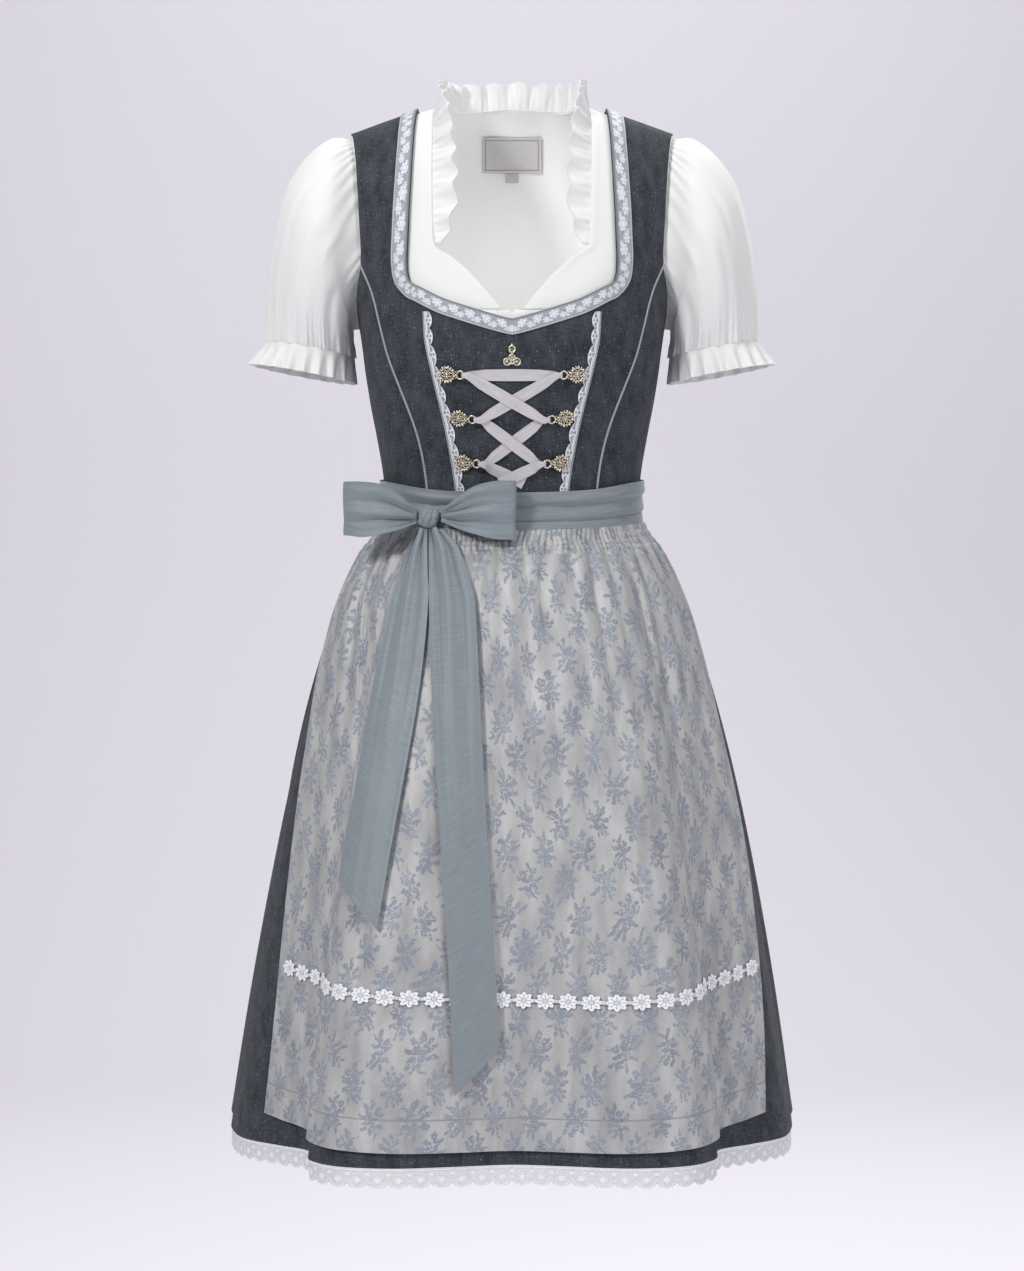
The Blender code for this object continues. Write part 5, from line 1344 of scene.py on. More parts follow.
def skirt_crease(angle, height):
    """Soft lesser folds between the deep ones, uneven in length, depth and spacing."""
    angle = (angle + 180) % 360 - 180
    rise = 0.0
    for crease in SKIRT_CREASES:
        share = (crease.top - height) / (crease.top - crease.bottom)
        if 0 < share < 1:
            aside = (angle - crease.angle - crease.lean * (share - 0.5) + 180) % 360 - 180
            if abs(aside) < 4 * crease.width:
                fade = math.sin(math.pi * share) ** 0.6
                rise += crease.depth * fade * bell(aside, 0, crease.width)
    return rise * (BACK_CREASE_DEPTH if abs(angle) > 90 else 1)


def skirt_panel(node, angles, columns, middle):
    """Gathered where it is sewn to the waist beside the apron and behind."""

    def angle_at(u):
        return spread(angles, u)

    def place(u, w):
        return skirt_surface(angle_at(u), (1 - w) * HEM_ROW)

    def relief(u, w):
        angle = angle_at(u)
        height = read_smooth(SKIRT_HEIGHTS, (1 - w) * HEM_ROW)
        around = abs((angle + 180) % 360 - 180)
        behind = min(max((around - 62) / 30, 0), 1)
        fade = max(1 - (WAIST_HEIGHT - height) / WAIST_GATHER_LENGTH, 0) * behind
        sway = 4 * wander(angle * 0.05, height * 0.01, 9.5)
        gather = WAIST_GATHER_DEPTH * fade * math.cos(math.radians(angle) * WAIST_GATHERS + sway)
        return skirt_crease(angle, height) + gather

    lay_cloth(
        node, columns, SKIRT_ROWS, place, DRESS_WALL, CHARCOAL_LINEN, "charcoal_linen", held="hung",
        grain_at=lambda point: grain(point, middle), relief=relief,
    )


skirt_panel("skirt_front", FRONT_ANGLES, 264, 0)
skirt_panel("skirt_back_right", BACK_RIGHT_ANGLES, 224, 135)
skirt_panel("skirt_back_left", BACK_LEFT_ANGLES, 224, 225)

# Lace under the hem: white net lace with a row of small blossoms and pointed scallops, sewn in behind the
# hem. Its net holes are far under 4 mm.
HEM_LACE_PITCH_ANGLE = 3.6
HEM_LACE_TOP = HEM_HEIGHT - 0.7
HEM_LACE_BOTTOM = HEM_HEIGHT - 20
HEM_LACE_NOTCH = 5
HEM_LACE_OUT = 0.5
HEM_LACE_REPEAT = 17.2


def hem_net():
    finish, shader, across, along = cloth_finish("hem_net", 0.9, sheen=0.2, specular=0.2)
    beat = across.cell(HEM_LACE_REPEAT)
    net = grains(across / 1.5, along / 1.5, "DISTANCE_TO_EDGE").below(0.24, 0.07)
    point_edge = (beat * math.pi / HEM_LACE_REPEAT).run("COSINE").run("ABSOLUTE") * -HEM_LACE_NOTCH + 5.0
    edge = along.near(point_edge, 1.2, 0.4)
    rise = along - 8.5
    far = length_of(beat, rise)
    petals = (rise.run("ARCTAN2", beat) * 3.0).run("SINE").run("ABSOLUTE")
    blossom = (far - petals * 1.8).below(1.9, 0.4)
    far_side = beat.run("ABSOLUTE") - HEM_LACE_REPEAT / 2
    high = along - 12.5
    sprig = (length_of(far_side, high) - 2.0).below(0.2, 0.4)
    tape = along.near(18.2, 1.0, 0.3)
    dense = edge.most(blossom, sprig, tape)
    cover = net.most(dense)
    wire(shader, "Alpha", cover)
    wire(shader, "Base Color", dyed(dense, (0.74, 0.74, 0.78), (0.88, 0.88, 0.90)))
    raised(shader, dense + net * 0.4, 0.4)
    return finish


HEM_NET = hem_net()


def hem_lace(node, start_angle, end_angle):
    scallops = round((end_angle - start_angle) / HEM_LACE_PITCH_ANGLE)

    def place(u, w):
        angle = start_angle + (end_angle - start_angle) * u
        point = abs(math.sin(math.pi * scallops * u)) ** 0.8
        bottom = HEM_LACE_BOTTOM + HEM_LACE_NOTCH * (1 - point)
        top = moved_out(skirt_surface, angle, HEM_ROW, HEM_LACE_OUT)
        return Vector((top.x, top.y, bottom + (HEM_LACE_TOP - bottom) * w))

    def relief(u, w):
        return skirt_crease(start_angle + (end_angle - start_angle) * u, HEM_LACE_TOP)

    lay_cloth(
        node, scallops * 8, 4, place, 0.6, HEM_NET, "white_lace", held="gathered",
        flat=(scallops * HEM_LACE_REPEAT * MM, (HEM_LACE_TOP - HEM_LACE_BOTTOM) * MM), relief=relief,
    )


hem_lace("hem_lace_front", -90, 90)
hem_lace("hem_lace_back_right", 90, 180)
hem_lace("hem_lace_back_left", 180, 270)

# The apron: silver satin jacquard with woven blue-grey sprays, gathered under a shirred header and hemmed
# with a line of stitches.
APRON_WALL = 1.4
ApronEdge = namedtuple("ApronEdge", "height left_angle right_angle")
APRON_EDGES = [
    ApronEdge(*row)
    for row in (
        (-457, -79, 79), (-500, -80, 79), (-550, -74, 76), (-620, -68, 72), (-710, -64, 71), (-820, -61, 67),
        (-930, -59, 63), (-1030, -58, 59),
    )
]
APRON_OUT = DRESS_WALL + 3.2
APRON_GATHERS = 20
APRON_GATHER_DEPTH = 2.0
APRON_HEM_RISE = 16
APRON_TOP = APRON_EDGES[0].height
APRON_BOTTOM = APRON_EDGES[-1].height
APRON_COLUMNS = 2 * APRON_GATHERS


def apron_angle(u, height):
    depths = [-edge.height for edge in APRON_EDGES]
    left = read_by_key(depths, [edge.left_angle for edge in APRON_EDGES], -height)
    right = read_by_key(depths, [edge.right_angle for edge in APRON_EDGES], -height)
    return left + (right - left) * u


def apron_point(u, height, out):
    """A point on the apron's form; gathers run down from the header and fade."""
    angle = apron_angle(u, height)
    share = (height - APRON_BOTTOM) / (APRON_TOP - APRON_BOTTOM)
    depth = APRON_GATHER_DEPTH * max(share, 0) ** 3
    gather = depth * math.cos(2 * math.pi * APRON_GATHERS * u)
    return on_skirt(angle, height, out + gather)


def apron_hem(u):
    return APRON_BOTTOM + APRON_HEM_RISE * abs(2 * u - 1) ** 3


def apron_place(u, w):
    hem = apron_hem(u)
    return apron_point(u, hem + (APRON_TOP - hem) * w, APRON_OUT)


APRON_FLAT_WIDTH = 0.74
APRON_FLAT_LENGTH = 0.585
APRON_HEM_WIDTH = 0.031
# Satin ground; the spread between these two carries the weave and painted sheen.
SATIN_DARK = (0.29, 0.292, 0.305)
SATIN_LIGHT = (0.53, 0.525, 0.525)
SPRAY_DARK = (0.112, 0.138, 0.180)
SPRAY_LIGHT = (0.295, 0.338, 0.405)
SPRAY_PITCH = 46.0
SPRAY_DROP = 64.0
SPRAY_SIZE = 1.26
Leaf = namedtuple("Leaf", "across along turn length width")
SPRAY_LEAVES = [
    Leaf(*row)
    for row in (
        (0.5, 11.5, 80, 5.6, 2.5), (-4.6, 8.0, 140, 5.0, 2.3), (5.4, 7.0, 40, 5.2, 2.4),
        (-7.6, 1.5, 165, 4.6, 2.2), (-1.6, 3.4, 110, 4.4, 3.2), (4.4, 1.2, 20, 5.4, 2.6),
        (9.4, 3.4, 60, 3.6, 2.0), (-4.2, -3.8, 205, 5.0, 2.5), (2.0, -5.0, 300, 4.8, 3.0),
        (7.4, -5.6, 340, 4.2, 2.0), (-2.0, -10.2, 245, 5.2, 2.3), (3.2, -12.4, 285, 4.2, 1.8),
        (-7.2, -9.2, 215, 3.4, 1.8),
    )
]


def leaf_spray():
    """One spray of leaves about a middle: where its leaves lie, and the strokes in them."""
    group, (across, along), out = new_group("leaf_spray", ("Across", "Along"), ("Leaves", "Strokes"))
    leaves = None
    strokes = None
    for leaf in SPRAY_LEAVES:
        turn = math.radians(leaf.turn)
        right = across - leaf.across
        up = along - leaf.along
        run = right * math.cos(turn) + up * math.sin(turn)
        aside = up * math.cos(turn) - right * math.sin(turn)
        share = (run / leaf.length) * (run / leaf.length) + (aside / leaf.width) * (aside / leaf.width)
        here = share.below(0.9, 0.35)
        rib = (aside * 5.2 + run.run("ABSOLUTE") * 2.4).swing()
        leaves = leaves.most(here) if leaves else here
        strokes = strokes.most(here * rib) if strokes else here * rib
    group.links.new(leaves.socket, out.inputs["Leaves"])
    group.links.new(strokes.socket, out.inputs["Strokes"])
    return group


LEAF_SPRAY = leaf_spray()


def spray(across, along):
    return used(LEAF_SPRAY, {"Across": across, "Along": along}, ("Leaves", "Strokes"))


def silver_jacquard():
    """Sprays in half drop, each second row turned about, on plain satin, over a line of hem stitches; the
    satin's broad light and dark zones are painted sheen.
    """
    finish, shader, across, along = cloth_finish(
        "silver_jacquard", 0.5, sheen=0.1, metallic=0.12, anisotropic=0.3
    )
    sway = (mottle(across / 70, along / 70) - 0.5) * 44.0
    rough_across = across + sway + (mottle(across / 7, along / 7, 3.0) - 0.5) * 10.0
    rough_along = along + sway * 0.6 + (mottle(across / 7 + 31.0, along / 7, 3.0) - 0.5) * 10.0
    fray = mottle(across / 1.7, along / 1.4, 3.0, 0.8)
    leaflet = grains(across / 2.3 + fray * 0.9, along / 1.9, "F1")
    one_across = rough_across.cell(SPRAY_PITCH) / SPRAY_SIZE
    one, one_strokes = spray(one_across, rough_along.cell(SPRAY_DROP) / SPRAY_SIZE)
    half_across = (rough_across + SPRAY_PITCH / 2).cell(SPRAY_PITCH)
    half_along = (rough_along + SPRAY_DROP / 2).cell(SPRAY_DROP)
    two, two_strokes = spray(half_across / -SPRAY_SIZE, half_along / SPRAY_SIZE)
    leaves = one.most(two)
    strokes = one_strokes.most(two_strokes)
    shade, height = threads(across, along, 0.4, 0.8)
    # Broad soft light and dark zones in the satin ground: painted sheen.
    cloudy = mottle(across / 24, along / 70) - 0.5
    stitches = along.near(APRON_HEM_WIDTH / MM, 0.8, 0.5)
    ground = dyed(shade + cloudy * 1.9 - stitches * 0.7 + 0.02, SATIN_DARK, SATIN_LIGHT)
    deep = mottle(across / 26 + 9.0, along / 34) * 1.5 + (fray - 0.5) * 2.2 + strokes * 0.4 - 0.35
    flower = dyed(deep, SPRAY_DARK, SPRAY_LIGHT)
    mask = leaflet.below(leaves * 0.78 + strokes * 0.12 + (fray - 0.5) * 0.6 - 0.10, 0.14)
    mask = mask * leaves.below(0.05, 0.05).run("MULTIPLY_ADD", -1.0, 1.0)
    wire(shader, "Base Color", dyed(mask * 0.8, ground, flower))
    wire(shader, "Roughness", mask * 0.10 + 0.52)
    raised(shader, height * 0.3 + mask * 0.8 - stitches * 1.2, 0.25, 0.6)
    return finish


SILVER_JACQUARD = silver_jacquard()
ApronCrease = namedtuple("ApronCrease", "share lean bottom depth width")
APRON_CREASES = [
    ApronCrease(*row)
    for row in (
        (0.045, 0.010, -860, -2.8, 0.010), (0.11, -0.012, -760, 2.4, 0.012),
        (0.165, -0.010, -960, -2.9, 0.008), (0.235, 0.006, -700, 2.2, 0.010),
        (0.30, -0.008, -840, -2.5, 0.009), (0.385, 0.004, -780, 2.1, 0.011),
        (0.455, 0.006, -1040, -2.9, 0.009), (0.515, -0.004, -720, 2.4, 0.010),
        (0.56, 0.010, -920, -2.8, 0.008), (0.62, 0.004, -800, 2.2, 0.012), (0.675, 0.012, -1060, -3.0, 0.008),
        (0.735, 0.006, -760, 2.1, 0.010), (0.79, 0.014, -940, -2.8, 0.009), (0.86, 0.008, -740, 2.4, 0.011),
        (0.93, 0.010, -980, -2.6, 0.010),
    )
]
# The folds grow from nothing over so many millimetres under the header
APRON_SETTLED = 22


def apron_folds(u, w):
    """The lesser folds it shares with the skirt, its own uneven gathers, and the stitched hem."""
    hem = apron_hem(u)
    height = hem + (APRON_TOP - hem) * w
    rise = skirt_crease(apron_angle(u, height), height) * 0.8
    for crease in APRON_CREASES:
        share = (APRON_TOP - height) / (APRON_TOP - crease.bottom)
        if share < 1:
            width = crease.width * (1 + share)
            rise += crease.depth * (1 - share) ** 0.7 * bell(u, crease.share + crease.lean * share, width)
    rise += 1.3 * wander(u * 7, w * 1.6, 5.5)
    rise *= min((APRON_TOP - height) / APRON_SETTLED, 1)
    rise -= 0.55 * bell(height - hem, APRON_HEM_WIDTH / MM, 2.2)
    return max(rise, -2.9)


lay_cloth(
    "apron_panel", 280, 84, apron_place, APRON_WALL, SILVER_JACQUARD, "silver_jacquard", held="gathered",
    rests_on=("cloth_skirt_front",), flat=(APRON_FLAT_WIDTH, APRON_FLAT_LENGTH), relief=apron_folds,
)

# Sash: blue-grey taffeta sewn to the apron's header, laid in flat folds round the waist.
SASH_WALL = 1.3
SashEdge = namedtuple("SashEdge", "angle top bottom")
SASH_EDGES = [
    SashEdge(*row)
    for row in (
        (0, -393, -432), (30, -390, -430), (60, -382, -425), (90, -377, -421), (135, -373, -417),
        (180, -371, -415),
    )
]
SASH_OUT = DRESS_WALL + 2.9
SASH_FOLD = 0.5


def dress_outside(angle, height, out):
    """A point off the dress near the waist, on the bodice or on the skirt."""
    if height >= WAIST_HEIGHT:
        upper, lower = FIGURE[WAIST_LEVEL - 1], FIGURE[WAIST_LEVEL]
        level = WAIST_LEVEL - (height - lower.height) / (upper.height - lower.height)
        return moved_level(figure_surface, angle, min(level, WAIST_LEVEL - 0.03), out)
    return moved_level(skirt_surface, angle, max(skirt_row_at(height), 0.03), out)


def sash_edge(angle, edge):
    around = abs((angle + 180) % 360 - 180)
    angles = [row.angle for row in SASH_EDGES]
    return read_by_key(angles, [getattr(row, edge) for row in SASH_EDGES], around)


TAFFETA_DARK = (0.125, 0.152, 0.173)
TAFFETA_LIGHT = (0.290, 0.332, 0.365)


def blue_grey_taffeta():
    """Taffeta with a fine rib across it, a little uneven; the rib runs along the band."""
    finish, shader, across, along = cloth_finish(
        "blue_grey_taffeta", 0.48, sheen=0.3, specular=0.45, anisotropic=0.3
    )
    rib = (along * (math.pi / 0.45) + (mottle(across / 18, along / 2) - 0.5) * 4.0).swing()
    slub = mottle(across / 26, along / 1.3, 3.0, 0.6)
    wire(shader, "Base Color", dyed(rib * 0.25 + slub * 0.95 - 0.08, TAFFETA_DARK, TAFFETA_LIGHT))
    raised(shader, rib * 0.5 + slub, 0.2, 0.5)
    return finish


BLUE_GREY_TAFFETA = blue_grey_taffeta()


def sash_folds(u, w):
    """Flat folds that run along the band and wander a little, one of them deep."""
    drift = 0.05 * wander(u * 4, 0.3, 8.5)
    rise = -2.2 * bell(w, 0.22 + drift, 0.03)
    rise += 1.5 * bell(w, 0.40 - drift, 0.08)
    rise -= 1.5 * bell(w, 0.60 + 1.5 * drift, 0.045)
    rise += 1.2 * bell(w, 0.80 - drift, 0.06)
    return rise + 0.5 * wander(u * 9, w * 4, 1.5)


def sash_band(node, start_angle, end_angle, columns):
    def place(u, w):
        angle = start_angle + (end_angle - start_angle) * u
        bottom = sash_edge(angle, "bottom")
        height = bottom + (sash_edge(angle, "top") - bottom) * w
        fold = SASH_FOLD * (1 - math.cos(4 * math.pi * w)) / 2
        return dress_outside(angle, height, SASH_OUT + fold)

    lay_cloth(
        node, columns, 28, place, SASH_WALL, BLUE_GREY_TAFFETA, "blue_grey_taffeta", held="folded",
        relief=sash_folds,
    )


sash_band("sash_front", -90, 90, 96)
sash_band("sash_back", 90, 270, 80)

# Header of the apron: the same jacquard, drawn up in fine tucks by rows of shirring.
HEADER_RIDGE = 1.0
HEADER_GAP = 0.05


def header_place(u, w):
    """Upright tucks, raised by turns, held by the rows of shirring."""
    angle = apron_angle(u, APRON_TOP)
    top = sash_edge(angle, "bottom") - 2 * SEAM_HALF_GAP
    low = APRON_TOP + HEADER_GAP
    height = low + (top - low) * w
    tuck = HEADER_RIDGE * math.cos(2 * math.pi * APRON_GATHERS * u)
    top_out = SASH_OUT + 1.2
    out = APRON_OUT + (top_out - APRON_OUT) * w
    return dress_outside(angle, height, out + tuck * (2 - 1.6 * w))


SHIRRING_ROWS = (0.16, 0.38, 0.60, 0.82)
FINE_TUCKS = 74


def shirring(u, w):
    """Sunk rows of stitches across the fine uneven tucks that they draw up."""
    tuck = 0.95 * math.cos(2 * math.pi * FINE_TUCKS * u + 4 * wander(u * 15, w * 2, 2.5))
    return tuck * min(8 * w, 1) + sum(-0.8 * bell(w, row, 0.05) for row in SHIRRING_ROWS)


lay_cloth(
    "apron_header", APRON_COLUMNS * 14, 26, header_place, APRON_WALL, SILVER_JACQUARD, "silver_jacquard",
    held="gathered", flat=(APRON_FLAT_WIDTH, 0.025), relief=shirring,
)

# Braid across the apron: white guipure flowers joined in a row, sewn on above the hem. Each flower is a
# small plate of lace with eight petals; short threads join them.
BRAID_MOTIFS = 27
BraidPoint = namedtuple("BraidPoint", "share height")
BRAID_LINE = [
    BraidPoint(*row)
    for row in (
        (0.0, -868), (0.12, -877), (0.3, -884), (0.5, -888), (0.7, -888), (0.88, -880), (1.0, -869),
    )
]
BRAID_INSET = 0.012
BRAID_GAP = 2.3
BRAID_WALL = 1.0
FLOWER_RADIUS = 8.1
FLOWER_CELLS = 12
BRAID_REPEAT = 17.2
JOIN_HALF_LENGTH = 1.9
JOIN_HALF_HEIGHT = 1.5


def braid_lace():
    finish, shader, across, along = cloth_finish("braid_lace", 0.85, sheen=0.25, specular=0.25)
    far = length_of(across, along)
    turn = along.run("ARCTAN2", across)
    ring = far.near(1.9, 0.4, 0.25)
    vein = (turn * 4.0).run("SINE").run("ABSOLUTE").below(0.28, 0.12) * (far - 5.9).below(0, 0.5)
    strand = mottle(across / 0.6, along / 0.6, 1.0)
    shade = (vein * 0.75 + ring * 0.6) * -1 + 1 + (strand - 0.5) * 0.5
    wire(shader, "Base Color", dyed(shade, (0.34, 0.35, 0.40), (0.86, 0.86, 0.90)))
    raised(shader, shade, 0.5)
    return finish


def braid_spot(right, up, length):
    """A point of the braid, right and up from its middle left end, in millimetres."""
    along = BRAID_INSET + (1 - 2 * BRAID_INSET) * min(max(right / length, 0), 1)
    middle = read_by_key([row.share for row in BRAID_LINE], [row.height for row in BRAID_LINE], along)
    height = middle + up
    hem = apron_hem(along)
    fold = apron_folds(along, (height - hem) / (APRON_TOP - hem))
    return apron_point(along, height, APRON_OUT + APRON_WALL + BRAID_GAP - BRAID_WALL + fold)


def flower_plate(motif):
    """A round plate cut to eight petals, flat, in millimetres."""
    flat = bmesh.new()
    bmesh.ops.create_grid(flat, x_segments=FLOWER_CELLS, y_segments=FLOWER_CELLS, size=1.0)
    lean = 0.3 * wander(motif * 1.7, 0.5, 2.5)
    for vertex in flat.verts:
        square = max(abs(vertex.co.x), abs(vertex.co.y))
        turn = math.atan2(vertex.co.y, vertex.co.x)
        petal = 0.66 + 0.34 * abs(math.cos(4 * (turn + lean)))
        reach = FLOWER_RADIUS * square * (1 + (petal - 1) * square)
        vertex.co = (reach * math.cos(turn), reach * math.sin(turn), 0)
    return flat


def join_plate():
    """The short threads between two flowers."""
    flat = bmesh.new()
    bmesh.ops.create_grid(flat, x_segments=4, y_segments=2, size=1.0)
    for vertex in flat.verts:
        vertex.co = (vertex.co.x * JOIN_HALF_LENGTH, vertex.co.y * JOIN_HALF_HEIGHT, 0)
    return flat


def flower_braid():
    length = BRAID_MOTIFS * BRAID_REPEAT
    shape = bmesh.new()
    plates = [(flower_plate(motif), (motif + 0.5) * BRAID_REPEAT) for motif in range(BRAID_MOTIFS)]
    plates += [(join_plate(), gap * BRAID_REPEAT) for gap in range(1, BRAID_MOTIFS)]
    for flat, middle in plates:
        flower_map = flat.loops.layers.uv.new("cloth")
        for face in flat.faces:
            for loop in face.loops:
                loop[flower_map].uv = loop.vert.co.xy * MM
        for vertex in flat.verts:
            vertex.co = braid_spot(middle + vertex.co.x, vertex.co.y, length) * MM
        plate_mesh = baked("braid_plate", flat)
        shape.from_mesh(plate_mesh)
        bpy.data.meshes.remove(plate_mesh)
    mesh = baked("flower_braid", shape)
    mesh.materials.append(braid_lace())
    made = settle(with_wall("cloth_flower_braid", mesh, BRAID_WALL, 1), "flower_braid")
    area = sum(face.area for face in made.data.polygons) / 2


flower_braid()

# Knot of the bow: the sash wrapped tightly round its own ends, its folds running with the wrap.
KNOT_CENTRE = Vector((-84, -103.9, -418))
KNOT_SIZE = Vector((27, 22, 25))
KNOT_TILT = math.radians(20)


def knot():
    shape = bmesh.new()
    bmesh.ops.create_uvsphere(shape, u_segments=72, v_segments=40, radius=0.5)
    knot_map = shape.loops.layers.uv.new("cloth")
    for vertex in shape.verts:
        point = vertex.co * 2
        drift = 0.5 * wander(point.x * 1.5, point.z * 1.5, point.y)
        fold = 0.5 + 0.5 * math.cos(math.pi * (3.6 * point.x + 0.9 * point.z * point.x + drift))
        ridge = 1.0 - 0.15 * (1 - fold) ** 3 - 0.05 * wander(point.x * 3, point.z * 3, 4.5)
        flat_ends = 1 - 0.10 * abs(point.z) ** 4
        drawn_in = ridge * (1 - 0.16 * (1 - abs(point.z)))
        vertex.co = Vector((point.x * drawn_in, point.y * ridge, point.z * flat_ends)) / 2
    stretch = Matrix.Diagonal((*(KNOT_SIZE * MM), 1))
    turn = Matrix.Rotation(KNOT_TILT, 4, "Y")
    seat = Matrix.Translation(KNOT_CENTRE * MM) @ turn @ stretch
    bmesh.ops.transform(shape, matrix=seat, verts=shape.verts)
    for face in shape.faces:
        for loop in face.loops:
            loop[knot_map].uv = (loop.vert.co.z, loop.vert.co.x * 1.5)
    mesh = baked("bow_knot", shape)
    mesh.materials.append(BLUE_GREY_TAFFETA)
    settle(placed("cloth_bow_knot", mesh), "bow_knot")


knot()

# Loops of the bow: each is the sash folded over at its outer end, its folds running out from the knot.
LoopRow = namedtuple("LoopRow", "across out middle half_height")
LEFT_LOOP = [
    LoopRow(*row)
    for row in (
        (-96.9, -107.4, -417, 7), (-112, -115, -413, 17), (-131, -117, -410, 25), (-150, -111, -410, 28),
        (-164, -103, -409, 27.5), (-170, -95, -409, 27), (-164, -89, -409, 26.5), (-150, -87, -410, 26),
        (-131, -88, -410, 23), (-112, -93.5, -413, 15), (-96.4, -99, -417, 6),
    )
]
RIGHT_LOOP = [
    LoopRow(*row)
    for row in (
        (-70.8, -108.6, -416, 6), (-56, -119, -414, 15), (-38, -129, -411, 24), (-18, -133, -411, 29),
        (-3, -131.5, -411, 29.5), (3, -127, -411, 29.5), (-3, -122.5, -411, 29), (-18, -120.5, -411, 27),
        (-38, -117, -411, 21), (-56, -111, -414, 13), (-70.7, -104.3, -416, 5),
    )
]
LOOP_CRUMPLES = 2
LOOP_CRUMPLE_DEPTH = 1.6


def loop_folds(u, w):
    """Folds that fan out from the knot and fade before the outer end."""
    near_knot = abs(2 * u - 1)
    reach = near_knot**0.8
    drift = 0.04 * wander(u * 3, 0.4, 6.5)
    rise = -4.4 * reach * bell(w, 0.27 + drift, 0.05)
    rise += 3.4 * reach * bell(w, 0.44 - drift, 0.06)
    rise -= 4.6 * reach**1.4 * bell(w, 0.62 + 2 * drift, 0.045)
    rise += 2.6 * reach * bell(w, 0.84 - drift, 0.06)
    rise -= 2.2 * reach**2 * bell(w, 0.12 - drift, 0.035)
    rise -= 0.5 * bell(w, 0.045, 0.012) + 0.5 * bell(w, 0.955, 0.012)
    return rise * min(12 * (1 - near_knot), 1) + 0.9 * wander(u * 7, w * 3, 3.5)


def bow_loop(node, table, flip):
    columns = [[row[index] for row in table] for index in range(4)]

    def place(u, w):
        share = 1 - u if flip else u
        place_on = share * (len(table) - 1)
        across, out, middle, half = (read_smooth(column, place_on) for column in columns)
        near_knot = abs(2 * share - 1)
        crumple = LOOP_CRUMPLE_DEPTH * math.cos(2 * math.pi * LOOP_CRUMPLES * w) * near_knot
        side = 1 if share < 0.5 else -0.5
        return Vector((across, out - crumple * side * (1 - near_knot**4), middle + (2 * w - 1) * half))

    lay_cloth(
        node, 110, 30, place, SASH_WALL, BLUE_GREY_TAFFETA, "blue_grey_taffeta", edges="", held="folded",
        relief=loop_folds,
    )


bow_loop("bow_loop_left", LEFT_LOOP, True)
bow_loop("bow_loop_right", RIGHT_LOOP, False)

# Tails of the bow: the two ends of the sash, pleated under the knot, opening as they hang over the apron
# and cut on a slant.
TailRow = namedtuple("TailRow", "height left right")
LEFT_TAIL = [
    TailRow(*row)
    for row in (
        (-429.9, -96, -86), (-448, -105, -85.5), (-475, -114, -84.5), (-501, -122, -83.5), (-550, -131, -87),
        (-602, -141, -93.5), (-668, -151, -104.5), (-734, -163, -116), (-777, -170, -123.5),
    )
]
LEFT_TAIL_TIP = 43
RIGHT_TAIL = [
    TailRow(*row)
    for row in (
        (-429.9, -84, -71), (-448, -84, -54), (-475, -83.5, -45), (-501, -83, -37), (-598, -79, -31.5),
        (-711, -71.5, -25.5), (-845, -62.5, -17.3), (-934, -57.5, -12.4),
    )
]
RIGHT_TAIL_TIP = 42
TAIL_OUT = APRON_OUT + APRON_WALL + APRON_GATHER_DEPTH + 2.8
TAIL_PLEATS = 2
TAIL_PLEAT_DEPTH = 1.8
TAIL_KNOT_RISE = 5
TAIL_KNOT_REACH = 70


TAIL_SCAN = [-75 + 3 * step for step in range(31)]
TAIL_ROW_STEP = 4
DEPTHS_OF_ROWS = {}


def front_line(row):
    """The foremost depths of the form under the tails at one height."""
    if row not in DEPTHS_OF_ROWS:
        DEPTHS_OF_ROWS[row] = [on_skirt(angle, -row * TAIL_ROW_STEP, TAIL_OUT) for angle in TAIL_SCAN]
    return DEPTHS_OF_ROWS[row]


def front_depth_at(across, height):
    """The foremost depth, at a distance from the centre, of the skirt's form moved out."""
    row, share = divmod(-height / TAIL_ROW_STEP, 1)
    depths = []
    for line in (front_line(int(row)), front_line(int(row) + 1)):
        found = []
        for start, end in zip(line, line[1:]):
            if min(start.x, end.x) <= across <= max(start.x, end.x) and start.x != end.x:
                found.append(start.y + (end.y - start.y) * (across - start.x) / (end.x - start.x))
        depths.append(min(found))
    return depths[0] + (depths[1] - depths[0]) * share


def tail_folds(u, w):
    """Sharp pleats under the knot that open downwards, and the hems down both sides."""
    fade = max(w - 0.35, 0) / 0.65
    rise = 0.0
    pleats = ((0.2, -2.0, 0.05, 0.9), (0.46, 1.9, 0.08, 0.7), (0.72, -2.2, 0.05, 1.0))
    for middle, depth, width, reach in pleats:
        rise += depth * fade**reach * bell(u, middle, width)
    rise -= 0.5 * bell(u, 0.06, 0.02) + 0.5 * bell(u, 0.94, 0.02)
    return rise + 0.8 * wander(u * 2, w * 9, 2.5)


def sash_tail(node, table, tip, tip_side):
    heights = [-row.height for row in table]
    lefts = [row.left for row in table]
    rights = [row.right for row in table]
    top, bottom = table[0].height, table[-1].height

    def place(u, w):
        slant = (1 - u) if tip_side == "left" else u
        low = bottom - tip * slant
        height = low + (top - low) * w
        key = min(-height, heights[-1])
        left = read_by_key(heights, lefts, key)
        right = read_by_key(heights, rights, key)
        beyond = max(-height - heights[-1], 0)
        run = (lefts[-1] - lefts[-2]) / (heights[-1] - heights[-2])
        across = left + (right - left) * u + run * beyond
        fade = max(w - 0.45, 0) / 0.55
        pleat = TAIL_PLEAT_DEPTH * math.cos(2 * math.pi * TAIL_PLEATS * u + 1) * fade
        near_knot = max(1 - (top - height) / TAIL_KNOT_REACH, 0)
        rise = pleat + near_knot**2 * TAIL_KNOT_RISE
        return Vector((across, front_depth_at(across, height) - rise, height))

    lay_cloth(
        node, 40, 110, place, SASH_WALL, BLUE_GREY_TAFFETA, "blue_grey_taffeta", edges="", held="hung",
        rests_on=("cloth_apron_panel",), relief=tail_folds,
    )


sash_tail("sash_tail_left", LEFT_TAIL, LEFT_TAIL_TIP, "right")
sash_tail("sash_tail_right", RIGHT_TAIL, RIGHT_TAIL_TIP, "left")

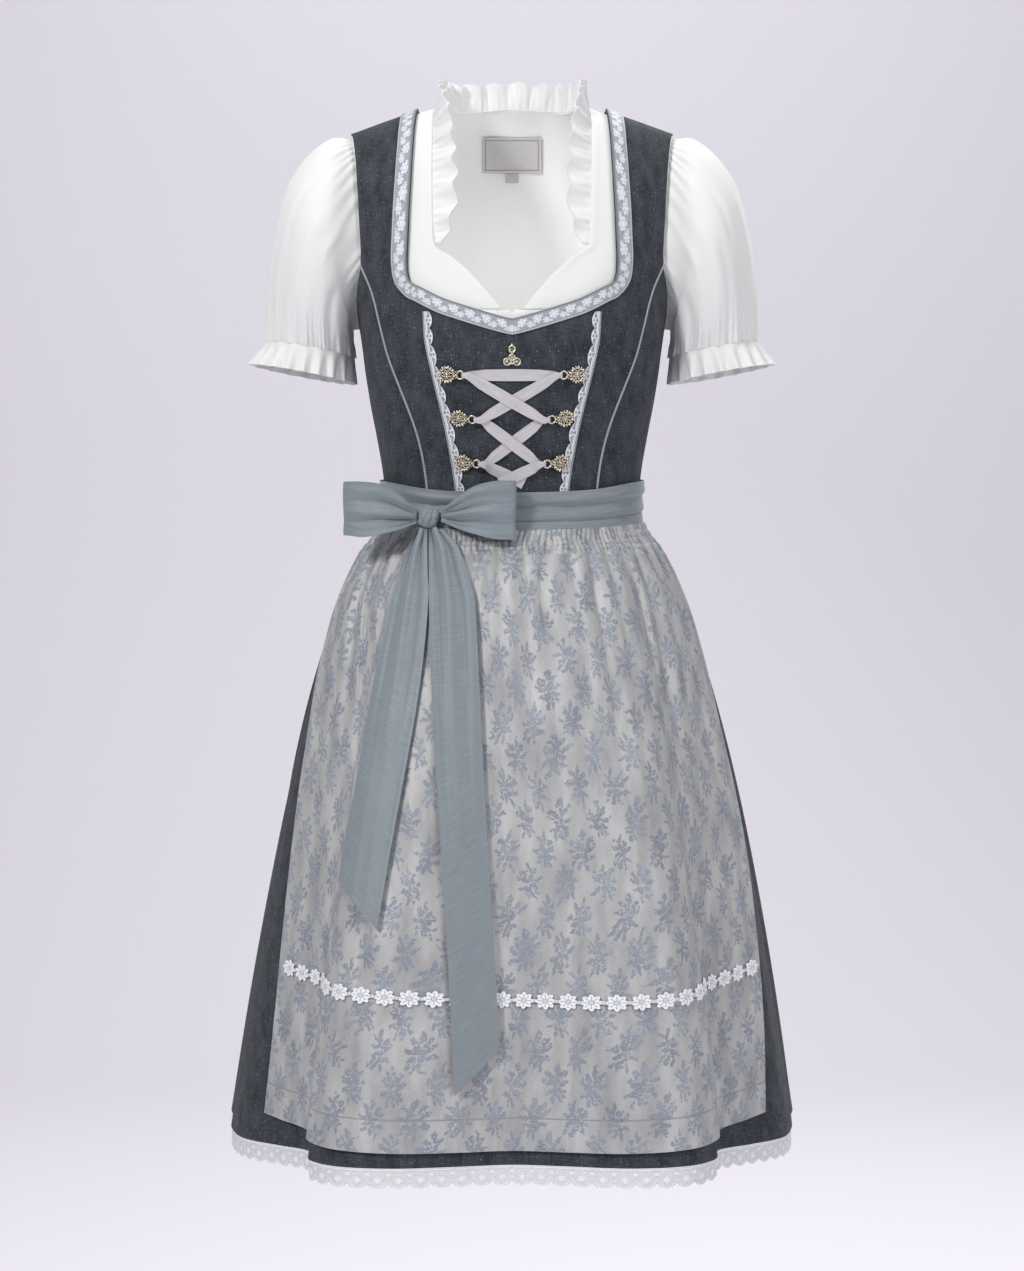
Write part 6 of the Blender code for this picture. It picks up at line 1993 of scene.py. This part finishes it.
# Lacing hooks: six cast filigree rosettes in antique silver, each with a round eye towards the centre,
# sewn on over the lace seams.
HookSeat = namedtuple("HookSeat", "across level lift")
HOOK_SEATS = (HookSeat(64, 8.33, 2.5), HookSeat(53, 9.54, 1.4), HookSeat(48.5, 10.77, 2.9))
EYE_MIDDLE = 14.6
EYE_RADIUS = 4.9
EYE_HOLE_LENGTH = 5.0
HOOK_THICKNESS = 1.8
HOOK_TILT = math.radians(4)
SILVER_BRIGHT = (0.78, 0.70, 0.56)
# Dark colour of the sunk wire: tarnish, and painted shade of the hollows.
SILVER_SUNK_TARNISH_AND_SHADE = (0.040, 0.034, 0.027)
POLISHED_FROM = 0.55
# Near-black backing plates under the wire: tarnish, and painted shade of the recesses.
SILVER_RECESS_TARNISH_AND_SHADE = (0.012, 0.011, 0.010)


def antique_silver(name, low, high, roughness):
    """Polished where the casting stands up and dark where it is sunk: tarnish there, and painted shade of the
    hollows as well.
    """
    finish, tree, shader = new_finish(name, roughness, metallic=1.0)
    source = tree.nodes.new("ShaderNodeTexCoord")
    parts = tree.nodes.new("ShaderNodeSeparateXYZ")
    tree.links.new(source.outputs["Object"], parts.inputs[0])
    right, up = Field(tree, parts.outputs[0]) * 1000, Field(tree, parts.outputs[2]) * 1000
    stored = tree.nodes.new("ShaderNodeAttribute")
    stored.attribute_name = "relief"
    tarnish = (mottle(right / 1.7, up / 1.7, 2.0, 0.6) - 0.5) * 1.6
    # Dark where the stored height is low: tarnish, and painted shade in the hollows.
    sunk = (Field(tree, stored.outputs["Fac"]) + tarnish).below(0.72, 0.22)
    wire(shader, "Base Color", dyed(sunk, high, low))
    raised(shader, mottle(right / 0.5, up / 0.5, 1.0), 0.12, 0.5)
    return finish


SILVER = antique_silver("antique_silver", SILVER_SUNK_TARNISH_AND_SHADE, SILVER_BRIGHT, 0.40)
# The backing plates' finish: tarnish and painted shade of the recesses.
TARNISH_AND_SHADE = antique_silver("tarnish_and_shade_silver", SILVER_RECESS_TARNISH_AND_SHADE, SILVER_RECESS_TARNISH_AND_SHADE, 0.6)


def seat_matrix(angle, level, out, towards_centre, tilt):
    """A frame on the bodice: X towards the centre front, Z out of the cloth."""
    origin = on_figure(angle, level, out)
    normal = (on_figure(angle, level, out + 1) - origin).normalized()
    way = Vector((towards_centre, 0, 0))
    x_axis = (way - normal * way.dot(normal)).normalized()
    y_axis = normal.cross(x_axis)
    frame = Matrix((x_axis, y_axis, normal)).transposed().to_4x4()
    frame.translation = origin * MM
    return frame @ Matrix.Rotation(-tilt, 4, "Y")


def cast_ring(shape, x, y, radius, wire_radius, steps=20, stretch=1.0):
    """A ring of round wire lying flat about a place."""
    turn = Matrix.Rotation(math.pi / 2, 4, "X")
    seat = Matrix.Translation((radius, 0, 0)) @ turn
    section = bmesh.ops.create_circle(shape, segments=8, radius=wire_radius, matrix=seat)
    edges = list({edge for vertex in section["verts"] for edge in vertex.link_edges})
    before = set(shape.verts) - set(section["verts"])
    bmesh.ops.spin(
        shape, geom=section["verts"] + edges, cent=(0, 0, 0), axis=(0, 0, 1), angle=2 * math.pi, steps=steps,
        use_merge=True,
    )
    moved = [vertex for vertex in shape.verts if vertex not in before]
    place = Matrix.Translation((x, y, 0)) @ Matrix.Diagonal((stretch, 1, 1, 1))
    bmesh.ops.transform(shape, matrix=place, verts=moved)


def cast_bead(shape, x, y, radius, flatness=0.75):
    place = Matrix.Translation((x, y, 0)) @ Matrix.Diagonal((1, 1, flatness, 1))
    bmesh.ops.create_uvsphere(shape, u_segments=10, v_segments=6, radius=radius, matrix=place)


def cast_piece(node, shape, frame_at, recesses):
    """Finishes a casting: its wire in silver, its sunk backing plates near black, for tarnish and painted
    shade of the recesses.
    """
    bmesh.ops.recalc_face_normals(shape, faces=shape.faces)
    mesh = baked(node, shape)
    backing = bmesh.new()
    for x, y, radius, depth in recesses:
        bmesh.ops.create_cone(
            backing, cap_ends=True, segments=28, radius1=radius, radius2=radius, depth=depth,
            matrix=Matrix.Translation((x, y, -0.35)),
        )
    back_mesh = baked(node + "_back", backing)
    whole = bmesh.new()
    whole.from_mesh(mesh)
    wire_faces = len(whole.faces)
    whole.from_mesh(back_mesh)
    for index, face in enumerate(whole.faces):
        face.material_index = 0 if index < wire_faces else 1
    stored = whole.verts.layers.float.new("relief")
    for vertex in whole.verts:
        vertex[stored] = min(max(vertex.co.z / POLISHED_FROM, 0), 1)
    bmesh.ops.scale(whole, vec=(MM, MM, MM), verts=whole.verts)
    bmesh.ops.transform(whole, matrix=frame_at, verts=whole.verts)
    whole.to_mesh(mesh)
    whole.free()
    bpy.data.meshes.remove(back_mesh)
    mesh.materials.append(SILVER)
    mesh.materials.append(TARNISH_AND_SHADE)
    settle(placed("metal_" + node, mesh), node)


def hook(node, frame_at):
    """A rim of beads, a wreath of eight curls, a bead in the middle and the eye."""
    shape = bmesh.new()
    for step in range(16):
        turn = 2 * math.pi * (step + 0.5) / 16
        cast_bead(shape, 7.9 * math.cos(turn), 7.9 * math.sin(turn), 1.0 + 0.35 * (step % 2))
    for step in range(8):
        turn = 2 * math.pi * step / 8
        cast_ring(shape, 4.8 * math.cos(turn), 4.8 * math.sin(turn), 1.45, 0.55, 12)
    cast_ring(shape, 0, 0, 6.8, 0.6, 32)
    cast_ring(shape, 0, 0, 2.4, 0.6, 16)
    cast_bead(shape, 0, 0, 1.7, 0.9)
    cast_ring(shape, 9.4, 2.1, 1.3, 0.5, 12)
    cast_ring(shape, 9.4, -2.1, 1.3, 0.5, 12)
    cast_bead(shape, 9.6, 0, 1.2)
    cast_ring(shape, EYE_MIDDLE, 0, 3.9, 0.95, 28)
    cast_piece(node, shape, frame_at, ((0, 0, 6.7, 0.7),))


HOOK_FRAMES = {}
for row_index, seat in enumerate(HOOK_SEATS):
    for side_name, sign in (("left", -1), ("right", 1)):
        seat_angle = sign * angle_of(seat.across, seat.level)
        seat_out = DRESS_WALL + seat.lift + HOOK_THICKNESS / 2
        hook_frame = seat_matrix(seat_angle, seat.level, seat_out, -sign, HOOK_TILT)
        HOOK_FRAMES[side_name, row_index] = hook_frame
        hook(f"lacing_hook_{side_name}_{row_index + 1}", hook_frame)

# Pendant: a cast filigree drop of three rosettes that hangs by its pointed loop from the zip's slider.
PENDANT_LEVEL = 7.83
PENDANT_THICKNESS = 1.6
PENDANT_FRAME = seat_matrix(0, PENDANT_LEVEL, DRESS_WALL + CLEARANCE + PENDANT_THICKNESS / 2, 1, 0)


def pendant():
    shape = bmesh.new()
    for x, y, size in ((-4.9, -6.9, 1.0), (4.9, -6.9, 1.0), (0, -2.6, 0.85)):
        cast_ring(shape, x, y, 3.5 * size, 0.85, 20)
        cast_bead(shape, x, y, 1.4 * size)
        for step in range(6):
            turn = 2 * math.pi * step / 6
            cast_ring(shape, x + 2.1 * size * math.cos(turn), y + 2.1 * size * math.sin(turn), 0.75, 0.45, 8)
    cast_bead(shape, 0, -8.6, 1.6)
    cast_bead(shape, 0, 1.4, 1.3)
    cast_ring(shape, 0, 5.6, 3.3, 1.15, 24, 0.9)
    cast_ring(shape, 0, 4.4, 1.5, 0.6, 12)
    cast_bead(shape, 0, 9.9, 1.5)
    recesses = ((-4.9, -6.9, 3.3, 0.6), (4.9, -6.9, 3.3, 0.6), (0, -2.6, 2.8, 0.6))
    cast_piece("zip_pendant", shape, PENDANT_FRAME, recesses)


pendant()

# Lacing: one matte satin ribbon threaded through all six eyes, pinched to a point at each of them, its
# two ends tucked under the sash.
RIBBON_WALL = 0.7
RIBBON_HALF_WIDTH = 6.0
RIBBON_EYE_HALF_WIDTH = 2.2
RIBBON_TAPER = 1.6
STRETCH_SHARES = (0.18, 0.38, 0.5, 0.62, 0.82)
BAR_MIDDLE = EYE_MIDDLE + EYE_HOLE_LENGTH / 2 + (EYE_RADIUS - EYE_HOLE_LENGTH / 2) / 2
RIBBON_BEND = HOOK_THICKNESS / 2 + 2 * CLEARANCE + RIBBON_WALL / 2
HOLE_PLACE = EYE_MIDDLE + EYE_HOLE_LENGTH / 2 - 2 * CLEARANCE - RIBBON_WALL / 2
BEND_ROUND = 0.35
LacingStop = namedtuple("LacingStop", "side row enters")
LACING_STOPS = [
    LacingStop(*row)
    for row in (
        ("left", 2, "over"), ("right", 1, "under"), ("left", 0, "over"), ("right", 0, "under"),
        ("left", 1, "over"), ("right", 2, "under"),
    )
]
UNDER_OUT = 3.6
OVER_OUT = 5.3
LACING_END_LEVEL = 11.38
LACING_END_ACROSS = 12
LacingPoint = namedtuple("LacingPoint", "place half_width side")


def eye_points(stop):
    """The band round the inner bar of an eye, in the order in which it runs."""
    frame = HOOK_FRAMES[stop.side, stop.row]
    local = (
        (BAR_MIDDLE + 4.5, RIBBON_BEND, RIBBON_EYE_HALF_WIDTH + 1.6),
        (BAR_MIDDLE + 1.4, RIBBON_BEND, RIBBON_EYE_HALF_WIDTH),
        (HOLE_PLACE + BEND_ROUND, RIBBON_BEND, RIBBON_EYE_HALF_WIDTH), (HOLE_PLACE, 0, RIBBON_EYE_HALF_WIDTH),
        (HOLE_PLACE + BEND_ROUND, -RIBBON_BEND, RIBBON_EYE_HALF_WIDTH),
        (BAR_MIDDLE + 1.4, -RIBBON_BEND, RIBBON_EYE_HALF_WIDTH),
        (BAR_MIDDLE + 4.5, -RIBBON_BEND, RIBBON_EYE_HALF_WIDTH + 1.6),
    )
    if stop.enters == "under":
        local = local[::-1]
    side = Vector(frame.col[1][:3]).normalized()
    side = side if side.z > 0 else -side
    return [LacingPoint(frame @ Vector((x * MM, 0, z * MM)) / MM, half, side) for x, z, half in local]


def bodice_point(across, level, out):
    return on_figure(math.copysign(angle_of(abs(across), level), across), level, out)


def level_of_point(point):
    """The level of the bodice's front at the height of a point."""
    level = 7.0
    while figure_surface(0, level).z > point.z:
        level += 0.02
    return level


def band_side(run, across, level):
    """Across the band and along the cloth under it."""
    normal = bodice_point(across, level, 1) - bodice_point(across, level, 0)
    side = run.cross(normal).normalized()
    return side if side.z > 0 else -side


def stretch_points(start, end, out):
    """The flat run between two eyes, standing off the bodice by out in its middle."""
    run = []
    for share in STRETCH_SHARES:
        middle = start.lerp(end, share)
        level = level_of_point(middle)
        near_end = abs(2 * share - 1)
        aim = bodice_point(middle.x, level, out)
        place = Vector((middle.x, aim.y + (middle.y - aim.y) * near_end**3, middle.z))
        half_width = RIBBON_HALF_WIDTH - RIBBON_TAPER * near_end**3
        run.append(LacingPoint(place, half_width, band_side(end - start, middle.x, level)))
    return run


def lacing_path():
    """All points of the band from one end at the sash to the other."""
    start = bodice_point(LACING_END_ACROSS, LACING_END_LEVEL, UNDER_OUT)
    finish = bodice_point(-LACING_END_ACROSS, LACING_END_LEVEL, OVER_OUT)
    eyes = [eye_points(stop) for stop in LACING_STOPS]
    first, last = eyes[0][0].place, eyes[-1][-1].place
    start_side = band_side(first - start, start.x, LACING_END_LEVEL)
    finish_side = band_side(finish - last, finish.x, LACING_END_LEVEL)
    path = [LacingPoint(start, RIBBON_HALF_WIDTH, start_side)]
    path += stretch_points(start, first, UNDER_OUT)
    outs = (UNDER_OUT, OVER_OUT, OVER_OUT - 1.0, UNDER_OUT, OVER_OUT)
    for index, eye in enumerate(eyes):
        path += eye
        if index + 1 < len(eyes):
            path += stretch_points(eye[-1].place, eyes[index + 1][0].place, outs[index])
    path += stretch_points(last, finish, OVER_OUT)
    path.append(LacingPoint(finish, RIBBON_HALF_WIDTH, finish_side))
    return path


LACING = lacing_path()


def satin_lacing():
    finish, shader, across, along = cloth_finish("satin_lacing", 0.42, sheen=0.15, anisotropic=0.4)
    strands = mottle(across / 0.9, along / 22, 3.0, 0.6)
    wire(shader, "Base Color", dyed(strands * 1.6 - 0.3, (0.42, 0.405, 0.42), (0.72, 0.695, 0.70)))
    raised(shader, strands, 0.12, 0.5)
    return finish


LACING_STEP = 1.3
LACING_ROUNDS = 3


def fine_lacing():
    """The band's points set closer together, its bends rounded."""
    fine = []
    for start, end in zip(LACING, LACING[1:]):
        steps = max(round((end.place - start.place).length / LACING_STEP), 1)
        for step in range(steps):
            share = step / steps
            side = start.side.lerp(end.side, share).normalized()
            half_width = start.half_width + (end.half_width - start.half_width) * share
            fine.append(LacingPoint(start.place.lerp(end.place, share), half_width, side))
    fine.append(LACING[-1])
    for _ in range(LACING_ROUNDS):
        inner = zip(fine, fine[1:], fine[2:])
        fine[1:-1] = [
            LacingPoint(
                (before.place + here.place * 2 + after.place) / 4,
                (before.half_width + here.half_width * 2 + after.half_width) / 4,
                (before.side + here.side * 2 + after.side).normalized(),
            )
            for before, here, after in inner
        ]
    return fine


FINE_LACING = fine_lacing()


def lacing_place(u, w):
    here = FINE_LACING[round(w * (len(FINE_LACING) - 1))]
    return here.place + here.side * here.half_width * (2 * u - 1)


def lacing_folds(u, w):
    """Bulged along its middle, and creased where it is drawn into an eye."""
    pinch = 1 - FINE_LACING[round(w * (len(FINE_LACING) - 1))].half_width / RIBBON_HALF_WIDTH
    crease = 0.35 * pinch * math.cos(3 * math.pi * (2 * u - 1))
    return crease + 0.25 * (1 - (2 * u - 1) ** 2) * (1 - pinch) + 0.15 * wander(u * 2, w * 40, 7.5)


lay_cloth(
    "lacing_ribbon", 10, len(FINE_LACING) - 1, lacing_place, 0.5, satin_lacing(), "satin_lacing", edges="",
    offset=0, held="laid", flat=(2 * RIBBON_HALF_WIDTH * MM, len(FINE_LACING) * LACING_STEP * MM),
    relief=lacing_folds,
)

# The studio: a pale sweep of paper behind and below, and broad soft lights in front.
PAPER = (0.80, 0.775, 0.825)
SWEEP_WIDTH = 14.0
SWEEP_FLOOR = -1.75
SWEEP_FRONT = -6.0
SWEEP_BACK = 5.6
SWEEP_ROUND = 1.6
SWEEP_HEIGHT = 5.0


def sweep():
    """Floor, a quarter round and a wall in one sheet."""
    straight = SWEEP_BACK - SWEEP_ROUND - SWEEP_FRONT
    bend = math.pi / 2 * SWEEP_ROUND
    whole = straight + bend + SWEEP_HEIGHT
    shape = bmesh.new()
    bmesh.ops.create_grid(shape, x_segments=2, y_segments=120, size=0.5)
    for vertex in shape.verts:
        run = (vertex.co.y + 0.5) * whole
        across = vertex.co.x * SWEEP_WIDTH
        if run < straight:
            vertex.co = (across, SWEEP_FRONT + run, SWEEP_FLOOR)
        elif run < straight + bend:
            turn = (run - straight) / SWEEP_ROUND
            depth = SWEEP_BACK - SWEEP_ROUND + SWEEP_ROUND * math.sin(turn)
            vertex.co = (across, depth, SWEEP_FLOOR + SWEEP_ROUND * (1 - math.cos(turn)))
        else:
            vertex.co = (across, SWEEP_BACK, SWEEP_FLOOR + SWEEP_ROUND + run - straight - bend)
    mesh = baked("studio_sweep", shape)
    mesh.polygons.foreach_set("use_smooth", [True] * len(mesh.polygons))
    finish, _, shader = new_finish("studio_paper", 0.95, specular=0.1)
    shader.inputs["Base Color"].default_value = (*PAPER, 1.0)
    mesh.materials.append(finish)
    placed("studio_sweep", mesh)


sweep()

LIT_PLACE = Vector((0, 0, -0.55))
StudioLight = namedtuple("StudioLight", "name place size power aim")
STUDIO_LIGHTS = (
    StudioLight("key", Vector((-2.4, -3.0, 1.9)), 0.9, 104.0, LIT_PLACE),
    StudioLight("fill", Vector((2.8, -3.0, 0.3)), 2.2, 50.0, LIT_PLACE),
    StudioLight("top", Vector((0.0, -0.4, 2.8)), 2.4, 46.0, LIT_PLACE),
    StudioLight("behind", Vector((1.6, 2.4, 2.2)), 1.8, 74.0, LIT_PLACE),
    StudioLight("backdrop", Vector((0.0, 2.4, 3.0)), 3.0, 75.0, Vector((0, 5.6, -0.6))),
)
for light in STUDIO_LIGHTS:
    lamp = bpy.data.lights.new(light.name, "AREA")
    lamp.shape = "DISK"
    lamp.size = light.size
    lamp.energy = light.power
    holder = placed(light.name, lamp)
    holder.location = light.place
    holder.rotation_euler = (light.aim - light.place).to_track_quat("-Z", "Y").to_euler()

# A small lamp in the hollow lights the inside of the back, as when such a garment is photographed
HOLLOW_LIGHT_PLACE = Vector((0, -0.055, -0.17))
HOLLOW_LIGHT_SIZE = 0.15
HOLLOW_LIGHT_POWER = 0.165
HOLLOW_LIGHT_TILT = math.radians(105)
inner = bpy.data.lights.new("hollow", "AREA")
inner.size = HOLLOW_LIGHT_SIZE
inner.energy = HOLLOW_LIGHT_POWER
inner_holder = placed("hollow", inner)
inner_holder.location = HOLLOW_LIGHT_PLACE
inner_holder.rotation_euler = (HOLLOW_LIGHT_TILT, 0, 0)
inner_holder.visible_camera = False

sky = bpy.data.worlds.new("studio")
sky.use_nodes = True
sky.node_tree.nodes["Background"].inputs["Color"].default_value = (0.90, 0.90, 0.95, 1.0)
sky.node_tree.nodes["Background"].inputs["Strength"].default_value = 0.27
bpy.context.scene.world = sky
bpy.context.scene.view_settings.view_transform = "Standard"

# Camera: at the height of the waist, level, three metres in front; the picture is 1.331 m tall there.
CAMERA_DISTANCE = 3.0
CAMERA_HEIGHT = -0.461
PICTURE_HEIGHT = 1.331
PICTURE_ROWS = 1271
HORIZON_ROW = 560
SENSOR_HEIGHT = 36.0
camera = bpy.data.cameras.new("camera")
camera.sensor_fit = "VERTICAL"
camera.sensor_height = SENSOR_HEIGHT
camera.lens = SENSOR_HEIGHT * CAMERA_DISTANCE / PICTURE_HEIGHT
camera.shift_y = (HORIZON_ROW - PICTURE_ROWS / 2) / PICTURE_ROWS
view = placed("camera", camera)
view.location = (0, -CAMERA_DISTANCE, CAMERA_HEIGHT)
view.rotation_euler = (math.pi / 2, 0, 0)
bpy.context.scene.camera = view
